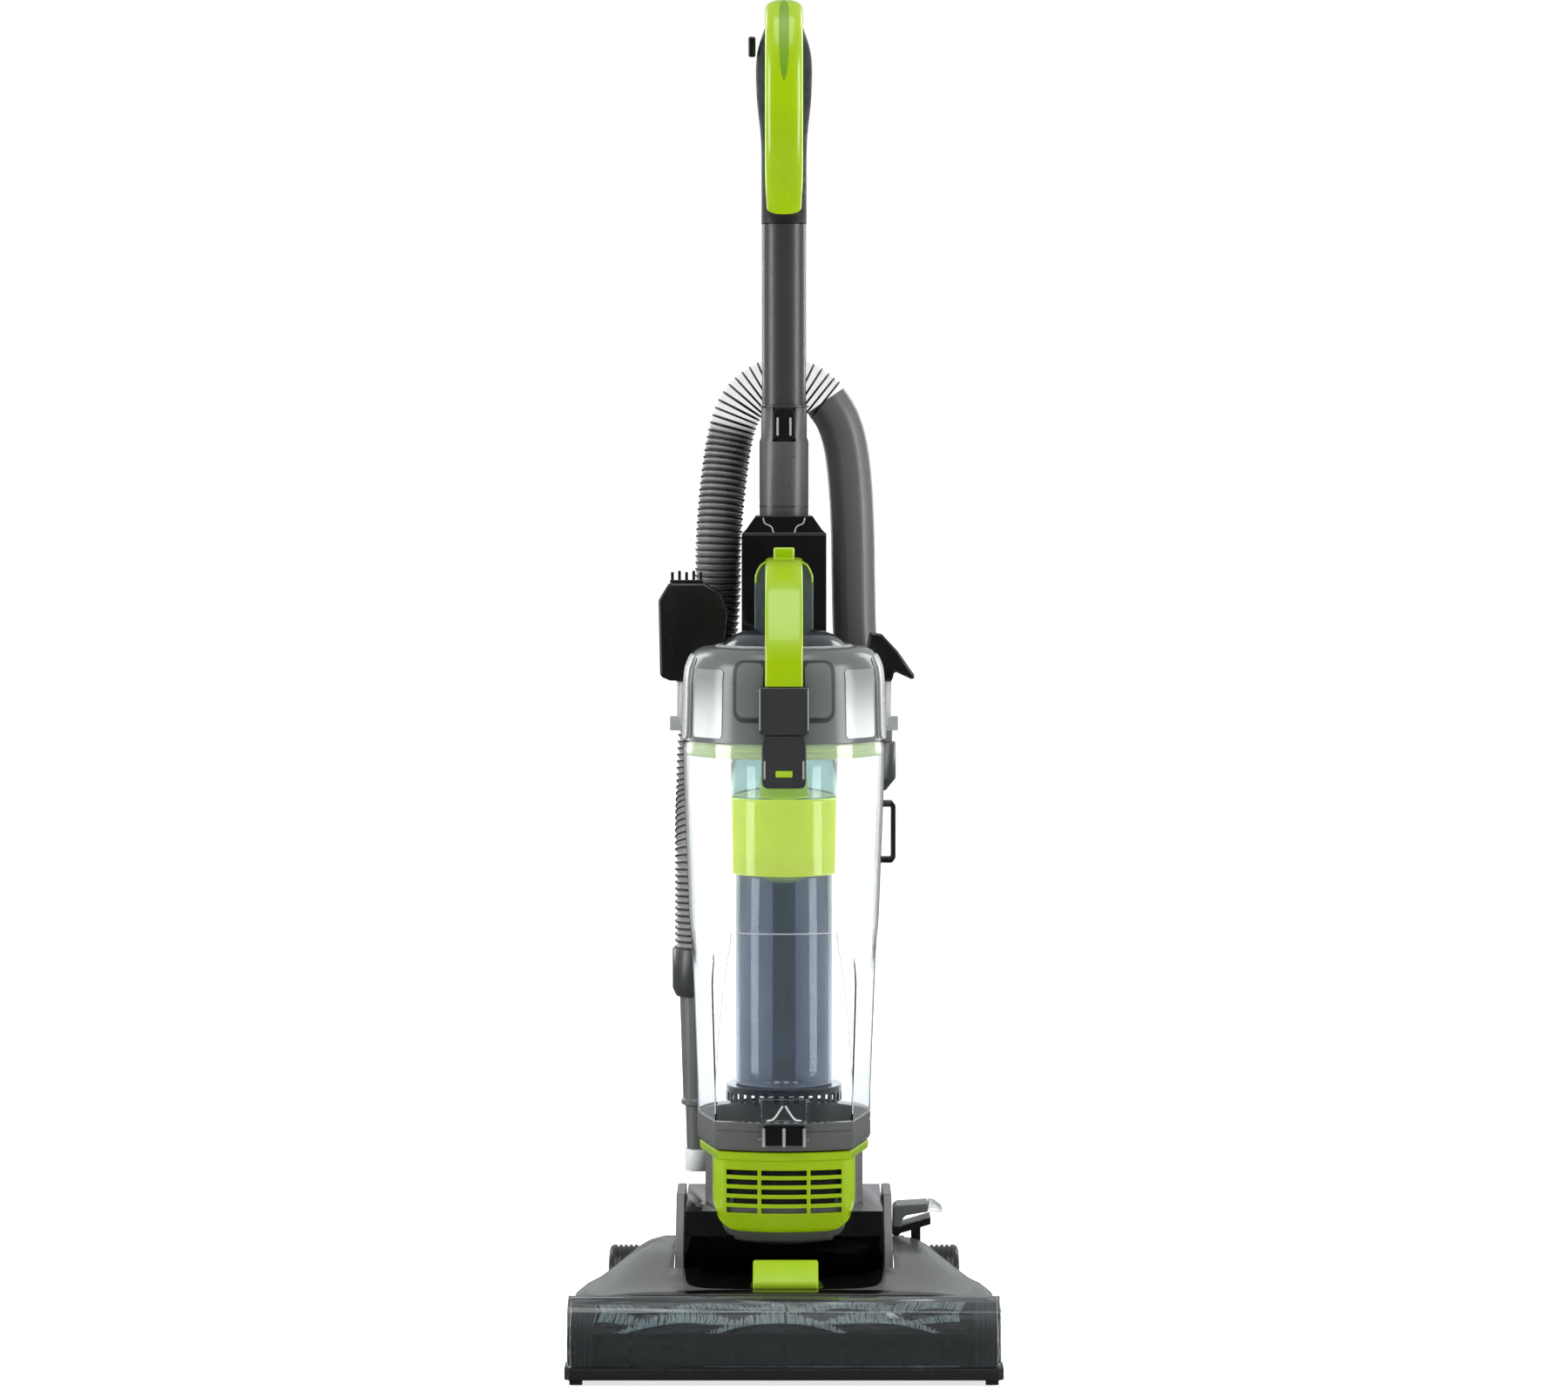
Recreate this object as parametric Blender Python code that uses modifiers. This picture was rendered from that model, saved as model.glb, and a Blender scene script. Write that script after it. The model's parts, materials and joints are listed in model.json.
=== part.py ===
# Upright bagless vacuum cleaner.
# Metres, +Z up, floor at z = 0, front of the cleaner towards -Y, pivot axis along X.
import math

import bmesh
import bpy
from mathutils import Vector

# ---------------------------------------------------------------- driving sizes
HEAD_WIDTH = 0.340
HEAD_FRONT_Y = -0.1605
BIN_RADIUS = 0.0805
BIN_HEIGHT = 0.300
PIVOT_Y = 0.055
PIVOT_Z = 0.080
SPINE_DEPTH = 0.040
TUBE_RADIUS = 0.0180
UPPER_TUBE_LENGTH = 0.147
HOSE_RADIUS = 0.0190
LOOP_HEIGHT = 0.180
LOOP_DEPTH = 0.076
WHEEL_RADIUS = 0.033
BRUSH_RADIUS = 0.026

# ---------------------------------------------------------------- named clearances
GAP = 0.0003
SLIP = 0.0006
RUN = 0.0010

# ---------------------------------------------------------------- sizes that follow
HALF_HEAD = HEAD_WIDTH / 2
CRADLE_HALF = BIN_RADIUS - 0.0020
CHEEK_IN = CRADLE_HALF + RUN
CHEEK_OUT = CHEEK_IN + 0.0070
NOTCH_HALF = CHEEK_OUT + RUN
HOUSING_RADIUS = BIN_RADIUS * 0.80
FACE_FRONT = BIN_RADIUS * 0.945
FACE_CORNER = BIN_RADIUS * 1.095
FACE_TILT = math.radians(13)
CRADLE_TOP = PIVOT_Z + 0.038
HOUSING_BASE = PIVOT_Z + 0.010
HOUSING_TOP = PIVOT_Z + 0.080
BAND_TOP = HOUSING_TOP + 0.0075
DOOR_BASE = BAND_TOP + GAP
DOOR_TOP = DOOR_BASE + 0.0230
BIN_BASE = DOOR_TOP + GAP
BIN_TOP = BIN_BASE + BIN_HEIGHT
LID_TOP = BIN_TOP + 0.0745
DOME_TOP = LID_TOP + 0.0150
DOOR_RADIUS = BIN_RADIUS - 0.0100
SPINE_FRONT = BIN_RADIUS + 0.0035
SPINE_BACK = SPINE_FRONT + SPINE_DEPTH
SPINE_HALF = 0.0450
SPINE_NECK_Z = BIN_TOP + 0.0300
SPINE_BOX_TOP = LID_TOP + 0.0870
SPINE_TOP = SPINE_BOX_TOP + 0.0150
NECK_HALF = 0.0345
LOWER_TUBE_RADIUS = TUBE_RADIUS + 0.0020
TUBE_Y = SPINE_BACK - LOWER_TUBE_RADIUS - 0.0030
LOWER_TUBE_TOP = SPINE_TOP + 0.0900
LOOP_BASE = LOWER_TUBE_TOP + UPPER_TUBE_LENGTH
LOOP_TOP = LOOP_BASE + LOOP_HEIGHT
HOSE_BACK_Y = TUBE_Y + TUBE_RADIUS + HOSE_RADIUS + 0.0010
HOSE_SIDE_X = SPINE_HALF + HOSE_RADIUS + 0.0065
SHELF_Z = BIN_TOP + 0.0015
TOOL_X = BIN_RADIUS - 0.0005
TOOL_Y = SPINE_FRONT + 0.0030
BRUSH_Y = HEAD_FRONT_Y + BRUSH_RADIUS + 0.0110
BRUSH_Z = BRUSH_RADIUS + 0.0035
SOLE_BASE = 0.0060
SOLE_TOP = 0.0120
COVER_FRONT = HEAD_FRONT_Y + 0.0320
COVER_BACK = PIVOT_Y + 0.0230
WHEEL_Y = PIVOT_Y + 0.0500
WHEEL_IN = 0.0080 + max(NOTCH_HALF + 0.0215, 0.1100)

# ---------------------------------------------------------------- finishes
FINISHES = {
    "grey": ("3F4143", 0.35, 0.0),
    "dark_grey": ("2B2C2E", 0.32, 0.0),
    "light_grey": ("8E9092", 0.35, 0.0),
    "black": ("0C0C0D", 0.35, 0.0),
    "lime": ("9CCB10", 0.22, 0.0),
    "pale_lime": ("C8E6A0", 0.30, 0.0),
    "clear": ("DCE3E6", 0.08, 0.0),
    "smoke": ("5A6066", 0.10, 0.0),
    "blue_smoke": ("56607A", 0.20, 0.0),
    "teal_smoke": ("7FA7A0", 0.15, 0.0),
    "white": ("E8E9EA", 0.35, 0.0),
    "rubber": ("151515", 0.80, 0.0),
    "hose": ("6B6D70", 0.45, 0.0),
    "foam": ("1C1D1F", 0.95, 0.0),
    "bristle": ("1E2427", 0.80, 0.0),
    "steel": ("A9ABAD", 0.28, 1.0),
    "copper": ("A4673A", 0.35, 1.0),
}

PARTS_NAME = "upright_vacuum"
CUTTERS_NAME = "cutters"


def start_clean():
    """Empty the scene and make the two collections."""
    for obj in list(bpy.data.objects):
        bpy.data.objects.remove(obj, do_unlink=True)
    for name in (PARTS_NAME, CUTTERS_NAME):
        collection = bpy.data.collections.new(name)
        bpy.context.scene.collection.children.link(collection)


def linear(channel):
    """One sRGB channel from 0 to 1 as a linear value."""
    if channel <= 0.04045:
        return channel / 12.92
    return ((channel + 0.055) / 1.055) ** 2.4


def paint(obj, finish):
    """Give the piece its own Principled material."""
    code, roughness, metallic = FINISHES[finish]
    colour = [linear(int(code[i:i + 2], 16) / 255) for i in (0, 2, 4)]
    material = bpy.data.materials.new(obj.name + "_" + finish)
    material.use_nodes = True
    shader = material.node_tree.nodes["Principled BSDF"]
    shader.inputs["Base Color"].default_value = (*colour, 1.0)
    shader.inputs["Roughness"].default_value = roughness
    shader.inputs["Metallic"].default_value = metallic
    obj.data.materials.append(material)


def solid(name, verts, faces, finish=None, smooth=False):
    """A closed mesh piece; with no finish it becomes a hidden cutter."""
    mesh = bpy.data.meshes.new(name)
    mesh.from_pydata(verts, [], faces)
    bm = bmesh.new()
    bm.from_mesh(mesh)
    bmesh.ops.remove_doubles(bm, verts=bm.verts, dist=1e-6)
    bmesh.ops.recalc_face_normals(bm, faces=bm.faces)
    bmesh.ops.connect_verts_nonplanar(bm, angle_limit=0.0005, faces=bm.faces)
    for face in bm.faces:
        face.smooth = smooth
    bm.to_mesh(mesh)
    bm.free()
    obj = bpy.data.objects.new(name, mesh)
    if finish is None:
        obj.hide_render = True
        obj.display_type = "WIRE"
        bpy.data.collections[CUTTERS_NAME].objects.link(obj)
    else:
        paint(obj, finish)
        bpy.data.collections[PARTS_NAME].objects.link(obj)
    return obj


def skin(name, rings, finish=None, closed=False, smooth=True):
    """Skin equal rings of points; the ends are capped unless the row closes on itself."""
    size = len(rings[0])
    verts = [point for ring in rings for point in ring]
    faces = []
    spans = len(rings) if closed else len(rings) - 1
    for i in range(spans):
        a = i * size
        b = ((i + 1) % len(rings)) * size
        for k in range(size):
            n = (k + 1) % size
            faces.append((a + k, a + n, b + n, b + k))
    if not closed:
        faces.append(tuple(range(size)))
        faces.append(tuple(range((len(rings) - 1) * size, len(rings) * size)))
    return solid(name, verts, faces, finish, smooth)


def box(name, low, high, finish=None):
    """A straight block between two corners."""
    rings = []
    for z in (low[2], high[2]):
        rings.append([(low[0], low[1], z), (high[0], low[1], z),
                      (high[0], high[1], z), (low[0], high[1], z)])
    return skin(name, rings, finish, smooth=False)


def placed(axis, along, u, v):
    """A point from its distance along an axis and its two cross distances."""
    if axis == "X":
        return (along, u, v)
    if axis == "Y":
        return (u, along, v)
    return (u, v, along)


def prism(name, outline, axis, low, high, finish=None):
    """A flat outline pulled straight from low to high along an axis."""
    rings = [[placed(axis, along, u, v) for u, v in outline] for along in (low, high)]
    return skin(name, rings, finish, smooth=False)


def round_section(angle, along):
    """A section that stays a circle."""
    return 1.0


def faced_section(angle, along):
    """Radius factor of the bin and motor housing, which grow a front face and two corners.

    The front face is a shallow arc between corners at 45 degrees, the side faces are flat,
    and the back stays round. The faces fade out going up the clear wall.
    """
    front = math.atan2(-math.cos(angle), -math.sin(angle))
    turn = abs(front)
    corner = FACE_CORNER / BIN_RADIUS
    face = FACE_FRONT / BIN_RADIUS
    bulge = (corner * corner - face * face) / (2 * face - corner * math.sqrt(2))
    bulge_radius = face + bulge
    if turn <= math.radians(45):
        reach = -bulge * math.cos(turn) + math.sqrt(
            bulge_radius ** 2 - (bulge * math.sin(turn)) ** 2)
    else:
        side = corner * math.cos(math.radians(45) - FACE_TILT)
        lean = math.cos(math.pi / 2 - turn - FACE_TILT)
        reach = side / max(lean, 0.1)
        if turn > math.radians(80):
            reach = min(reach, 1.0)
    fade = ramp(along, BIN_BASE + 0.105, BIN_BASE + 0.160)
    return reach + (1.0 - reach) * fade


def turned(name, profile, finish=None, centre=(0, 0), axis="Z", sides=32, smooth=True,
           section=round_section):
    """A closed profile of (radius, height) turned round an axis."""
    rings = []
    for i in range(sides):
        angle = 2 * math.pi * i / sides
        ring = []
        for radius, along in profile:
            reach = radius * section(angle, along)
            u = centre[0] + reach * math.cos(angle)
            v = centre[1] + reach * math.sin(angle)
            ring.append(placed(axis, along, u, v))
        rings.append(ring)
    return skin(name, rings, finish, closed=True, smooth=smooth)


def rod(name, axis, centre, radius, low, high, finish=None, sides=20):
    """A plain round bar."""
    rings = []
    for along in (low, high):
        ring = []
        for i in range(sides):
            angle = 2 * math.pi * (i + 0.5) / sides
            u = centre[0] + radius * math.cos(angle)
            v = centre[1] + radius * math.sin(angle)
            ring.append(placed(axis, along, u, v))
        rings.append(ring)
    return skin(name, rings, finish)


def spline(values, steps):
    """A smooth run through tuples of numbers, each span cut into equal steps."""
    rows = [Vector(value) for value in values]
    ends = [rows[0] * 2 - rows[1]] + rows + [rows[-1] * 2 - rows[-2]]
    result = []
    for i in range(1, len(ends) - 2):
        p0, p1, p2, p3 = ends[i - 1], ends[i], ends[i + 1], ends[i + 2]
        for k in range(steps):
            t = k / steps
            curve = (p1 * 2 + (p2 - p0) * t + (p0 * 2 - p1 * 5 + p2 * 4 - p3) * t * t
                     + (p1 * 3 - p0 - p2 * 3 + p3) * t * t * t)
            result.append(curve / 2)
    result.append(rows[-1])
    return result


def swept(name, centres, half_widths, half_depths, reference, sides, finish=None,
          ends=(None, None)):
    """An oval bar along a path; its width lies along the reference direction.

    The directions in ends, where given, square the first and last ring to them.
    """
    reference = Vector(reference)
    rings = []
    for i, centre in enumerate(centres):
        before = centres[max(i - 1, 0)]
        after = centres[min(i + 1, len(centres) - 1)]
        along = (Vector(after) - Vector(before)).normalized()
        if i == 0 and ends[0]:
            along = ends[0]
        if i == len(centres) - 1 and ends[1]:
            along = ends[1]
        depth = along.cross(reference).normalized()
        width = depth.cross(along).normalized()
        ring = []
        for k in range(sides):
            angle = 2 * math.pi * k / sides
            offset = width * (half_widths[i] * math.cos(angle))
            offset = offset + depth * (half_depths[i] * math.sin(angle))
            ring.append(tuple(Vector(centre) + offset))
        rings.append(ring)
    return skin(name, rings, finish)


def combine(target, operation, *others):
    """Add live exact Booleans to a piece."""
    for other in others:
        modifier = target.modifiers.new(other.name, "BOOLEAN")
        modifier.operation = operation
        modifier.solver = "EXACT"
        modifier.object = other


def cut(target, *others):
    combine(target, "DIFFERENCE", *others)


def fuse(target, *others):
    combine(target, "UNION", *others)


def soften(obj, width, segments=2):
    """Round the sharp edges of a piece."""
    modifier = obj.modifiers.new("edge_round", "BEVEL")
    modifier.width = width
    modifier.segments = segments
    modifier.limit_method = "ANGLE"
    modifier.angle_limit = math.radians(40)


def ramp(value, low, high):
    """Smooth step from 0 at low to 1 at high."""
    t = min(max((value - low) / (high - low), 0.0), 1.0)
    return t * t * (3 - 2 * t)


def mirrored(outline):
    """The outline on the other side of the middle plane."""
    return [(-u, v) for u, v in reversed(outline)]


SIDES = (("left", -1), ("right", 1))


# ================================================================ floor head
def sole_plate():
    """Bottom plate with pivot brackets, brush chamber, wheel arms and pockets."""
    edge = HALF_HEAD - 0.0055
    rear = NOTCH_HALF + 0.0170
    side = [(edge, HEAD_FRONT_Y + 0.0080), (edge, -0.030), (rear + 0.030, 0.025),
            (rear, PIVOT_Y + 0.008), (rear, WHEEL_Y + 0.012),
            (NOTCH_HALF, WHEEL_Y + 0.012), (NOTCH_HALF - 0.004, COVER_BACK + 0.012)]
    plate = prism("head_base", side + mirrored(side), "Z", SOLE_BASE, SOLE_TOP, "light_grey")

    mouth = box("cut_mouth", (-HALF_HEAD + 0.0200, BRUSH_Y - 0.0240, 0),
                (HALF_HEAD - 0.0200, BRUSH_Y + 0.0240, 0.020))
    chamber_y = BRUSH_Y + BRUSH_RADIUS + 0.0040
    chamber = box("add_chamber_wall", (-edge + 0.004, chamber_y, SOLE_BASE + 0.001),
                  (edge - 0.004, chamber_y + 0.004, 0.050))
    cross = box("add_cross_wall", (-CHEEK_OUT, -0.0600, SOLE_BASE + 0.001),
                (CHEEK_OUT, -0.0560, 0.050))
    fuse(plate, chamber, cross)
    cut(plate, mouth)

    for side_name, s in SIDES:
        cheek = [(-0.0570, SOLE_BASE + 0.001), (-0.0570, 0.060), (-0.0350, 0.075),
                 (PIVOT_Y - 0.045, CRADLE_TOP - 0.010), (PIVOT_Y - 0.034, CRADLE_TOP + 0.003),
                 (PIVOT_Y + 0.026, CRADLE_TOP + 0.003), (PIVOT_Y + 0.033, CRADLE_TOP - 0.008),
                 (COVER_BACK + 0.010, SOLE_BASE + 0.001)]
        x0, x1 = sorted((s * CHEEK_IN, s * CHEEK_OUT))
        wall = prism("add_cheek_" + side_name, cheek, "X", x0, x1)
        bore = rod("cut_trunnion_" + side_name, "X", (PIVOT_Y, PIVOT_Z), 0.0100 + GAP,
                   x0 - 0.002, x1 + 0.002)
        x0, x1 = sorted((s * (rear - 0.0150), s * (rear - 0.0010)))
        arm = box("add_wheel_arm_" + side_name, (x0, PIVOT_Y + 0.005, SOLE_BASE + 0.001),
                  (x1, WHEEL_Y + 0.009, WHEEL_RADIUS + 0.009))
        x0, x1 = sorted((s * (rear - 0.0100), s * (WHEEL_IN + 0.0270)))
        stub = rod("add_wheel_stub_" + side_name, "X", (WHEEL_Y, WHEEL_RADIUS), 0.0040, x0, x1)
        x0, x1 = sorted((s * (HALF_HEAD - 0.0185), s * (HALF_HEAD - 0.0110)))
        block = box("add_brush_block_" + side_name, (x0, BRUSH_Y - 0.0090, SOLE_BASE + 0.001),
                    (x1, BRUSH_Y + 0.0310, BRUSH_Z + 0.0100))
        seat = rod("cut_brush_seat_" + side_name, "X", (BRUSH_Y, BRUSH_Z), 0.0040 + GAP,
                   x0 - 0.001, x1 + 0.001)
        fuse(plate, wall, arm, stub, block)
        cut(plate, bore, seat)
        x0, x1 = sorted((s * 0.0500, s * 0.0640))
        pocket = box("cut_roller_pocket_" + side_name, (x0, -0.0870, 0), (x1, -0.0640, 0.030))
        cut(plate, pocket)
        pin = rod("add_roller_pin_" + side_name, "X", (-0.0755, 0.0100), 0.0020,
                  x0 - 0.003, x1 + 0.003, sides=12)
        fuse(plate, pin)

    belt_slot = box("cut_belt_slot", (BELT_X - 0.0050, chamber_y - 0.001, SOLE_TOP + 0.001),
                    (BELT_X + 0.0050, chamber_y + 0.005, 0.060))
    cut(plate, belt_slot)
    saddle = box("add_motor_saddle", (BELT_X - 0.0420, MOTOR_Y - 0.010, SOLE_TOP - 0.001),
                 (BELT_X - 0.0120, MOTOR_Y + 0.010, MOTOR_Z - 0.0100))
    saddle_bed = rod("cut_motor_bed", "X", (MOTOR_Y, MOTOR_Z), 0.0165 + GAP,
                     BELT_X - 0.050, BELT_X - 0.005, sides=28)
    fuse(plate, saddle)
    cut(plate, saddle_bed)


BELT_X = HALF_HEAD - 0.0240
MOTOR_Y = BRUSH_Y + 0.0720
MOTOR_Z = 0.0380


def cover_half_width(y):
    """Half width of the head cover at a depth."""
    return HALF_HEAD - 0.0030 - (HALF_HEAD - 0.0030 - NOTCH_HALF - 0.0210) * ramp(y, -0.060, 0.070)


def cover_height(x, y):
    """Height of the head cover above the floor."""
    hump_x = 1.0 - ramp(abs(x), NOTCH_HALF + 0.020, NOTCH_HALF + 0.062)
    hump_x = hump_x * ramp(abs(x), NOTCH_HALF - 0.045, NOTCH_HALF - 0.002)
    hump_y = ramp(y, COVER_FRONT + 0.015, -0.020) * (1.0 - 0.5 * ramp(y, 0.055, 0.078))
    return 0.0655 + 0.0170 * hump_x * hump_y - 0.004 * ramp(abs(x), 0.110, 0.168)


def cover_ring(y, thickness):
    """One closed arch of the head cover, outside then inside."""
    fractions = [1.0, 1.0, 0.985, 0.95, 0.88, 0.80, 0.72, 0.64, 0.56, 0.48, 0.36]
    drops = [None, 0.0150, 0.0060, 0.0018] + [0.0] * 7
    half = cover_half_width(y)
    low = SOLE_TOP + GAP
    right = []
    for fraction, drop in zip(fractions, drops):
        x = half * fraction
        z = low if drop is None else cover_height(x, y) - drop
        right.append((x, z))
    outer = [(-x, z) for x, z in right] + [(0.0, cover_height(0.0, y))] + right[::-1]
    scale = 1 - thickness / half
    inner = []
    for x, z in reversed(outer):
        lower = z if z == low else z - thickness
        inner.append((x * scale, lower))
    return [(x, y, z) for x, z in outer + inner]


def head_cover():
    """Grey top cover with shoulders either side of the pivot."""
    stations = [COVER_FRONT, -0.112, -0.095, -0.078, -0.060, -0.042, -0.024, -0.006, 0.012,
                0.030, 0.046, 0.060, 0.070, COVER_BACK]
    rings = [cover_ring(y, 0.0030) for y in stations]
    cover = skin("head_cover", rings, "grey")
    notch = box("cut_cover_notch", (-CHEEK_OUT - SLIP, -0.0600 - SLIP, 0),
                (CHEEK_OUT + SLIP, 0.100, 0.150))
    pad_hole = box("cut_pad_hole", (PAD_X0 - 0.0008, PAD_Y0 - 0.0012, 0.040),
                   (PAD_X1 + 0.0008, PAD_Y1 + 0.0014, 0.090))
    post_hole = box("cut_post_hole", (PEDAL_X + 0.0070, PIVOT_Y - 0.010, 0.050),
                    (PEDAL_X + 0.0250, PIVOT_Y + 0.010, 0.100))
    cut(cover, notch, pad_hole, post_hole)


def brush_window():
    """Clear front window that wraps the brush chamber."""
    front = HEAD_FRONT_Y + 0.0030
    outer = [(COVER_FRONT - GAP, 0.0655), (COVER_FRONT - 0.0100, 0.0640),
             (front + 0.0075, 0.0560), (front + 0.0020, 0.0440), (front, 0.0300), (front, 0.0135)]
    inner = [(front + 0.0025, 0.0135), (front + 0.0025, 0.0300), (front + 0.0045, 0.0432),
             (front + 0.0093, 0.0540), (COVER_FRONT - 0.0108, 0.0615), (COVER_FRONT - GAP, 0.0628)]
    window = prism("brush_window", outer + inner, "X", -HALF_HEAD + 0.0020, HALF_HEAD - 0.0020,
                   "smoke")
    end = outer + [(COVER_FRONT - GAP, 0.0135)]
    for side_name, s in SIDES:
        x0, x1 = sorted((s * (HALF_HEAD - 0.0045), s * (HALF_HEAD - 0.0020)))
        fuse(window, prism("add_window_end_" + side_name, end, "X", x0, x1))


def front_bumper():
    """Black strip along the bottom front edge with two corner feet."""
    front = HEAD_FRONT_Y
    side = [(0.0, front), (HALF_HEAD - 0.004, front), (HALF_HEAD, front + 0.004),
            (HALF_HEAD, front + 0.031), (HALF_HEAD - 0.0050, front + 0.031),
            (HALF_HEAD - 0.0050, front + 0.0075), (0.0, front + 0.0075)]
    outline = side[1:-1] + mirrored(side[1:-1])
    bumper = prism("front_bumper", outline, "Z", 0.0045, 0.0132, "rubber")
    for side_name, s in SIDES:
        x0, x1 = sorted((s * (HALF_HEAD - 0.0140), s * (HALF_HEAD - 0.0040)))
        foot = box("add_corner_foot_" + side_name, (x0, front + 0.0010, 0.0008),
                   (x1, front + 0.0070, 0.0060))
        fuse(bumper, foot)


def brush_roll():
    """Brush core with its journals and pulley, and two screw-shaped bristle strips."""
    end = HALF_HEAD - 0.0115
    core_end = HALF_HEAD - 0.0190
    pulley_low = BELT_X - 0.0045
    pulley_high = BELT_X + 0.0045
    profile = [(0, -end), (0.0040, -end), (0.0040, -core_end), (0.0150, -core_end),
               (0.0150, pulley_low), (0.0120, pulley_low + 0.0005), (0.0120, pulley_high - 0.0005),
               (0.0140, pulley_high), (0.0140, core_end), (0.0040, core_end), (0.0040, end),
               (0, end)]
    turned("brush_core", profile, "black", (BRUSH_Y, BRUSH_Z), "X", 24)
    start = -core_end + 0.004
    stop = pulley_low - 0.0040
    steps = 28
    for number, phase in (("a", 0.0), ("b", math.pi)):
        rings = []
        for i in range(steps + 1):
            t = i / steps
            x = start + (stop - start) * t
            turn = phase + 2 * math.pi * 1.0 * abs(t - 0.5)
            ring = []
            for radius, offset in ((0.0150 + SLIP, -0.13), (0.0150 + SLIP, 0.13),
                                   (BRUSH_RADIUS, 0.055), (BRUSH_RADIUS, -0.055)):
                angle = turn + offset
                ring.append((x, BRUSH_Y + radius * math.cos(angle),
                             BRUSH_Z + radius * math.sin(angle)))
            rings.append(ring)
        skin("bristle_strip_" + number, rings, "bristle", smooth=False)


def brush_drive():
    """Small motor in the head, its pinion and the belt to the brush."""
    length = 0.0400
    high = BELT_X - 0.0065
    motor = rod("brush_motor", "X", (MOTOR_Y, MOTOR_Z), 0.0165, high - length, high, "steel", 28)
    hole = rod("cut_motor_shaft", "X", (MOTOR_Y, MOTOR_Z), 0.0022, high - 0.0120, high + 0.001)
    cut(motor, hole)
    profile = [(0, high - 0.0100), (0.0018, high - 0.0100), (0.0018, BELT_X - 0.0045),
               (0.0060, BELT_X - 0.0045), (0.0060, BELT_X + 0.0045), (0, BELT_X + 0.0045)]
    turned("motor_pinion", profile, "steel", (MOTOR_Y, MOTOR_Z), "X", 20)
    belt_loop()


def belt_loop():
    """Flat belt round the two pulleys."""
    reach = math.hypot(MOTOR_Y - BRUSH_Y, MOTOR_Z - BRUSH_Z)
    tilt = math.atan2(MOTOR_Z - BRUSH_Z, MOTOR_Y - BRUSH_Y)
    big = 0.0120 + GAP
    small = 0.0060 + GAP
    spread = math.acos((big - small) / reach)
    rings = []
    arcs = ((BRUSH_Y, BRUSH_Z, big, spread, 2 * math.pi - spread, 14),
            (MOTOR_Y, MOTOR_Z, small, -spread, spread, 10))
    for y, z, radius, first, last, steps in arcs:
        for i in range(steps + 1):
            angle = tilt + first + (last - first) * i / steps
            ring = []
            for r, x in ((radius, -0.0035), (radius, 0.0035),
                         (radius + 0.0016, 0.0035), (radius + 0.0016, -0.0035)):
                ring.append((BELT_X + x, y + r * math.cos(angle), z + r * math.sin(angle)))
            rings.append(ring)
    skin("drive_belt", rings, "rubber", closed=True, smooth=False)


def wheels():
    """Two rear wheels on stubs and two small front rollers on pins."""
    r = WHEEL_RADIUS
    for side_name, s in SIDES:
        x = [s * (WHEEL_IN + d) for d in (0.0, 0.0035, 0.0225, 0.0260)]
        profile = [(0.0040 + GAP, x[0]), (r - 0.0040, x[0]), (r, x[1]), (r, x[2]),
                   (r - 0.0040, x[3]), (0.0150, x[3]), (0.0130, x[2]), (0.0040 + GAP, x[2])]
        turned("rear_wheel_" + side_name, profile, "black", (WHEEL_Y, r), "X", 24)
        x0 = s * 0.0510
        x1 = s * 0.0630
        profile = [(0.0020 + GAP, x0), (0.0100, x0), (0.0100, x1), (0.0020 + GAP, x1)]
        turned("front_roller_" + side_name, profile, "black", (-0.0755, 0.0100), "X", 16)


PAD_X0 = -0.0245
PAD_X1 = 0.0270
PAD_Y0 = -0.0970
PAD_Y1 = -0.0640
PEDAL_X = CHEEK_OUT + 0.0045
PEDAL_Z = 0.0880


def pedals():
    """Green foot pad on the deck, and the recline lever with its clear tip."""
    side = [(PAD_Y0, 0.0630), (PAD_Y1, 0.0630), (PAD_Y1, 0.0790), (PAD_Y1 - 0.0040, 0.0830),
            (PAD_Y1 - 0.0110, 0.0835), (PAD_Y0 + 0.0040, 0.0730), (PAD_Y0, 0.0690)]
    pad = prism("foot_pad", side, "X", PAD_X0, PAD_X1, "lime")
    soften(pad, 0.0018)
    slope = 0.30
    x0, x1 = PEDAL_X, PEDAL_X + 0.0280
    z0, z1 = PEDAL_Z, PEDAL_Z + 0.0280 * slope
    arm = [(x0, z0 - 0.0028), (x1, z1 - 0.0028), (x1, z1 + 0.0028), (x0, z0 + 0.0028)]
    y0, y1 = PIVOT_Y - 0.0150, PIVOT_Y + 0.0150
    lever = prism("pedal_lever", arm, "Y", y0, y1, "light_grey")
    barrel = rod("add_pedal_barrel", "Y", (PEDAL_X, PEDAL_Z), 0.0040, y0, y1, sides=20)
    post = box("add_pedal_post", (PEDAL_X + 0.0125, PIVOT_Y - 0.0070, 0.0700),
               (PEDAL_X + 0.0200, PIVOT_Y + 0.0070, PEDAL_Z + 0.0030))
    fuse(lever, barrel, post)
    x0, x1 = x1 + GAP, x1 + 0.0130
    z0, z1 = PEDAL_Z + (x0 - PEDAL_X) * slope, PEDAL_Z + (x1 - PEDAL_X) * slope
    tip = [(x0, z0 - 0.0035), (x1, z1 - 0.0020), (x1, z1 + 0.0020), (x0, z0 + 0.0040)]
    prism("pedal_tip", tip, "Y", y0, y1, "clear")


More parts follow.
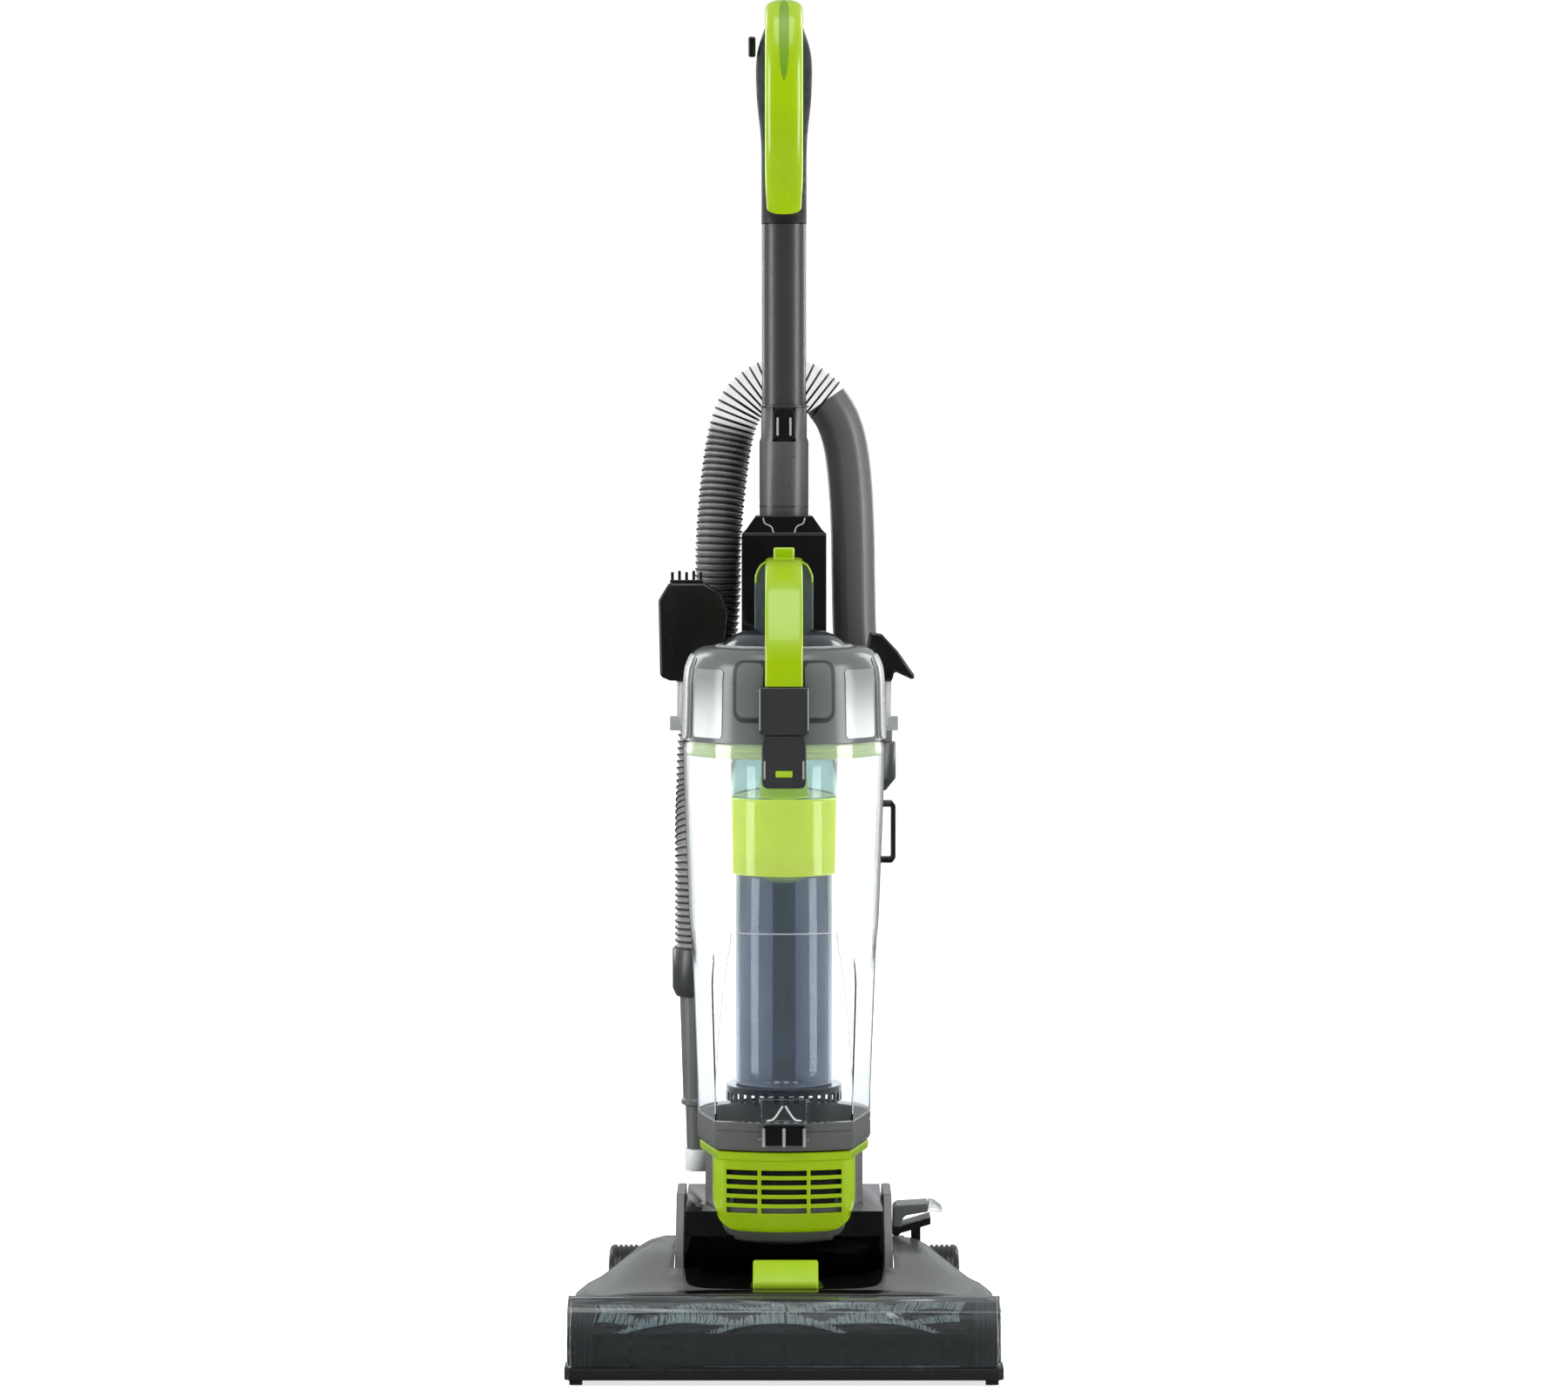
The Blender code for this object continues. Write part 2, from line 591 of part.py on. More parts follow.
# ================================================================ main body, low part
def pivot_cradle():
    """Black saddle on the pivot that carries the motor housing."""
    side = [(-0.0450, CRADLE_TOP), (-0.0450, CRADLE_TOP - 0.0200), (-0.0300, PIVOT_Z - 0.0020),
            (PIVOT_Y - 0.0400, PIVOT_Z - 0.0330), (PIVOT_Y - 0.0150, PIVOT_Z - 0.0424),
            (PIVOT_Y + 0.0150, PIVOT_Z - 0.0424), (PIVOT_Y + 0.0350, PIVOT_Z - 0.0280),
            (PIVOT_Y + 0.0450, PIVOT_Z), (SPINE_FRONT + 0.0140, CRADLE_TOP)]
    cradle = prism("pivot_cradle", side, "X", -CRADLE_HALF, CRADLE_HALF, "black")
    for side_name, s in SIDES:
        x0, x1 = sorted((s * (CRADLE_HALF - 0.0050), s * (CHEEK_OUT - 0.0005)))
        fuse(cradle, rod("add_trunnion_" + side_name, "X", (PIVOT_Y, PIVOT_Z), 0.0100, x0, x1,
                         sides=28))
    pocket = turned("cut_housing_pocket", housing_outline(GAP * 1.2), sides=48,
                    section=faced_section)
    cut(cradle, pocket)


def housing_outline(extra):
    """Outside profile of the motor housing, grown by a little extra."""
    r = HOUSING_RADIUS
    return [(0, HOUSING_BASE - extra), (r - 0.0250, HOUSING_BASE - extra),
            (r - 0.0110 + extra, HOUSING_BASE + 0.0050), (r - 0.0030 + extra, HOUSING_BASE + 0.0150),
            (r + extra, HOUSING_BASE + 0.0300), (r + extra, HOUSING_TOP + 0.0300),
            (0, HOUSING_TOP + 0.0300)]


def motor_housing():
    """Grey cup round the main motor, open at the top, with a window behind the grill."""
    r = HOUSING_RADIUS
    t = 0.0030
    outer = [(0, HOUSING_BASE), (r - 0.0250, HOUSING_BASE), (r - 0.0110, HOUSING_BASE + 0.0050),
             (r - 0.0030, HOUSING_BASE + 0.0150), (r, HOUSING_BASE + 0.0300), (r, HOUSING_TOP)]
    inner = [(r - t, HOUSING_TOP), (r - t, HOUSING_BASE + 0.0305),
             (r - 0.0030 - t, HOUSING_BASE + 0.0162), (r - 0.0120 - t, HOUSING_BASE + 0.0070),
             (r - 0.0260, HOUSING_BASE + t), (0, HOUSING_BASE + t)]
    housing = turned("motor_housing", outer + inner, "grey", sides=48, section=faced_section)
    window = box("cut_housing_window", (-0.0400, -r - 0.010, HOUSING_BASE + 0.0340),
                 (0.0400, -0.030, HOUSING_TOP - 0.0080))
    cut(housing, window)


def arc_shell(name, inner, outer, half_angle, low, high, finish=None, steps=20):
    """Part of a round wall facing the front."""
    rings = []
    for i in range(steps + 1):
        angle = -math.pi / 2 + half_angle * (2 * i / steps - 1)
        ring = []
        for radius, z in ((inner, low), (outer, low), (outer, high), (inner, high)):
            reach = radius * faced_section(angle, z)
            ring.append((reach * math.cos(angle), reach * math.sin(angle), z))
        rings.append(ring)
    return skin(name, rings, finish)


def front_grill():
    """Lime trim band with the slotted shield hanging from it."""
    r = HOUSING_RADIUS + GAP
    band_profile = [(r - 0.0040, HOUSING_TOP + GAP), (r + 0.0035, HOUSING_TOP + GAP),
                    (r + 0.0040, BAND_TOP), (r - 0.0040, BAND_TOP)]
    band = turned("front_grill", band_profile, "lime", sides=48, section=faced_section)
    low = HOUSING_BASE + 0.0230
    shield = arc_shell("add_shield", r, r + 0.0031, math.radians(60), low, HOUSING_TOP + 0.0040,
                       steps=16)
    outline = [(-0.0600, HOUSING_TOP + 0.010), (-0.0560, HOUSING_TOP - 0.0100),
               (-0.0490, low + 0.0140), (-0.0400, low + 0.0040), (-0.0300, low + 0.0004),
               (0.0300, low + 0.0004), (0.0400, low + 0.0040), (0.0490, low + 0.0140),
               (0.0560, HOUSING_TOP - 0.0100), (0.0600, HOUSING_TOP + 0.010)]
    mask = prism("cut_shield_shape", outline, "Y", -r - 0.020, 0)
    combine(shield, "INTERSECT", mask)
    pitch = 0.0075
    half = ((0.0185, 0.0155), (0.0185, 0.0165), (0.0185, 0.0165), (0.0185, 0.0150),
            (0.0185, 0.0125))
    for row in range(5):
        z = HOUSING_TOP - 0.0070 - pitch * row
        for column in (-1, 0, 1):
            width = half[row][0] if column == 0 else half[row][1]
            x = column * (0.0185 + 0.0045 + half[row][1])
            slot = box("cut_slot_%d_%d" % (row, column + 1), (x - width, -r - 0.020, z - 0.0040),
                       (x + width, -0.020, z))
            cut(shield, slot)
    fuse(band, shield)


def motor_parts():
    """Exhaust filter, motor stator, rotor with fan and the air inlet grid."""
    r = HOUSING_RADIUS
    arc_shell("exhaust_filter", r - 0.0090, r - 0.0035, math.radians(50), HOUSING_BASE + 0.0320,
              HOUSING_TOP - 0.0060, "foam", 16)
    low = HOUSING_BASE + 0.0033
    stator = [(0.0045, low), (0.0340, low), (0.0340, low + 0.0350), (0.0230, low + 0.0350),
              (0.0230, low + 0.0060), (0.0045, low + 0.0060)]
    turned("motor_stator", stator, "copper", sides=20)
    rotor = [(0, low + 0.0005), (0.0038, low + 0.0005), (0.0038, low + 0.0075),
             (0.0218, low + 0.0080), (0.0218, low + 0.0330), (0.0038, low + 0.0360),
             (0.0038, low + 0.0420), (0.0450, low + 0.0440), (0.0450, low + 0.0470),
             (0.0120, low + 0.0540), (0, low + 0.0540)]
    turned("motor_rotor", rotor, "steel", sides=20)
    inside = HOUSING_RADIUS * faced_section(math.radians(-90 + 77), HOUSING_TOP) - 0.0043
    grid = rod("inlet_grid", "Z", (0, 0), inside, HOUSING_TOP + 0.0015, HOUSING_TOP + 0.0045,
               "dark_grey", 32)
    for i in range(8):
        angle = 2 * math.pi * i / 8
        hole = rod("cut_grid_%d" % i, "Z", (0.030 * math.cos(angle), 0.030 * math.sin(angle)),
                   0.0080, HOUSING_TOP, HOUSING_TOP + 0.0060, sides=12)
        cut(grid, hole)


# ================================================================ main body, spine
def spine():
    """Upright channel behind the bin, closed by a back panel, with the tapered top."""
    low = CRADLE_TOP + GAP
    front = [(-SPINE_HALF, low), (SPINE_HALF, low), (SPINE_HALF, SPINE_NECK_Z - 0.012),
             (NECK_HALF, SPINE_NECK_Z), (NECK_HALF, SPINE_BOX_TOP),
             (NECK_HALF - 0.0035, SPINE_BOX_TOP + 0.0035),
             (LOWER_TUBE_RADIUS + 0.0030, SPINE_TOP), (-LOWER_TUBE_RADIUS - 0.0030, SPINE_TOP),
             (-NECK_HALF + 0.0035, SPINE_BOX_TOP + 0.0035), (-NECK_HALF, SPINE_BOX_TOP),
             (-NECK_HALF, SPINE_NECK_Z), (-SPINE_HALF, SPINE_NECK_Z - 0.012)]
    shell = prism("spine_shell", front, "Y", SPINE_FRONT, SPINE_BACK, "black")
    neck = [(x, max(z, LID_TOP + 0.0060)) for x, z in front[3:-1]]
    fuse(shell, prism("add_spine_neck", neck, "Y", TUBE_Y - LOWER_TUBE_RADIUS - 0.0060,
                      SPINE_FRONT + 0.0080))
    t = 0.0035
    hollow = box("cut_spine_hollow", (-SPINE_HALF + t, SPINE_FRONT + t, low + t),
                 (SPINE_HALF - t, SPINE_BACK + 0.010, SPINE_NECK_Z - 0.0140))
    rebate = box("cut_panel_rebate", (-SPINE_HALF + 0.0015, SPINE_BACK - 0.0030, low + 0.0015),
                 (SPINE_HALF - 0.0015, SPINE_BACK + 0.010, SPINE_NECK_Z - 0.0125))
    socket = rod("cut_tube_socket", "Z", (0, TUBE_Y), LOWER_TUBE_RADIUS + GAP,
                 SPINE_BOX_TOP - 0.0300, SPINE_TOP + 0.010, sides=32)
    cut(shell, hollow, rebate, socket)
    ease = SLIP
    panel = box("back_panel", (-SPINE_HALF + 0.0015 + ease, SPINE_BACK - 0.0027, low + 0.0015 + ease),
                (SPINE_HALF - 0.0015 - ease, SPINE_BACK, SPINE_NECK_Z - 0.0125 - ease), "dark_grey")
    gland = rod("add_cord_gland", "Y", (0, low + 0.0600), 0.0070, SPINE_BACK - 0.0020,
                SPINE_BACK + 0.0120, sides=20)
    bore = rod("cut_gland_bore", "Y", (0, low + 0.0600), 0.0035, SPINE_BACK - 0.0040,
               SPINE_BACK + 0.0130, sides=16)
    fuse(panel, gland)
    cut(panel, bore)


def lower_tube():
    """Fixed tube with the hose hook behind it and the latch window in front."""
    r = LOWER_TUBE_RADIUS
    bore = TUBE_RADIUS - 0.0020 + GAP
    low = SPINE_BOX_TOP - 0.0297
    profile = [(bore, low), (r, low), (r, SPINE_TOP + 0.0600), (TUBE_RADIUS + 0.0006,
               SPINE_TOP + 0.0640), (TUBE_RADIUS + 0.0006, LOWER_TUBE_TOP), (bore, LOWER_TUBE_TOP)]
    tube = turned("tube_lower", profile, "dark_grey", (0, TUBE_Y), sides=24)
    window = box("cut_latch_window", (-LATCH_HALF - SLIP, TUBE_Y - r - 0.010, LATCH_LOW - SLIP),
                 (LATCH_HALF + SLIP, TUBE_Y - 0.008, LATCH_HIGH + SLIP))
    y0 = TUBE_Y + bore + 0.0015
    z0 = hose_top_z() - HOSE_RADIUS - GAP
    back = HOSE_BACK_Y + HOSE_RADIUS + 0.0005
    arm = [(y0, z0 - 0.0140), (back - 0.004, z0 - 0.0060), (back + 0.0020, z0 + 0.0060),
           (back + 0.0020, z0 + 0.0100), (back, z0 + 0.0100), (back - 0.0010, z0 + 0.0040),
           (back - 0.0060, z0 - 0.0030), (y0, z0 - 0.0090)]
    hook = prism("add_hose_hook", arm, "X", -0.0110, 0.0110)
    fuse(tube, hook)
    cut(tube, window)


LATCH_HALF = 0.0085
LATCH_LOW = LOWER_TUBE_TOP - 0.0290
LATCH_HIGH = LOWER_TUBE_TOP - 0.0030


def hose_top_z():
    """Height of the middle of the hose where it goes over its hook."""
    return LOWER_TUBE_TOP + 0.0210


def tool_mount(side_name, s):
    """Shelf on the spine with an upright post for a tool."""
    x0, x1 = sorted((s * (SPINE_HALF + GAP), s * (TOOL_X + 0.0130)))
    y0 = SPINE_FRONT - 0.0010
    shelf = box("tool_mount_" + side_name, (x0, y0, SHELF_Z), (x1, y0 + 0.0150, SHELF_Z + 0.0110),
                "light_grey")
    post = rod("add_post_" + side_name, "Z", (s * TOOL_X, TOOL_Y + 0.002), 0.0060,
               SHELF_Z + 0.0050, SHELF_Z + 0.0600, sides=20)
    collar = rod("add_collar_" + side_name, "Z", (s * TOOL_X, TOOL_Y + 0.002), 0.0078,
                 SHELF_Z + 0.0050, SHELF_Z + 0.0400, sides=24)
    clear = turned("cut_shelf_round_" + side_name,
                   [(0, SHELF_Z - 0.01), (BIN_RADIUS + 0.0015, SHELF_Z - 0.01),
                    (BIN_RADIUS + 0.0015, SHELF_Z + 0.0800), (0, SHELF_Z + 0.0800)], sides=48)
    fuse(shelf, post, collar)
    cut(shelf, clear)


def cord_hooks():
    """Fixed C-shaped hook at the right side and a swivel hook on the back."""
    x0 = SPINE_HALF + GAP
    x1 = TOOL_X + 0.0115
    z0 = BIN_TOP - 0.1080
    z1 = BIN_TOP - 0.0570
    y0 = SPINE_FRONT + 0.0110
    y1 = y0 + 0.0110
    outline = [(x0, z0 + 0.0180), (x1 - 0.0180, z0 + 0.0180), (x1 - 0.0180, z0 + 0.0030),
               (x1 - 0.0140, z0), (x1 - 0.0030, z0), (x1, z0 + 0.0040), (x1, z1 - 0.0040),
               (x1 - 0.0030, z1), (x1 - 0.0140, z1), (x1 - 0.0180, z1 - 0.0030),
               (x1 - 0.0180, z1 - 0.0050), (x1 - 0.0040, z1 - 0.0050), (x1 - 0.0040, z0 + 0.0050),
               (x1 - 0.0130, z0 + 0.0050), (x1 - 0.0130, z0 + 0.0330), (x0, z0 + 0.0330)]
    prism("cord_hook_lower", outline, "Y", y0, y1, "black")
    z = SWIVEL_Z
    y = SPINE_BACK + GAP
    hook = [(-0.0070, z - 0.0090), (0.0070, z - 0.0090), (0.0080, z + 0.0120),
            (0.0065, z + 0.0200), (-0.0065, z + 0.0200), (-0.0080, z + 0.0120)]
    body = prism("cord_hook_upper", hook, "Y", y, y + 0.0220, "black")
    throat = box("cut_swivel_throat", (-0.0200, y + 0.0050, z + 0.0020),
                 (0.0200, y + 0.0170, z + 0.0300))
    cut(body, throat)


SWIVEL_Z = SPINE_BOX_TOP - 0.0450


# ================================================================ dust bin
def wall_radius(z):
    """Radius of the clear wall, which tapers evenly down to the door."""
    low = BIN_BASE + 0.0200
    high = BIN_TOP - 0.0300
    share = (z - low) / (high - low)
    return DOOR_RADIUS + 0.0002 + (BIN_RADIUS - 0.0004 - DOOR_RADIUS - 0.0002) * share


def bin_shell():
    """Clear tapered wall, pale seal ring, lid and smoked dome."""
    t = 0.0022
    wall = [(DOOR_RADIUS, BIN_BASE), (DOOR_RADIUS + 0.0002, BIN_BASE + 0.0200),
            (wall_radius(BIN_BASE + 0.105), BIN_BASE + 0.105),
            (wall_radius(BIN_BASE + 0.160), BIN_BASE + 0.160),
            (BIN_RADIUS - 0.0004, BIN_TOP - 0.0300), (BIN_RADIUS, BIN_TOP - 0.0100),
            (BIN_RADIUS, BIN_TOP), (BIN_RADIUS - t, BIN_TOP), (BIN_RADIUS - t, BIN_TOP - 0.0140),
            (BIN_RADIUS - 0.0004 - t, BIN_TOP - 0.0300),
            (wall_radius(BIN_BASE + 0.160) - t, BIN_BASE + 0.160),
            (wall_radius(BIN_BASE + 0.105) - t, BIN_BASE + 0.105),
            (DOOR_RADIUS + 0.0002 - t, BIN_BASE + 0.0200), (DOOR_RADIUS - t, BIN_BASE)]
    turned("bin_wall", wall, "clear", sides=48, section=faced_section)
    r = BIN_RADIUS - t - SLIP
    seal = [(r - 0.0050, BIN_TOP - 0.0120), (r, BIN_TOP - 0.0120), (r, BIN_TOP - GAP),
            (r - 0.0050, BIN_TOP - GAP)]
    turned("bin_seal", seal, "pale_lime", sides=32)
    base = BIN_TOP + GAP
    lid = [(BIN_RADIUS - 0.0090, base), (BIN_RADIUS, base), (BIN_RADIUS - 0.0005, base + 0.0080),
           (BIN_RADIUS - 0.0015, base + 0.0500), (BIN_RADIUS - 0.0060, LID_TOP - 0.0080),
           (BIN_RADIUS - 0.0150, LID_TOP - 0.0010), (BIN_RADIUS - 0.0225, LID_TOP),
           (DOME_RADIUS + SLIP, LID_TOP - 0.0030), (DOME_RADIUS + SLIP, LID_TOP - 0.0070),
           (DOME_RADIUS - 0.0040, LID_TOP - 0.0070),
           (DOME_RADIUS - 0.0040, LID_TOP - 0.0100), (BIN_RADIUS - 0.0160, LID_TOP - 0.0060),
           (BIN_RADIUS - 0.0095, LID_TOP - 0.0120), (BIN_RADIUS - 0.0050, base + 0.0490)]
    turned("bin_lid", lid, "grey", sides=36)
    low = LID_TOP - 0.0070 + GAP
    dome = [(0, low), (DOME_RADIUS, low), (DOME_RADIUS, low + 0.0020),
            (DOME_RADIUS - 0.0060, DOME_TOP - 0.0110), (DOME_RADIUS - 0.0180, DOME_TOP - 0.0040),
            (DOME_RADIUS - 0.0350, DOME_TOP - 0.0005), (0, DOME_TOP)]
    turned("lid_dome", dome, "smoke", sides=28)


DOME_RADIUS = BIN_RADIUS * 0.645
HANDLE_TOP = LID_TOP + 0.0690
STAND_Y = 0.0340


def carry_handle():
    """Stand at the back, lime strap that comes forward over the lid, and the release button."""
    stand = [(-0.0235, DOME_TOP - 0.0100), (0.0235, DOME_TOP - 0.0100), (0.0235, HANDLE_TOP - 0.0140),
             (0.0190, HANDLE_TOP - 0.0050), (0.0100, HANDLE_TOP), (-0.0100, HANDLE_TOP),
             (-0.0190, HANDLE_TOP - 0.0050), (-0.0235, HANDLE_TOP - 0.0140)]
    plate = prism("handle_stand", stand, "Y", STAND_Y, STAND_Y + 0.0120, "dark_grey")
    clear = turned("cut_stand_foot", [(0, LID_TOP - 0.010), (DOME_RADIUS + GAP, LID_TOP - 0.010),
                                      (DOME_RADIUS + GAP, LID_TOP - 0.0050 + GAP),
                                      (DOME_RADIUS - 0.0060 + GAP, DOME_TOP - 0.0110 + GAP),
                                      (DOME_RADIUS - 0.0180, DOME_TOP - 0.0040 + GAP),
                                      (DOME_RADIUS - 0.0350, DOME_TOP - 0.0005 + GAP),
                                      (0, DOME_TOP + GAP)], sides=28)
    hollow = box("cut_button_bore", (-0.0090, STAND_Y - 0.001, HANDLE_TOP - 0.0080),
                 (0.0090, STAND_Y + 0.0090, HANDLE_TOP + 0.010))
    cut(plate, clear, hollow)
    button = box("bin_button", (-0.0084, STAND_Y - 0.0002, HANDLE_TOP - 0.0045),
                 (0.0084, STAND_Y + 0.0084, HANDLE_TOP + 0.0085), "lime")
    soften(button, 0.0012)
    route = [(STAND_Y - 0.0046, HANDLE_TOP - 0.0300), (STAND_Y - 0.0050, HANDLE_TOP - 0.0150),
             (STAND_Y - 0.0110, HANDLE_TOP - 0.0045), (0.0080, HANDLE_TOP - 0.0035),
             (-0.0200, HANDLE_TOP - 0.0080), (-0.0450, HANDLE_TOP - 0.0240),
             (-BIN_RADIUS + 0.0130, HANDLE_TOP - 0.0480), (-BIN_RADIUS - 0.0010, HANDLE_TOP - 0.0720),
             (-BIN_RADIUS - 0.0048, LATCH_ARM_TOP + 0.0100),
             (-BIN_RADIUS - 0.0050, LATCH_ARM_TOP + 0.0006)]
    points = spline([(0.0, y, z) for y, z in route], 3)
    widths = [0.0150] * len(points)
    depths = [0.0042] * len(points)
    swept("carry_handle", points, widths, depths, (1, 0, 0), 12, "lime")


LATCH_ARM_TOP = BIN_TOP + 0.0460


def latch_arm():
    """Dark arm under the strap that hooks the lid to the clear wall."""
    front = -BIN_RADIUS - 0.0095
    back = -BIN_RADIUS - GAP - 0.0010
    low = BIN_TOP - 0.0335
    outline = [(-0.0200, LATCH_ARM_TOP), (-0.0200, BIN_TOP + 0.0110), (-0.0175, BIN_TOP + 0.0080),
               (-0.0175, low + 0.0060), (-0.0130, low), (0.0130, low), (0.0175, low + 0.0060),
               (0.0175, BIN_TOP + 0.0080), (0.0200, BIN_TOP + 0.0110), (0.0200, LATCH_ARM_TOP)]
    arm = prism("latch_arm", outline, "Y", front, back + 0.004, "dark_grey")
    clear = turned("cut_arm_back", [(0, low - 0.01), (BIN_RADIUS + GAP, low - 0.01),
                                    (BIN_RADIUS + GAP, LATCH_ARM_TOP + 0.010),
                                    (0, LATCH_ARM_TOP + 0.010)], sides=64)
    window = box("cut_arm_window", (-0.0065, front - 0.002, low + 0.0090),
                 (0.0065, back + 0.006, low + 0.0140))
    cut(arm, clear, window)
    soften(arm, 0.0012, 1)


def cyclone():
    """Cap, lime band, smoky tube with the pipe inside it, and the lower band in the bin."""
    top = BIN_TOP - GAP
    low = BIN_TOP - 0.0460
    r = BIN_RADIUS * 0.543
    flange = BIN_RADIUS - 0.0022 - SLIP - 0.0050 - SLIP
    cap = [(flange, top), (flange, top - 0.0020), (0.0200, top - 0.0020),
           (0.0200, top - 0.0180), (r - 0.003, top - 0.0210), (r, top - 0.0240),
           (r, low + GAP), (0.0150, low + GAP), (0.0150, top)]
    turned("cyclone_cap", cap, "teal_smoke", sides=24)
    band_low = low - 0.0610
    r = BIN_RADIUS * 0.555
    throat = BIN_RADIUS * 0.484 + SLIP
    band = [(0.0150, low), (r, low), (r, band_low), (throat, band_low), (throat, band_low + 0.0020),
            (r - 0.0025, band_low + 0.0040), (r - 0.0025, low - 0.0030), (0.0150, low - 0.0030)]
    turned("cyclone_band", band, "lime", sides=24)
    r = BIN_RADIUS * 0.484
    tube_low = BIN_BASE + 0.0240
    tube = [(r - 0.0030, band_low + 0.0100), (r, band_low + 0.0100), (r, tube_low),
            (0.0200, tube_low), (0.0200, tube_low + 0.0020), (r - 0.0030, tube_low + 0.0020)]
    turned("cyclone_tube", tube, "blue_smoke", sides=24)
    neck = BIN_RADIUS * 0.242
    neck_low = band_low - 0.0085
    pipe = BIN_RADIUS * 0.118
    core = [(0, low - 0.0030 - GAP), (neck, low - 0.0030 - GAP), (neck, neck_low),
            (pipe, neck_low), (pipe, tube_low + 0.0020 + GAP), (0, tube_low + 0.0020 + GAP)]
    turned("cyclone_pipe", core, "blue_smoke", sides=20)
    top = tube_low - GAP
    band = [(0.0250, top), (r + 0.0080, top), (r + 0.0080, top - 0.0130), (r + 0.0060, top - 0.0130),
            (r + 0.0060, top - 0.0020), (0.0250, top - 0.0020)]
    turned("cyclone_skirt", band, "smoke", sides=24)


def bin_door():
    """Bottom door with its collar, rear pin eye, and the clear buckle in front."""
    r = DOOR_RADIUS
    t = 0.0030
    cup = [(0, DOOR_BASE), (r - 0.0040, DOOR_BASE), (r, DOOR_BASE + 0.0040), (r, DOOR_TOP),
           (r - t, DOOR_TOP), (r - t, DOOR_BASE + 0.0060), (r - 0.0050, DOOR_BASE + 0.0035),
           (0, DOOR_BASE + 0.0035)]
    door = turned("bin_door", cup, "grey", sides=48, section=faced_section)
    ear = box("add_door_ear", (-0.0120, r - 0.0020, DOOR_TOP - 0.0100), (0.0120, r + 0.0045, DOOR_TOP))
    face = -r * faced_section(math.radians(-90), DOOR_BASE)
    ramp_block = box("add_buckle_seat", (-0.0200, face - 0.0030, DOOR_BASE + 0.0030),
                     (0.0200, face + 0.0020, DOOR_BASE + 0.0180))
    fuse(door, ear, ramp_block)
    front = face - 0.0034
    side = [(front, DOOR_BASE + 0.0105), (front, DOOR_TOP + 0.0200), (front - 0.0025, DOOR_TOP + 0.0220),
            (front - 0.0050, DOOR_TOP + 0.0180), (front - 0.0050, DOOR_BASE + 0.0120)]
    buckle = prism("door_buckle", side, "X", -0.0200, 0.0200, "clear")
    notch = box("cut_buckle_notch", (-0.0120, front - 0.010, DOOR_BASE), (0.0120, front - 0.0025,
                DOOR_TOP + 0.0020))
    cut(buckle, notch)


# ================================================================ handle
def upper_tube():
    """Tube with the spigot that slides into the lower tube, and its latch button."""
    r = TUBE_RADIUS
    spigot_low = LOWER_TUBE_TOP - 0.0600
    profile = [(r - 0.0045, spigot_low), (r - 0.0020, spigot_low), (r - 0.0020, LOWER_TUBE_TOP),
               (r - 0.0020, LOWER_TUBE_TOP + GAP), (r, LOWER_TUBE_TOP + GAP), (r, LOOP_BASE),
               (r - 0.0045, LOOP_BASE)]
    profile.pop(2)
    tube = turned("tube_upper", profile, "dark_grey", (0, TUBE_Y), sides=24)
    hole = box("cut_spigot_hole", (-LATCH_HALF - SLIP, TUBE_Y - r - 0.010, LATCH_LOW - SLIP),
               (LATCH_HALF + SLIP, TUBE_Y - 0.008, LATCH_HIGH + SLIP))
    cut(tube, hole)
    front = TUBE_Y - r - 0.0020
    side = [(-LATCH_HALF, LATCH_LOW), (LATCH_HALF, LATCH_LOW), (LATCH_HALF, LATCH_HIGH),
            (-LATCH_HALF, LATCH_HIGH)]
    button = prism("tube_latch", side, "Y", front, TUBE_Y - r + 0.0020 - GAP - 0.0006, "black")
    rib = box("cut_latch_rib", (-0.0040, front - 0.001, LATCH_LOW + 0.0060),
              (0.0040, front + 0.0012, LATCH_HIGH - 0.0100))
    cut(button, rib)


def loop_route():
    """Middle line of the loop in the side view, and its half widths and half depths."""
    y = TUBE_Y
    z = LOOP_BASE
    h = LOOP_HEIGHT
    d = LOOP_DEPTH
    rear = [(y, z + GAP, 0.0185, 0.0180), (y + 0.0010, z + 0.16 * h, 0.0185, 0.0165),
            (y + 0.0100, z + 0.38 * h, 0.0190, 0.0140), (y + 0.0170, z + 0.58 * h, 0.0225, 0.0140),
            (y + 0.0160, z + 0.76 * h, 0.0225, 0.0135), (y + 0.0040, z + 0.90 * h, 0.0160, 0.0105)]
    front = [(y + 0.0040, z + 0.90 * h, 0.0160, 0.0105), (y - 0.0140, z + 0.945 * h, 0.0155, 0.0100),
             (y - 0.35 * d, z + 0.93 * h, 0.0155, 0.0100), (y - 0.60 * d, z + 0.82 * h, 0.0155, 0.0100),
             (y - 0.72 * d, z + 0.62 * h, 0.0155, 0.0100), (y - 0.68 * d, z + 0.40 * h, 0.0155, 0.0100),
             (y - 0.48 * d, z + 0.20 * h, 0.0155, 0.0105), (y - 0.22 * d, z + 0.08 * h, 0.0145, 0.0110)]
    return rear, front


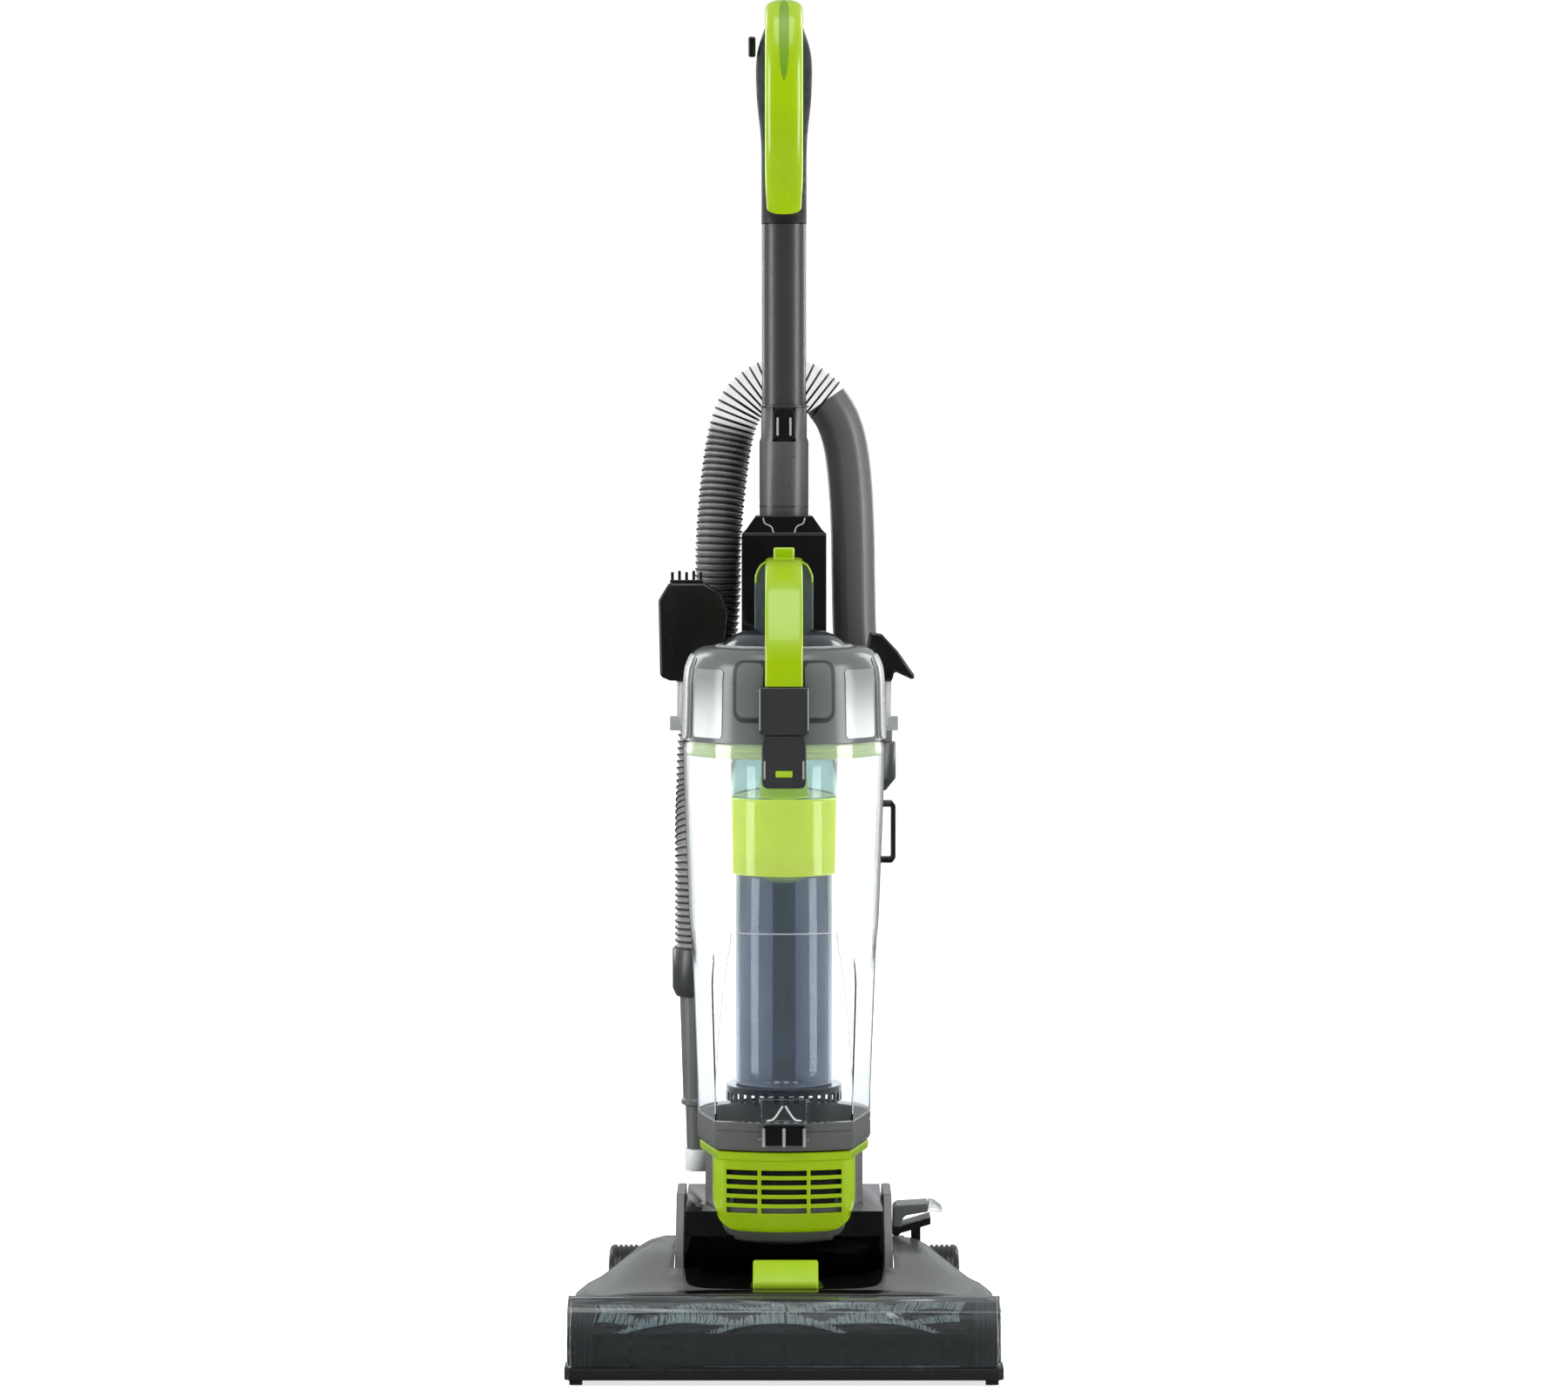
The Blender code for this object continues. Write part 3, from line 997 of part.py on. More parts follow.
def handle_loop():
    """Black rear grip and the lime front bar of the loop."""
    rear, front = loop_route()
    grip_rows = spline(rear, 3)
    grip = swept("handle_grip", [(0, row[0], row[1]) for row in grip_rows],
                 [row[2] for row in grip_rows], [row[3] for row in grip_rows], (1, 0, 0), 14, "black")
    rows = spline(front, 3)
    along = Vector((0, rows[1][0] - rows[0][0], rows[1][1] - rows[0][1])).normalized()
    points = [Vector((0, row[0], row[1])) for row in rows]
    points[0] = points[0] + along * GAP * 1.5
    swept("handle_front", points, [row[2] for row in rows], [row[3] for row in rows],
          (1, 0, 0), 14, "lime")
    grown = [Vector((0, row[0], row[1])) for row in rows]
    grown[0] = points[0] - along * GAP
    grown[-1] = grown[-1] + (grown[-1] - grown[-2]).normalized() * GAP
    room = swept("cut_front_bar_room", grown, [row[2] + GAP for row in rows],
                 [row[3] + GAP for row in rows], (1, 0, 0), 14)
    cut(grip, room)
    z = LOOP_BASE + 0.76 * LOOP_HEIGHT
    clip = box("cord_clip", (-0.0290, TUBE_Y + 0.0080, z), (-0.0232, TUBE_Y + 0.0200, z + 0.0160),
               "black")
    soften(clip, 0.0010, 1)


# ================================================================ hose
def hose_route():
    """Route of the stretch hose from the cuff up, over its hook and down to the socket."""
    x = HOSE_SIDE_X
    beside = SPINE_BACK + HOSE_RADIUS - 0.0150
    top = hose_top_z()
    return [(-x, TUBE_Y, CUFF_TOP + 0.0006), (-x, TUBE_Y + 0.001, BIN_TOP - 0.1000),
            (-x + 0.0005, beside - 0.006, BIN_TOP - 0.0500), (-x + 0.0030, beside, BIN_TOP + 0.0050),
            (-NECK_HALF - 0.0240, beside, SPINE_NECK_Z + 0.0350),
            (-NECK_HALF - 0.0200, beside + 0.0010, SPINE_BOX_TOP - 0.0500),
            (-NECK_HALF - 0.0190, HOSE_BACK_Y - 0.010, SPINE_BOX_TOP),
            (-0.0460, HOSE_BACK_Y - 0.001, LOWER_TUBE_TOP - 0.0350),
            (-0.0320, HOSE_BACK_Y, top - 0.0170), (0.0, HOSE_BACK_Y, top),
            (0.0340, HOSE_BACK_Y, top - 0.0170), (0.0510, HOSE_BACK_Y - 0.001, LOWER_TUBE_TOP - 0.0350),
            (NECK_HALF + 0.0220, HOSE_BACK_Y - 0.010, SPINE_BOX_TOP),
            (NECK_HALF + 0.0240, beside, SPINE_NECK_Z + 0.0450), (x - 0.0020, beside, BIN_TOP + 0.0250),
            (x + 0.0005, SOCKET_Y, SOCKET_TOP + 0.0140), (x + 0.0005, SOCKET_Y, SOCKET_TOP + 0.0022)]


CUFF_TOP = BIN_TOP - 0.1780
SOCKET_TOP = BIN_TOP - 0.0100
SOCKET_Y = SPINE_BACK - 0.0040
DUCT_TOP = SPINE_TOP + 0.0790


def hose():
    """Stretch hose up to the rigid duct, its cuff, the wand, the port and the duct's socket."""
    points = spline(hose_route(), 2)
    joint = max(i for i, point in enumerate(points) if point.z > DUCT_TOP)
    along = (points[joint + 1] - points[joint - 1]).normalized()
    soft = points[:joint] + [points[joint] - along * GAP]
    rigid = [points[joint] + along * GAP] + points[joint + 1:]
    swept("hose", soft, [HOSE_RADIUS] * len(soft), [HOSE_RADIUS] * len(soft), (0, 1, 0), 12,
          "hose", ends=(None, along))
    swept("hose_duct", rigid, [HOSE_RADIUS] * len(rigid), [HOSE_RADIUS] * len(rigid),
          (0, 1, 0), 12, "grey", ends=(along, None))
    x = -HOSE_SIDE_X
    centre = (x, TUBE_Y)
    r = HOSE_RADIUS
    cuff = [(0, CUFF_TOP), (r + 0.0020, CUFF_TOP), (r + 0.0020, CUFF_TOP - 0.0330),
            (r - 0.0010, CUFF_TOP - 0.0400), (0, CUFF_TOP - 0.0400)]
    turned("hose_cuff", cuff, "dark_grey", centre, sides=24)
    top = CUFF_TOP - 0.0400 - GAP
    low = PORT_TOP + GAP
    wand = [(0, top), (r - 0.0040, top), (0.0125, low + 0.0420), (0.0140, low + 0.0400),
            (0.0140, low + 0.0370), (0.0105, low + 0.0350), (0.0095, low), (0, low)]
    turned("wand", wand, "grey", centre, sides=24)
    port = turned("wand_port", [(0.0, PORT_TOP), (0.0110, PORT_TOP), (0.0110, PORT_TOP - 0.0180),
                                (0.0, PORT_TOP - 0.0180)], "white", centre, sides=24)
    arm = box("add_port_arm", (x, TUBE_Y - 0.0060, PORT_TOP - 0.0160),
              (-SPINE_HALF - GAP, TUBE_Y + 0.0060, PORT_TOP - 0.0040))
    fuse(port, arm)
    x = HOSE_SIDE_X + 0.0005
    y = SOCKET_Y
    socket = turned("hose_socket", [(0, SOCKET_TOP), (r + 0.0020, SOCKET_TOP),
                                    (r + 0.0020, SOCKET_TOP - 0.0300), (r - 0.0060, SOCKET_TOP - 0.0400),
                                    (0, SOCKET_TOP - 0.0400)], "dark_grey", (x, y), sides=24)
    elbow = box("add_socket_elbow", (SPINE_HALF + GAP, y - 0.0100, SOCKET_TOP - 0.0380),
                (x, y + 0.0060, SOCKET_TOP - 0.0080))
    fuse(socket, elbow)


PORT_TOP = PIVOT_Z + 0.0670


# ================================================================ tools on their posts
def dusting_brush():
    """Oval dusting brush with five bristle tufts, hung on the left post."""
    x = -TOOL_X
    y = TOOL_Y + 0.002
    z = SHELF_Z + 0.0403
    outline = [(-0.0210, 0.004), (-0.0130, -0.003 + 0.003), (0.0130, 0.0), (0.0240, 0.008),
               (0.0320, 0.030), (0.0350, 0.055), (0.0290, 0.072), (0.0150, 0.080),
               (-0.0140, 0.080), (-0.0225, 0.066)]
    body = prism("dusting_brush", [(x + u, z + v) for u, v in outline], "Y", y - 0.0100,
                 y + 0.0100, "black")
    bore = rod("cut_brush_bore", "Z", (x, y), 0.0060 + SLIP, z - 0.010, z + 0.0250, sides=20)
    room = rod("cut_brush_lid_room", "Z", (0, 0), BIN_RADIUS + 0.0020, z - 0.020, LID_TOP + 0.0010,
               sides=48)
    cut(body, bore, room)
    soften(body, 0.0025, 2)
    low = z + 0.0800 + GAP
    base = box("brush_tufts", (x - 0.0130, y - 0.0060, low), (x + 0.0140, y + 0.0060, low + 0.0020),
               "bristle")
    for i in range(5):
        u = x - 0.0110 + 0.0058 * i
        tuft = box("add_tuft_%d" % i, (u - 0.0012, y - 0.0050, low + 0.0010),
                   (u + 0.0012, y + 0.0050, low + 0.0085 + 0.0010 * (i % 2)))
        fuse(base, tuft)


def upholstery_nozzle():
    """Slanted black nozzle on the right post."""
    x = TOOL_X
    y = TOOL_Y + 0.002
    z = SHELF_Z + 0.0403
    outline = [(-0.0080, 0.000), (0.0080, 0.000), (0.0100, 0.0080), (0.0250, 0.0010),
               (0.0270, 0.0040), (0.0130, 0.0240), (0.0000, 0.0380), (-0.0100, 0.0400),
               (-0.0130, 0.0250)]
    body = prism("upholstery_nozzle", [(x + u, z + v) for u, v in outline], "Y", y - 0.0095,
                 y + 0.0095, "black")
    bore = rod("cut_nozzle_bore", "Z", (x, y), 0.0060 + SLIP, z - 0.010, z + 0.0230, sides=20)
    cut(body, bore)
    soften(body, 0.0015, 1)


def build():
    start_clean()
    sole_plate()
    head_cover()
    brush_window()
    front_bumper()
    brush_roll()
    brush_drive()
    wheels()
    pedals()
    pivot_cradle()
    motor_housing()
    front_grill()
    motor_parts()
    spine()
    lower_tube()
    for side_name, s in SIDES:
        tool_mount(side_name, s)
    cord_hooks()
    bin_shell()
    carry_handle()
    latch_arm()
    cyclone()
    bin_door()
    upper_tube()
    handle_loop()
    hose()
    dusting_brush()
    upholstery_nozzle()


build()
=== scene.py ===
# %% [markdown]
# # Looks for an upright bagless vacuum cleaner
#
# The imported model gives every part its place, so this lesson adds only what the eye
# sees: finishes, ribs, bristles, mouldings and light. Each piece is made in the model's
# own coordinates, in metres, with the floor at z = 0 and the front towards -Y.

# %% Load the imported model
import json
import math

import bmesh
import bpy
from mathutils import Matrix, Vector


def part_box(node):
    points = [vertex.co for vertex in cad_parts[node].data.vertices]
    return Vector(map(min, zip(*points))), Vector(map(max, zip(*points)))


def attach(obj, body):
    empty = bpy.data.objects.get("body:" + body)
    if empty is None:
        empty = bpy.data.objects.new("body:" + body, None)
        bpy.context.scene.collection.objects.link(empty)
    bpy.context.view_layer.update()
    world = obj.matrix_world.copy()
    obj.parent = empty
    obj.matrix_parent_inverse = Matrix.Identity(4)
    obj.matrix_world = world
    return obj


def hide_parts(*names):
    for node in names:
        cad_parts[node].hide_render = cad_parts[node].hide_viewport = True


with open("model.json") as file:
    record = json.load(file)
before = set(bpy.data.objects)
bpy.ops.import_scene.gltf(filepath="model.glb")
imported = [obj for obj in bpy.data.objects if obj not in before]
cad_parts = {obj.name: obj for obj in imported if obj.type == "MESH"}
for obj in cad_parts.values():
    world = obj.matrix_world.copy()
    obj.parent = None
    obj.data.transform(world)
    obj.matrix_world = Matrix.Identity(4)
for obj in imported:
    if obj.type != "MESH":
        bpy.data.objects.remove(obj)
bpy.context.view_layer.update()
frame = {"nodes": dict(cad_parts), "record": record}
MM = 0.001

# %% [markdown]
# ## Camera
#
# A product picture of a tall, thin object is taken with a long lens from some way off,
# so that its sides stay nearly parallel. The camera stands a little above the middle
# and looks down very slightly.

# %% Place the camera
CAMERA_HEIGHT = 0.750
CAMERA_DISTANCE = 4.0
TARGET_HEIGHT = 0.5262
LENS = 115.16      # focal length in mm, on a sensor 36 mm wide

camera_data = bpy.data.cameras.new("camera")
camera_data.sensor_width = 36
camera_data.lens = LENS
camera_data.clip_end = 100
camera = bpy.data.objects.new("camera", camera_data)
bpy.context.scene.collection.objects.link(camera)
camera.location = (0.0, -CAMERA_DISTANCE, CAMERA_HEIGHT)
aim = Vector((0.0, 0.0, TARGET_HEIGHT)) - camera.location
camera.rotation_euler = aim.to_track_quat("-Z", "Y").to_euler()
bpy.context.scene.camera = camera
print("lens in mm:", round(camera_data.lens, 1))

# %% [markdown]
# ## Helpers for meshes
#
# Most shapes here are rings of points joined by a skin: a turned shape has the same ring
# at every angle, and a bar follows a path. One function joins the rings and the others
# only work out where the points are.

# %% Join rings of points
def piece_from(name, vertices, faces, smooth=True):
    """A mesh object at the origin, with merged doubles and outward faces."""
    mesh = bpy.data.meshes.new(name)
    mesh.from_pydata(vertices, [], faces)
    bm = bmesh.new()
    bm.from_mesh(mesh)
    bmesh.ops.remove_doubles(bm, verts=bm.verts, dist=0.001 * MM)
    bmesh.ops.recalc_face_normals(bm, faces=bm.faces)
    for face in bm.faces:
        face.smooth = smooth
    bm.to_mesh(mesh)
    bm.free()
    piece = bpy.data.objects.new(name, mesh)
    bpy.context.scene.collection.objects.link(piece)
    return piece


def skinned(name, rings, closed=False, smooth=True):
    """Skin equal rings; the ends are capped unless the row of rings closes on itself."""
    size = len(rings[0])
    vertices = [point for ring in rings for point in ring]
    faces = []
    for i in range(len(rings) if closed else len(rings) - 1):
        a = i * size
        b = (i + 1) % len(rings) * size
        for k in range(size):
            n = (k + 1) % size
            faces.append((a + k, a + n, b + n, b + k))
    if not closed:
        faces.append(tuple(range(size)))
        faces.append(tuple(range((len(rings) - 1) * size, len(rings) * size)))
    return piece_from(name, vertices, faces, smooth)


def sharpen(piece, degrees=35):
    """Smooth shading that breaks at edges sharper than the angle."""
    piece.data.set_sharp_from_angle(angle=math.radians(degrees))
    return piece


def finished(piece):
    """Apply the live modifiers, so that only a plain mesh is left."""
    graph = bpy.context.evaluated_depsgraph_get()
    mesh = bpy.data.meshes.new_from_object(piece.evaluated_get(graph))
    piece.modifiers.clear()
    piece.data = mesh
    return piece


def rounded(piece, width, segments=3, degrees=32):
    """Round the sharp edges, as a mould does."""
    bevel = piece.modifiers.new("mould_radius", "BEVEL")
    bevel.width = width
    bevel.segments = segments
    bevel.limit_method = "ANGLE"
    bevel.angle_limit = math.radians(degrees)
    bevel.harden_normals = True
    return finished(piece)


# %% [markdown]
# A turned part is described by its profile: pairs of a radius and a height. The bin and
# the motor housing are not quite round. They have a shallow front face that ends in two
# corners, flat flanks behind those, and a round back, and this section fades back to a
# circle half way up the clear wall.

# %% Turned shapes and the faced section
wall_low, wall_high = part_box("bin_wall")
BIN_RADIUS = wall_high.y
FACE_FRONT = 0.945                # reach of the front face, as a share of the radius
FACE_CORNER = 1.095               # reach of the two corners
CORNER_TURN = math.radians(45)    # how far round each corner lies from the front
FACE_TILT = math.radians(13)      # how far the flanks lean away from straight back
FLANK_END = math.radians(80)      # where a flank meets the round back
FACE_FULL = wall_low.z + 105 * MM
FACE_GONE = wall_low.z + 160 * MM
SIDES = (("left", -1), ("right", 1))


def ease(value, low, high):
    """A smooth step from 0 at low to 1 at high."""
    t = min(max((value - low) / (high - low), 0.0), 1.0)
    return t * t * (3 - 2 * t)


def round_section(angle, height):
    """A plain circle: the outline reaches its radius at every angle."""
    return 1.0


def faced_section(angle, height):
    """How far the bin's outline reaches at an angle, as a share of its round radius."""
    turn = abs(math.atan2(-math.cos(angle), -math.sin(angle)))
    bulge = (FACE_CORNER ** 2 - FACE_FRONT ** 2) / (2 * FACE_FRONT - FACE_CORNER * math.sqrt(2))
    if turn <= CORNER_TURN:
        reach = -bulge * math.cos(turn) + math.sqrt(
            (FACE_FRONT + bulge) ** 2 - (bulge * math.sin(turn)) ** 2)
    else:
        flank = FACE_CORNER * math.cos(CORNER_TURN - FACE_TILT)
        reach = flank / max(math.cos(math.pi / 2 - turn - FACE_TILT), 0.1)
        if turn > FLANK_END:
            reach = min(reach, 1.0)
    return reach + (1.0 - reach) * ease(height, FACE_FULL, FACE_GONE)


def turned(name, profile, sides=96, centre=(0.0, 0.0), section=round_section, crease=35):
    """A closed profile of (radius, height) carried round the upright axis."""
    rings = []
    for i in range(sides):
        angle = 2 * math.pi * (i + 0.5) / sides
        if section is faced_section:
            angle = 2 * math.pi * i / sides
        ring = []
        for radius, height in profile:
            reach = radius * section(angle, height)
            ring.append((centre[0] + reach * math.cos(angle),
                         centre[1] + reach * math.sin(angle), height))
        rings.append(ring)
    return sharpen(skinned(name, rings, closed=True), crease)


def spline(values, steps):
    """A smooth run through tuples of numbers, each span cut into equal steps."""
    rows = [Vector(value) for value in values]
    ends = [rows[0] * 2 - rows[1]] + rows + [rows[-1] * 2 - rows[-2]]
    result = []
    for i in range(1, len(ends) - 2):
        p0, p1, p2, p3 = ends[i - 1], ends[i], ends[i + 1], ends[i + 2]
        for k in range(steps):
            t = k / steps
            curve = (p1 * 2 + (p2 - p0) * t + (p0 * 2 - p1 * 5 + p2 * 4 - p3) * t * t
                     + (p1 * 3 - p0 - p2 * 3 + p3) * t * t * t)
            result.append(curve / 2)
    result.append(rows[-1])
    return result


def swept(name, centres, outlines, reference, crease=35):
    """A bar along a path. Each outline is a ring of (across, deep) offsets at its centre."""
    reference = Vector(reference)
    rings = []
    for i, centre in enumerate(centres):
        along = Vector(centres[min(i + 1, len(centres) - 1)]) - Vector(centres[max(i - 1, 0)])
        deep = along.normalized().cross(reference).normalized()
        across = deep.cross(along).normalized()
        rings.append([tuple(Vector(centre) + across * a + deep * d) for a, d in outlines[i]])
    return sharpen(skinned(name, rings), crease)


def oval(half_width, half_depth, sides=28, fullness=2.0):
    """A ring of offsets; a fullness over 2 makes it squarer."""
    ring = []
    for k in range(sides):
        c, s = math.cos(2 * math.pi * k / sides), math.sin(2 * math.pi * k / sides)
        power = 2 / fullness
        ring.append((half_width * math.copysign(abs(c) ** power, c),
                     half_depth * math.copysign(abs(s) ** power, s)))
    return ring


print("bin radius in mm:", round(BIN_RADIUS / MM, 1), "corner reach:",
      round(faced_section(-math.pi / 2 + CORNER_TURN, wall_low.z), 3))


# %% [markdown]
# ## Floor and light
#
# Glossy plastic is only as good as what it mirrors. Two tall soft boxes at the sides lay
# the long bright stripes on the tubes and the bin, a wide one above opens the tops, and
# the world is pale at the horizon and darker behind the camera, which gives the tubes
# their darker middle. The floor and the background are plain white.

# %% Floor and world
FLOOR_GLOW = 0.70       # the sweep is lit from below, as a light table is, so it stays white
FLOOR_RADIUS = 40.0
FLOOR_CORNERS = 64
WORLD_LIGHT = 0.62
DARK_LIGHT = 0.10       # the world's light from behind the camera
REAR_OF_FLOOR = -0.16   # the floor glows through clear plastic only behind this line


def hex_colour(code):
    """An sRGB hex value as linear red, green, blue and alpha."""
    channels = [int(code[i:i + 2], 16) / 255 for i in (0, 2, 4)]
    return tuple(c / 12.92 if c <= 0.04045 else ((c + 0.055) / 1.055) ** 2.4
                 for c in channels) + (1.0,)


def add(tree, kind, inputs=None, **settings):
    """Add a node, set its properties, and fill or link its inputs."""
    made = tree.nodes.new(kind)
    for name, value in settings.items():
        setattr(made, name, value)
    for name, value in (inputs or {}).items():
        if isinstance(value, bpy.types.NodeSocket):
            tree.links.new(value, made.inputs[name])
        else:
            made.inputs[name].default_value = value
    return made


def seen_or_through(tree, depth, start):
    """1 for what the eye sees directly, or through clear plastic if it lies behind a line."""
    path = add(tree, "ShaderNodeLightPath")
    rear = add(tree, "ShaderNodeMath", {0: depth, 1: start}, operation="GREATER_THAN")
    through = add(tree, "ShaderNodeMath", {0: path.outputs["Is Transmission Ray"],
                  1: rear.outputs["Value"]}, operation="MULTIPLY")
    direct = add(tree, "ShaderNodeMath", {0: path.outputs["Is Camera Ray"],
                 1: through.outputs["Value"]}, operation="MAXIMUM")
    return direct.outputs["Value"]


def blank_material(name):
    """A material with only a Principled shader, and its tree and shader."""
    material = bpy.data.materials.new(name)
    material.use_nodes = True
    tree = material.node_tree
    return material, tree, tree.nodes["Principled BSDF"]


def studio_floor():
    """A very wide white disc under the object, painted dark grey in glossy reflections."""
    count = FLOOR_CORNERS
    angles = [2 * math.pi * k / count for k in range(count)]
    vertices = [(r * math.cos(a), r * math.sin(a), -0.2 * MM)
                for r in (0.01, FLOOR_RADIUS) for a in angles]
    faces = [tuple(range(count))]
    faces += [(k, (k + 1) % count, count + (k + 1) % count, count + k) for k in range(count)]
    floor = piece_from("studio_floor", vertices, faces)
    if floor.data.polygons[0].normal.z < 0:
        floor.data.flip_normals()
    material, tree, shader = blank_material("white_painted_board")
    coordinates = add(tree, "ShaderNodeTexCoord")
    grain = add(tree, "ShaderNodeTexNoise",
                {"Vector": coordinates.outputs["Object"], "Scale": 3.0, "Detail": 2.0})
    tone = add(tree, "ShaderNodeMix", {"Factor": grain.outputs["Fac"],
               "A": hex_colour("FBFBFB"), "B": hex_colour("FFFFFF")}, data_type="RGBA")
    path = add(tree, "ShaderNodeLightPath")
    # Painted reflection: in glossy rays the floor's colour turns dark grey, so glossy parts mirror a
    # painted dark floor on their undersides.
    seen = add(tree, "ShaderNodeMix", {"Factor": path.outputs["Is Glossy Ray"],
               "A": tone.outputs["Result"], "B": hex_colour("505356")}, data_type="RGBA")
    places = add(tree, "ShaderNodeSeparateXYZ", {"Vector": coordinates.outputs["Object"]})
    direct = seen_or_through(tree, places.outputs["Y"], REAR_OF_FLOOR)
    glow = add(tree, "ShaderNodeMath", {0: direct, 1: FLOOR_GLOW}, operation="MULTIPLY")
    tree.links.new(seen.outputs["Result"], shader.inputs["Base Color"])
    tree.links.new(glow.outputs["Value"], shader.inputs["Emission Strength"])
    shader.inputs["Roughness"].default_value = 0.9
    shader.inputs["Specular IOR Level"].default_value = 0.1
    shader.inputs["Emission Color"].default_value = hex_colour("FFFFFF")
    floor.data.materials.append(material)
    return floor


def studio_world():
    """White to the eye, but as light it is darker behind the camera and overhead."""
    world = bpy.data.worlds.new("studio_world")
    world.use_nodes = True
    bpy.context.scene.world = world
    tree = world.node_tree
    tree.nodes.clear()
    coordinates = add(tree, "ShaderNodeTexCoord")
    axes = add(tree, "ShaderNodeSeparateXYZ", {"Vector": coordinates.outputs["Generated"]})
    behind = add(tree, "ShaderNodeMapRange", {"Value": axes.outputs["Y"], "From Min": -0.97,
                 "From Max": -0.35, "To Min": DARK_LIGHT, "To Max": WORLD_LIGHT},
                 interpolation_type="SMOOTHSTEP")
    lit = add(tree, "ShaderNodeBackground", {"Color": hex_colour("F4F7FA"),
              "Strength": behind.outputs["Result"]})
    seen = add(tree, "ShaderNodeBackground", {"Color": hex_colour("FFFFFF"), "Strength": 1.0})
    choice = add(tree, "ShaderNodeMixShader", {0: seen_or_through(tree, axes.outputs["Y"], 0.0),
                 1: lit.outputs["Background"], 2: seen.outputs["Background"]})
    add(tree, "ShaderNodeOutputWorld", {"Surface": choice.outputs["Shader"]})


def soft_box(name, place, size, power, aim_at=(0.0, 0.0, 0.55)):
    """A rectangular area light turned towards the object."""
    data = bpy.data.lights.new(name, "AREA")
    data.shape = "RECTANGLE"
    data.size, data.size_y = size
    data.energy = power
    lamp = bpy.data.objects.new(name, data)
    bpy.context.scene.collection.objects.link(lamp)
    lamp.location = place
    lamp.rotation_euler = (Vector(aim_at) - Vector(place)).to_track_quat("-Z", "Y").to_euler()
    return lamp


SOFT_BOXES = [  # name, place, size in metres, power in watts
    ("left", (-2.0, -0.60, 0.75), (0.8, 2.0), 27),
    ("right", (2.0, -0.60, 0.75), (0.8, 2.0), 27),
    ("top", (0.0, -0.6, 2.6), (1.6, 1.6), 20),
    ("back_left", (-1.6, 1.9, 1.2), (0.8, 1.8), 16),
    ("back_right", (1.6, 1.9, 1.2), (0.8, 1.8), 16),
]
studio_floor()
studio_world()
for name, place, size, power in SOFT_BOXES:
    soft_box("soft_box_" + name, place, size, power)
bpy.context.scene.view_settings.view_transform = "Standard"

# %% [markdown]
# ## Finishes
#
# Nearly everything here is injection-moulded plastic. A mould gives each part its own
# skin: a fine spark-eroded grain on the satin greys, a polished face on the lime and clear
# parts, and faint flow marks that shift the tone over a few centimetres. Each finish
# starts from the plastic's usual refraction (about 1.5 for ABS and polypropylene, 1.58
# for polycarbonate) and its colour and gloss are then matched to the real part.

# %% Moulded plastics
ABS_IOR = 1.53
POLYCARBONATE_IOR = 1.58
GRAIN_MM = 0.9       # real spark grain is about 0.1 mm; it is drawn coarser so that it shows
FLOW_MM = 38.0       # how far apart flow marks lie


def moulded(name, colour, shade, roughness, grain=0.25, coat=0.0, seed=0.0):
    """Opaque moulded plastic: two tones of flow marks, uneven gloss and a fine grain."""
    material, tree, shader = blank_material(name)
    coordinates = add(tree, "ShaderNodeTexCoord")
    place = add(tree, "ShaderNodeMapping", {"Vector": coordinates.outputs["Object"],
                "Location": (seed, seed * 0.7, -seed)})
    flow = add(tree, "ShaderNodeTexNoise", {"Vector": place.outputs["Vector"],
               "Scale": 1000 / FLOW_MM, "Detail": 3.0, "Roughness": 0.45, "Distortion": 0.6})
    tone = add(tree, "ShaderNodeMix", {"Factor": flow.outputs["Fac"], "A": hex_colour(colour),
               "B": hex_colour(shade)}, data_type="RGBA")
    scuff = add(tree, "ShaderNodeTexNoise", {"Vector": place.outputs["Vector"],
                "Scale": 180.0, "Detail": 4.0, "Roughness": 0.65})
    gloss = add(tree, "ShaderNodeMapRange", {"Value": scuff.outputs["Fac"], "From Min": 0.3,
                "From Max": 0.7, "To Min": roughness * 0.82, "To Max": roughness * 1.22})
    spark = add(tree, "ShaderNodeTexNoise", {"Vector": place.outputs["Vector"],
                "Scale": 1000 / GRAIN_MM, "Detail": 2.0, "Roughness": 0.6})
    bump = add(tree, "ShaderNodeBump", {"Height": spark.outputs["Fac"], "Strength": grain,
               "Distance": 0.12 * MM})
    tree.links.new(tone.outputs["Result"], shader.inputs["Base Color"])
    tree.links.new(gloss.outputs["Result"], shader.inputs["Roughness"])
    tree.links.new(bump.outputs["Normal"], shader.inputs["Normal"])
    shader.inputs["IOR"].default_value = ABS_IOR
    shader.inputs["Coat Weight"].default_value = coat
    shader.inputs["Coat Roughness"].default_value = 0.06
    return material


def lit_inside(material, colour, strength):
    """Stand in for light that scatters inside a part behind clear plastic."""
    shader = material.node_tree.nodes["Principled BSDF"]
    shader.inputs["Emission Color"].default_value = hex_colour(colour)
    shader.inputs["Emission Strength"].default_value = strength
    return material


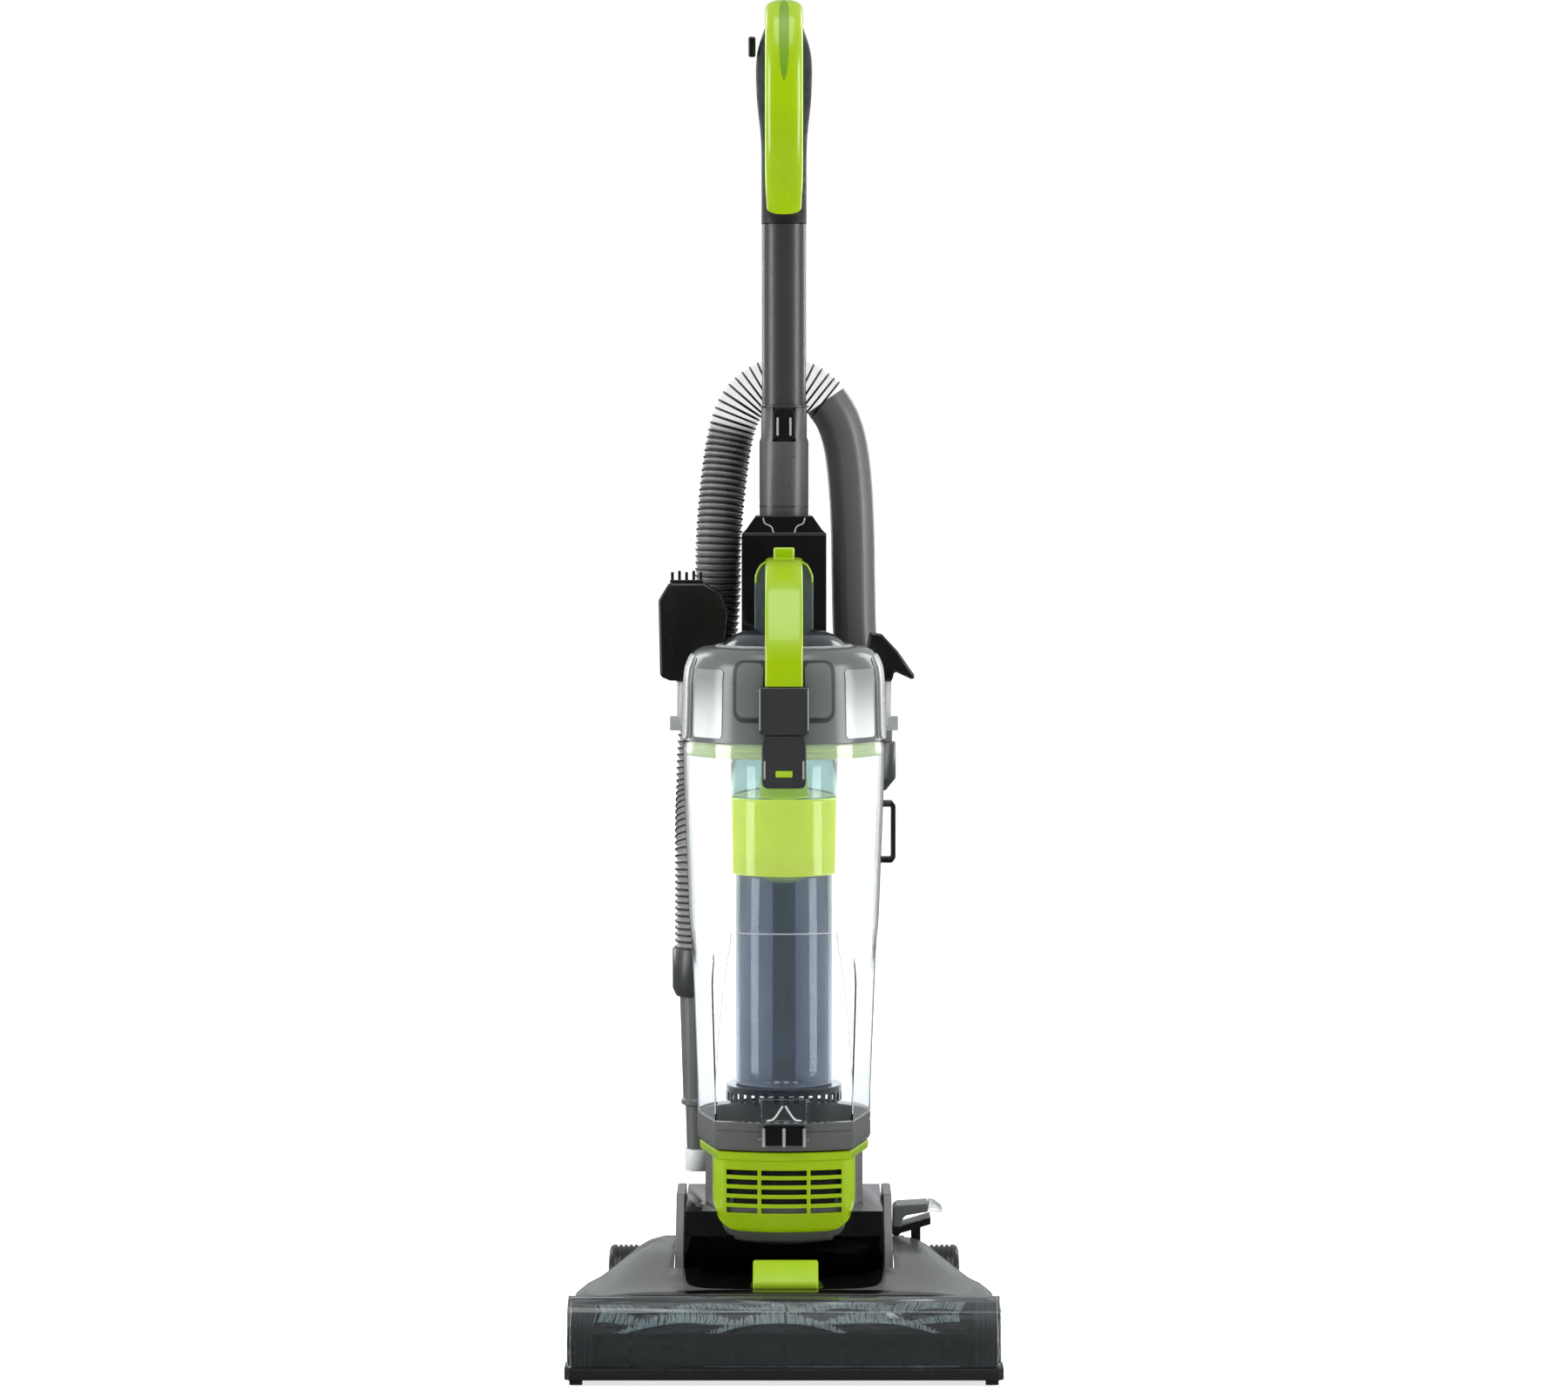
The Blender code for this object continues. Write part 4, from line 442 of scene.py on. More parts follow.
def polished_clear(name, colour, roughness, transmission=1.0, ior=POLYCARBONATE_IOR, seed=0.0):
    """Clear or smoked plastic from a polished mould, with faint rub marks."""
    material, tree, shader = blank_material(name)
    coordinates = add(tree, "ShaderNodeTexCoord")
    place = add(tree, "ShaderNodeMapping", {"Vector": coordinates.outputs["Object"],
                "Location": (seed, -seed, seed * 0.5), "Scale": (1.0, 1.0, 0.25)})
    rub = add(tree, "ShaderNodeTexNoise", {"Vector": place.outputs["Vector"],
              "Scale": 60.0, "Detail": 5.0, "Roughness": 0.7})
    gloss = add(tree, "ShaderNodeMapRange", {"Value": rub.outputs["Fac"], "From Min": 0.35,
                "From Max": 0.75, "To Min": roughness, "To Max": roughness * 2.2})
    pale = tuple(min(c * 1.06, 1.0) for c in hex_colour(colour)[:3]) + (1.0,)
    tone = add(tree, "ShaderNodeMix", {"Factor": rub.outputs["Fac"], "A": hex_colour(colour),
               "B": pale}, data_type="RGBA")
    tree.links.new(tone.outputs["Result"], shader.inputs["Base Color"])
    tree.links.new(gloss.outputs["Result"], shader.inputs["Roughness"])
    shader.inputs["Transmission Weight"].default_value = transmission
    shader.inputs["IOR"].default_value = ior
    return material


GREY_ABS = moulded("moulded_grey_abs", "666765", "5B5C5B", 0.34, 0.30)
DARK_ABS = moulded("moulded_dark_grey_abs", "3A3C3B", "303231", 0.32, 0.25, seed=0.3)
TUBE_ABS = moulded("satin_dark_grey_tube", "3A3B3A", "343535", 0.32, 0.02, seed=0.4)
LOWER_TUBE_ABS = moulded("satin_grey_tube", "505150", "4A4B4B", 0.32, 0.02, seed=0.45)
SHOULDER_ABS = moulded("moulded_light_grey_abs", "6E7170", "626564", 0.20, 0.18, seed=0.9)
SILVER_ABS = moulded("silver_grey_abs", "B2B3B3", "A4A6A6", 0.28, 0.12, seed=1.1)
BLACK_ABS = moulded("moulded_black_abs", "131313", "0C0C0D", 0.30, 0.30, seed=0.5)
GLOSS_BLACK_ABS = moulded("polished_black_abs", "0E0E0F", "080809", 0.12, 0.05, coat=0.3,
                          seed=0.6)
GRIP_RUBBER = moulded("soft_touch_black_grip", "1E1D1B", "171614", 0.62, 0.6, seed=0.7)
LIME_ABS = moulded("polished_lime_abs", "A9CC00", "9ABD00", 0.20, 0.05, coat=0.25, seed=0.8)
LIME_PAD = moulded("textured_lime_abs", "B2D422", "9FC50E", 0.42, 0.9, seed=1.2)
FOAM = moulded("open_cell_filter_foam", "17191B", "0C0D0F", 0.95, 1.0, seed=1.3)
TYRE_RUBBER = moulded("black_tyre_rubber", "191919", "101010", 0.75, 0.7, seed=1.4)
WHITE_ABS = moulded("moulded_white_polypropylene", "E8E9E8", "DCDEDE", 0.30, 0.15, seed=1.5)
BRISTLE = lit_inside(moulded("grey_nylon_bristle", "7C8A8C", "46545A", 0.45, 0.3, seed=1.6),
                     "8C9A9C", 0.95)
CLEAR_PC = polished_clear("clear_polycarbonate", "F3F6F7", 0.02)
SMOKED_PC = polished_clear("smoked_polycarbonate", "A0A4A6", 0.05, 0.92, seed=0.4)
BLUE_SMOKE_PC = polished_clear("blue_smoked_styrene", "7E8CA4", 0.06, 0.85, seed=0.8)
TEAL_PC = polished_clear("teal_tinted_styrene", "C9DADF", 0.05, 0.9, seed=1.2)
SEAL_RUBBER = lit_inside(moulded("pale_green_seal_rubber", "E4F2C4", "D6E8B2", 0.35, 0.2,
                                 coat=0.2, seed=1.7), "DDF0BC", 0.30)


# %% [markdown]
# Metal hardly shows on this machine: the brush motor's can, the rotor, a copper winding
# and the pinion. Machining leaves fine rings, so the roughness is stretched into lines.

# %% Metals
def machined(name, colour, shade, roughness, stretch, seed=0.0):
    """Bare metal with drawn or turned lines; a metal keeps the default refraction."""
    material, tree, shader = blank_material(name)
    coordinates = add(tree, "ShaderNodeTexCoord")
    place = add(tree, "ShaderNodeMapping", {"Vector": coordinates.outputs["Object"],
                "Location": (seed, seed, seed), "Scale": stretch})
    lines = add(tree, "ShaderNodeTexNoise", {"Vector": place.outputs["Vector"],
                "Scale": 700.0, "Detail": 3.0, "Roughness": 0.7})
    tone = add(tree, "ShaderNodeMix", {"Factor": lines.outputs["Fac"], "A": hex_colour(colour),
               "B": hex_colour(shade)}, data_type="RGBA")
    gloss = add(tree, "ShaderNodeMapRange", {"Value": lines.outputs["Fac"], "From Min": 0.3,
                "From Max": 0.7, "To Min": roughness * 0.7, "To Max": roughness * 1.4})
    bump = add(tree, "ShaderNodeBump", {"Height": lines.outputs["Fac"], "Strength": 0.3,
               "Distance": 0.05 * MM})
    tree.links.new(tone.outputs["Result"], shader.inputs["Base Color"])
    tree.links.new(gloss.outputs["Result"], shader.inputs["Roughness"])
    tree.links.new(bump.outputs["Normal"], shader.inputs["Normal"])
    shader.inputs["Metallic"].default_value = 1.0
    return material


STEEL = machined("drawn_steel", "B7B9BA", "9FA2A4", 0.28, (1.0, 0.08, 0.08))
COPPER = machined("enamelled_copper_wire", "B06A3C", "7E4322", 0.35, (0.1, 0.1, 1.0), 0.5)

# %% [markdown]
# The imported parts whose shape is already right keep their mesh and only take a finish.

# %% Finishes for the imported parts
PART_FINISHES = {
    "head_base": BLACK_ABS, "head_cover": GREY_ABS, "brush_window": SMOKED_PC,
    "front_bumper": TYRE_RUBBER, "brush_motor": STEEL, "drive_belt": TYRE_RUBBER,
    "rear_wheel_left": BLACK_ABS, "rear_wheel_right": BLACK_ABS,
    "front_roller_left": BLACK_ABS, "front_roller_right": BLACK_ABS,
    "brush_core": BLACK_ABS, "bristle_strip_a": BRISTLE, "bristle_strip_b": BRISTLE,
    "motor_pinion": STEEL, "foot_pad": LIME_PAD, "pedal_lever": BLACK_ABS,
    "pedal_tip": CLEAR_PC, "pivot_cradle": GLOSS_BLACK_ABS, "motor_housing": GREY_ABS,
    "front_grill": LIME_ABS, "exhaust_filter": FOAM, "motor_stator": COPPER,
    "inlet_grid": DARK_ABS, "motor_rotor": STEEL, "spine_shell": GLOSS_BLACK_ABS,
    "back_panel": DARK_ABS, "tube_lower": LOWER_TUBE_ABS, "tool_mount_left": SILVER_ABS,
    "tool_mount_right": SILVER_ABS, "cord_hook_lower": BLACK_ABS,
    "cord_hook_upper": BLACK_ABS, "hose_duct": GREY_ABS, "hose_cuff": DARK_ABS,
    "hose_socket": DARK_ABS, "wand": GREY_ABS, "wand_port": WHITE_ABS,
    "bin_wall": CLEAR_PC, "bin_lid": SHOULDER_ABS, "bin_seal": SEAL_RUBBER,
    "lid_dome": SMOKED_PC, "handle_stand": TEAL_PC, "carry_handle": LIME_ABS,
    "latch_arm": DARK_ABS, "bin_button": LIME_ABS, "cyclone_cap": TEAL_PC,
    "cyclone_band": LIME_ABS, "cyclone_tube": BLUE_SMOKE_PC, "cyclone_pipe": BLUE_SMOKE_PC,
    "cyclone_skirt": SMOKED_PC, "bin_door": GREY_ABS, "door_buckle": CLEAR_PC,
    "tube_upper": TUBE_ABS, "handle_grip": GRIP_RUBBER, "handle_front": LIME_ABS,
    "cord_clip": BLACK_ABS, "tube_latch": BLACK_ABS, "dusting_brush": BLACK_ABS,
    "brush_tufts": BLACK_ABS, "upholstery_nozzle": BLACK_ABS,
}
for part, finish in PART_FINISHES.items():
    slots = frame["nodes"][part].data.materials
    for index in range(len(slots)):
        slots[index] = finish
    if not len(slots):
        slots.append(finish)
print("parts finished:", len(PART_FINISHES), "of", len(frame["nodes"]))

# %% [markdown]
# ## Stretch hose and its duct
#
# The hose is a wire spiral in a thin grey sleeve. It goes up from its cuff at the left,
# over a hook behind the tube, and meets a rigid duct that comes down at the right. Ribs
# that follow a path are a job for Geometry Nodes: one branch skins the curve with a
# radius that rises and falls once for each turn of wire, and the other sets a ring of
# wire on each crest. Pulled round the bend, the sleeve thins until it is nearly clear.

# %% The hose's route
cuff_low, cuff_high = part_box("hose_cuff")
spine_low, spine_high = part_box("spine_shell")
upper_tube_low, upper_tube_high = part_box("tube_upper")
lower_tube_low, lower_tube_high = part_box("tube_lower")

HOSE_RADIUS = 19.0 * MM
RIB_PITCH = 5.3 * MM
STEPS_PER_RIB = 6.0
JOINT_GAP = 0.3 * MM       # half the gap between the hose and its duct
TUBE_Y = (upper_tube_low.y + upper_tube_high.y) / 2
HOSE_SIDE = (cuff_high.x - cuff_low.x) / 2 - cuff_high.x
BIN_TOP = wall_high.z
SPINE_BACK = spine_high.y
NECK_HALF = 34.5 * MM
SPINE_BOX_TOP = spine_high.z - 15.0 * MM
LOWER_TUBE_TOP = spine_high.z + 90.0 * MM
HOSE_BACK = TUBE_Y + 38.0 * MM
HOOK_Z = LOWER_TUBE_TOP + 21.0 * MM
BESIDE = SPINE_BACK + 4.0 * MM
DUCT_TOP = spine_high.z + 79.0 * MM
SOCKET_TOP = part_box("hose_socket")[1].z
SOCKET_Y = SPINE_BACK - 4.0 * MM


def hose_route():
    """Middle line of the whole run, from the cuff to the duct's socket."""
    x, back, top = HOSE_SIDE, HOSE_BACK, HOOK_Z
    neck_z = BIN_TOP + 30 * MM
    points = [
        (-x, TUBE_Y, cuff_high.z + 0.6 * MM), (-x, TUBE_Y + 1 * MM, BIN_TOP - 100 * MM),
        (-x + 0.5 * MM, BESIDE - 6 * MM, BIN_TOP - 50 * MM),
        (-x + 3 * MM, BESIDE, BIN_TOP + 5 * MM),
        (-NECK_HALF - 24 * MM, BESIDE, neck_z + 35 * MM),
        (-NECK_HALF - 20 * MM, BESIDE + 1 * MM, SPINE_BOX_TOP - 50 * MM),
        (-NECK_HALF - 19 * MM, back - 10 * MM, SPINE_BOX_TOP),
        (-46 * MM, back - 1 * MM, LOWER_TUBE_TOP - 35 * MM),
        (-32 * MM, back, top - 17 * MM), (0.0, back, top), (34 * MM, back, top - 17 * MM),
        (51 * MM, back - 1 * MM, LOWER_TUBE_TOP - 35 * MM),
        (NECK_HALF + 22 * MM, back - 10 * MM, SPINE_BOX_TOP),
        (NECK_HALF + 24 * MM, BESIDE, neck_z + 45 * MM),
        (x - 2 * MM, BESIDE, BIN_TOP + 25 * MM),
        (x + 0.5 * MM, SOCKET_Y, SOCKET_TOP + 14 * MM),
        (x + 0.5 * MM, SOCKET_Y, SOCKET_TOP + 2.2 * MM)]
    return spline(points, 2)


run = hose_route()
joint = max(i for i, point in enumerate(run) if point.z > DUCT_TOP)
joint_along = (run[joint + 1] - run[joint - 1]).normalized()
hose_points = run[:joint] + [run[joint] - joint_along * JOINT_GAP]
duct_points = [run[joint] + joint_along * JOINT_GAP] + run[joint + 1:]

# %% Two finishes for the hose
def sleeve_finish():
    """Grey elastomer sleeve: dusty grey at rest, nearly clear where the bend stretches it."""
    material, tree, shader = blank_material("grey_elastomer_sleeve")
    coordinates = add(tree, "ShaderNodeTexCoord")
    axes = add(tree, "ShaderNodeSeparateXYZ", {"Vector": coordinates.outputs["Object"]})
    dust = add(tree, "ShaderNodeTexNoise", {"Vector": coordinates.outputs["Object"],
               "Scale": 90.0, "Detail": 4.0, "Roughness": 0.7})
    tone = add(tree, "ShaderNodeMix", {"Factor": dust.outputs["Fac"], "A": hex_colour("7E7F7C"),
               "B": hex_colour("989A96")}, data_type="RGBA")
    film = add(tree, "ShaderNodeMapRange", {"Value": axes.outputs["Z"],
               "From Min": LOWER_TUBE_TOP - 34 * MM, "From Max": LOWER_TUBE_TOP - 8 * MM,
               "To Min": 1.0, "To Max": 0.10}, interpolation_type="SMOOTHSTEP")
    tree.links.new(tone.outputs["Result"], shader.inputs["Base Color"])
    tree.links.new(film.outputs["Result"], shader.inputs["Alpha"])
    shader.inputs["Roughness"].default_value = 0.38
    shader.inputs["IOR"].default_value = 1.5
    return material


SLEEVE = sleeve_finish()
WIRE_COAT = moulded("black_coated_spring_wire", "161616", "0D0D0D", 0.4, 0.2, seed=2.1)

# %% The node tree that makes the ribs
def named_inputs(tree, **kinds):
    """Give a node group its named inputs, listed by kind, and return their sockets."""
    for kind, names in kinds.items():
        for name in names:
            tree.interface.new_socket(name, in_out="INPUT", socket_type="NodeSocket" + kind)
    return add(tree, "NodeGroupInput").outputs


def hose_tree():
    """A sleeve whose radius rises once for each turn of wire, and a wire ring on each crest."""
    tree = bpy.data.node_groups.new("ribbed_hose", "GeometryNodeTree")
    given = named_inputs(tree, Geometry=["Route"], Float=["Radius", "Pitch", "Rib Depth",
                         "Wire Radius"], Material=["Sleeve", "Wire"])
    tree.interface.new_socket("Hose", in_out="OUTPUT", socket_type="NodeSocketGeometry")
    length = add(tree, "GeometryNodeCurveLength", {"Curve": given["Route"]})
    turns = add(tree, "ShaderNodeMath", {0: length.outputs["Length"], 1: given["Pitch"]},
                operation="DIVIDE")
    count = add(tree, "ShaderNodeMath", {0: turns.outputs[0], 1: STEPS_PER_RIB},
                operation="MULTIPLY")
    fine = add(tree, "GeometryNodeResampleCurve", {"Curve": given["Route"],
               "Count": count.outputs[0]})
    along = add(tree, "GeometryNodeSplineParameter")
    cycles = add(tree, "ShaderNodeMath", {0: along.outputs["Length"], 1: given["Pitch"]},
                 operation="DIVIDE")
    phase = add(tree, "ShaderNodeMath", {0: cycles.outputs[0], 1: 2 * math.pi},
                operation="MULTIPLY")
    wave = add(tree, "ShaderNodeMath", {0: phase.outputs[0]}, operation="COSINE")
    drop = add(tree, "ShaderNodeMath", {0: wave.outputs[0], 1: 0.5, 2: -0.5},
               operation="MULTIPLY_ADD")
    swing = add(tree, "ShaderNodeMath", {0: drop.outputs[0], 1: given["Rib Depth"],
                2: given["Radius"]}, operation="MULTIPLY_ADD")
    outline = add(tree, "GeometryNodeCurvePrimitiveCircle", {"Resolution": 24, "Radius": 1.0})
    sleeve = add(tree, "GeometryNodeCurveToMesh", {"Curve": fine.outputs["Curve"],
                 "Profile Curve": outline.outputs["Curve"], "Scale": swing.outputs[0],
                 "Fill Caps": True})
    smooth = add(tree, "GeometryNodeSetShadeSmooth", {"Geometry": sleeve.outputs["Mesh"]})
    coated = add(tree, "GeometryNodeSetMaterial", {"Geometry": smooth.outputs["Geometry"],
                 "Material": given["Sleeve"]})
    crests = add(tree, "GeometryNodeCurveToPoints", {"Curve": given["Route"],
                 "Length": given["Pitch"]}, mode="LENGTH")
    hoop = add(tree, "GeometryNodeCurvePrimitiveCircle", {"Resolution": 24,
               "Radius": given["Radius"]})
    round_wire = add(tree, "GeometryNodeCurvePrimitiveCircle", {"Resolution": 5,
                     "Radius": given["Wire Radius"]})
    ring = add(tree, "GeometryNodeCurveToMesh", {"Curve": hoop.outputs["Curve"],
               "Profile Curve": round_wire.outputs["Curve"]})
    rings = add(tree, "GeometryNodeInstanceOnPoints", {"Points": crests.outputs["Points"],
                "Instance": ring.outputs["Mesh"], "Rotation": crests.outputs["Rotation"]})
    real = add(tree, "GeometryNodeRealizeInstances", {"Geometry": rings.outputs["Instances"]})
    wired = add(tree, "GeometryNodeSetMaterial", {"Geometry": real.outputs["Geometry"],
                "Material": given["Wire"]})
    both = add(tree, "GeometryNodeJoinGeometry")
    tree.links.new(wired.outputs["Geometry"], both.inputs[0])
    tree.links.new(coated.outputs["Geometry"], both.inputs[0])
    add(tree, "NodeGroupOutput", {"Hose": both.outputs["Geometry"]})
    return tree


def grown(piece, tree, values):
    """Run a node tree on a piece with named values, and keep the plain mesh."""
    modifier = piece.modifiers.new(tree.name, "NODES")
    modifier.node_group = tree
    for item in tree.interface.items_tree:
        if item.item_type == "SOCKET" and item.in_out == "INPUT" and item.name in values:
            modifier[item.identifier] = values[item.name]
    graph = bpy.context.evaluated_depsgraph_get()
    mesh = bpy.data.meshes.new_from_object(piece.evaluated_get(graph), depsgraph=graph)
    made = bpy.data.objects.new(piece.name, mesh)
    name = piece.name
    bpy.data.objects.remove(piece)
    made.name = name
    bpy.context.scene.collection.objects.link(made)
    return made


def line(name, points):
    """A curve object of one open line through the points."""
    curve = bpy.data.curves.new(name, "CURVE")
    curve.dimensions = "3D"
    spline_line = curve.splines.new("POLY")
    spline_line.points.add(len(points) - 1)
    for target, point in zip(spline_line.points, points):
        target.co = (*point, 1.0)
    piece = bpy.data.objects.new(name, curve)
    bpy.context.scene.collection.objects.link(piece)
    return piece


smooth_hose = spline([tuple(p) for p in hose_points], 4)
hose = grown(line("ribbed_hose", smooth_hose), hose_tree(), {
    "Radius": HOSE_RADIUS - 0.6 * MM, "Pitch": RIB_PITCH, "Rib Depth": 1.6 * MM,
    "Wire Radius": 0.90 * MM, "Sleeve": SLEEVE, "Wire": WIRE_COAT})
print("hose faces:", len(hose.data.polygons))
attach(hose, "main_body")
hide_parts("hose")

# %% [markdown]
# The duct is a rigid moulding with flattened sides, so bright lines run down its length.

# %% The duct
def many_sided(radius, corners, softness, steps=4):
    """A regular outline with rounded corners, as (across, deep) offsets."""
    ring = []
    for i in range(corners):
        corner = 2 * math.pi * (i + 0.5) / corners
        half = math.pi / corners
        for k in range(steps):
            share = (k + 0.5) / steps * 2 - 1
            angle = corner + share * half * softness
            flat = radius * math.cos(half) / math.cos(half * (1 - softness))
            ring.append((flat * math.cos(angle), flat * math.sin(angle)))
    return ring


duct_line = spline([tuple(p) for p in duct_points], 3)
duct_outline = many_sided(HOSE_RADIUS * 1.03, 8, 0.35)
duct = swept("rigid_hose_duct", duct_line, [duct_outline] * len(duct_line), (0, 1, 0), 24)
duct.data.materials.append(GREY_ABS)
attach(duct, "main_body")
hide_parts("hose_duct")
print("duct faces:", len(duct.data.polygons))


# %% [markdown]
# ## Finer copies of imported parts
#
# A mould never leaves a knife edge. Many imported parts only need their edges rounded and
# their round faces cut finer, so a copy is refined and stands in for the part.

# %% Refine a copy
def body_of(node):
    """The body that carries a node."""
    bodies = frame["record"]["behaviour"]["bodies"]
    return next(body for body, nodes in bodies.items() if node in nodes)


def placed(piece, body, finish, *nodes, slot=None):
    """Give a piece its finish, its body, and the nodes it stands in for."""
    if finish is not None:
        piece.data.materials.clear()
        piece.data.materials.append(finish)
    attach(piece, body)
    if nodes:
        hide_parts(*nodes)
    return piece


def refined(node, width, segments=2, degrees=30):
    """A copy of a node's mesh with rounded edges, in place of the node."""
    mesh = frame["nodes"][node].data.copy()
    piece = bpy.data.objects.new(node + "_moulding", mesh)
    bpy.context.scene.collection.objects.link(piece)
    bm = bmesh.new()
    bm.from_mesh(mesh)
    bmesh.ops.remove_doubles(bm, verts=bm.verts, dist=0.01 * MM)
    bmesh.ops.dissolve_limit(bm, angle_limit=math.radians(0.5), verts=bm.verts,
                             edges=bm.edges)
    for face in bm.faces:
        face.smooth = True
    bm.to_mesh(mesh)
    bm.free()
    rounded(piece, width, segments, degrees)
    return placed(piece, body_of(node), PART_FINISHES[node], node)


for node, width in (("hose_cuff", 1.2), ("wand_port", 1.0), ("cord_hook_upper", 0.8),
                    ("cord_hook_lower", 0.8), ("cord_clip", 0.6), ("tool_mount_left", 0.8),
                    ("tool_mount_right", 0.8), ("upholstery_nozzle", 0.8)):
    refined(node, width * MM)
print("refined parts done")

# %% [markdown]
# ## Clear bin
#
# The wall is drawn again with many more sides, so that the two corners of its front face
# bend light cleanly. It is 2.2 mm thick, which gives the white and dark lines at the rims.

# %% Clear wall, seal and door ring
SEAL_HEIGHT = 12 * MM
WALL = 2.2 * MM
DOOR_RADIUS = 70.5 * MM
BIN_BASE = wall_low.z
RIM_SOFT = 0.4 * MM        # rounding of the wall's two rims


def wall_radius(height):
    """Radius of the wall, which tapers evenly down to the door."""
    low, high = BIN_BASE + 20 * MM, BIN_TOP - 30 * MM
    share = (height - low) / (high - low)
    return DOOR_RADIUS + 0.2 * MM + (BIN_RADIUS - 0.6 * MM - DOOR_RADIUS) * share


outer = [(DOOR_RADIUS, BIN_BASE + RIM_SOFT), (DOOR_RADIUS + 0.2 * MM, BIN_BASE + 20 * MM)]
outer += [(wall_radius(BIN_BASE + h * MM), BIN_BASE + h * MM) for h in range(30, 265, 8)]
outer += [(BIN_RADIUS - RIM_SOFT, BIN_TOP - 30 * MM), (BIN_RADIUS, BIN_TOP - 10 * MM),
          (BIN_RADIUS, BIN_TOP - RIM_SOFT), (BIN_RADIUS - RIM_SOFT, BIN_TOP)]
inner = [(radius - WALL + 0.1 * MM, height) for radius, height in reversed(outer)]
inner[0] = (BIN_RADIUS - WALL, BIN_TOP)
wall = turned("clear_bin_wall", outer + inner, 192, section=faced_section, crease=28)
placed(wall, "dust_bin", CLEAR_PC, "bin_wall", slot="clear")

flange = BIN_RADIUS - WALL - 0.7 * MM
lip = [(flange - 4.8 * MM, BIN_TOP - SEAL_HEIGHT), (flange - 1.0 * MM, BIN_TOP - SEAL_HEIGHT)]
for turn in range(3):
    low = BIN_TOP - SEAL_HEIGHT + turn * 4 * MM
    lip += [(flange, low + 0.8 * MM), (flange, low + 2.6 * MM), (flange - 1 * MM, low + 3.4 * MM)]
lip += [(flange - 1.0 * MM, BIN_TOP - 0.4 * MM), (flange - 4.8 * MM, BIN_TOP - 0.4 * MM)]
placed(turned("lip_seal", lip, 128), "dust_bin", SEAL_RUBBER, "bin_seal", slot="pale_lime")

DOOR_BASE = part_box("bin_door")[0].z
DOOR_TOP = DOOR_BASE + 23 * MM
ring = [(DOOR_RADIUS - 3 * MM, DOOR_TOP - 0.6 * MM), (DOOR_RADIUS - 2.4 * MM, DOOR_TOP),
        (DOOR_RADIUS - 0.5 * MM, DOOR_TOP), (DOOR_RADIUS, DOOR_TOP - 0.5 * MM),
        (DOOR_RADIUS, DOOR_TOP - 6 * MM), (DOOR_RADIUS - 0.7 * MM, DOOR_TOP - 6.3 * MM),
        (DOOR_RADIUS - 0.7 * MM, DOOR_TOP - 7.0 * MM), (DOOR_RADIUS, DOOR_TOP - 7.3 * MM),
        (DOOR_RADIUS, DOOR_BASE + 4.4 * MM), (DOOR_RADIUS - 1.2 * MM, DOOR_BASE + 1.4 * MM),
        (DOOR_RADIUS - 4 * MM, DOOR_BASE + 0.2 * MM), (0.1 * MM, DOOR_BASE + 0.2 * MM),
        (0.1 * MM, DOOR_BASE + 3.4 * MM), (DOOR_RADIUS - 5 * MM, DOOR_BASE + 3.4 * MM)]
door = turned("door_cup", ring, 128, section=faced_section, crease=25)
placed(door, "bin_door", GREY_ABS, slot="grey")
DOOR_FACE = -DOOR_RADIUS * FACE_FRONT


def plate(name, outline, front, back, axis="Y", soft=0.4 * MM):
    """A flat plate cut to an outline of (across, height), with rounded edges."""
    if axis == "Y":
        rings = [[(a, y, z) for a, z in outline] for y in (front, back)]
    else:
        rings = [[(x, a, z) for a, z in outline] for x in (front, back)]
    piece = skinned(name, rings, smooth=False)
    if soft:
        for face in piece.data.polygons:
            face.use_smooth = True
        rounded(piece, soft, 2)
    return piece


def lozenge(half_width, low, high, corner, steps=5, middle=0.0):
    """Outline of a rectangle with round corners, as (across, height) pairs."""
    points = []
    for cx, cz, start in ((half_width - corner, low + corner, -90),
                          (half_width - corner, high - corner, 0),
                          (corner - half_width, high - corner, 90),
                          (corner - half_width, low + corner, 180)):
        for k in range(steps + 1):
            angle = math.radians(start + 90 * k / steps)
            points.append((middle + cx + corner * math.cos(angle),
                           cz + corner * math.sin(angle)))
    return points


# %% [markdown]
# The buckle is clear, with a raised rim and an inverted V moulded in, and it closes over
# a ribbed black catch on the door.

# %% Buckle and catch
buckle_low, buckle_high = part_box("door_buckle")
buckle_front = buckle_low.y
side_view = [(buckle_high.y, buckle_low.z), (buckle_high.y, buckle_high.z - 2 * MM),
             (buckle_high.y - 2.5 * MM, buckle_high.z), (buckle_front, buckle_high.z - 4 * MM),
             (buckle_front, buckle_low.z + 1.5 * MM)]
half = buckle_high.x
BUCKLE_RIM = 2.2 * MM
for index, x in enumerate((-half, half - BUCKLE_RIM)):
    bar = plate("buckle_rim_%d" % index, side_view, x, x + BUCKLE_RIM, "X", 0.3 * MM)
    placed(bar, "door_buckle", CLEAR_PC, slot="clear")
sheet_view = [(buckle_front + 1.5 * MM, DOOR_TOP + 3 * MM),
              (buckle_front + 1.5 * MM, buckle_high.z - 5 * MM),
              (buckle_high.y - 2 * MM, buckle_high.z - 1.2 * MM),
              (buckle_high.y - 0.6 * MM, buckle_high.z - 2.4 * MM),
              (buckle_front + 3.2 * MM, DOOR_TOP + 3 * MM)]
sheet = plate("buckle_sheet", sheet_view, -half + BUCKLE_RIM, half - BUCKLE_RIM, "X", 0.3 * MM)
placed(sheet, "door_buckle", CLEAR_PC, "door_buckle", slot="clear")
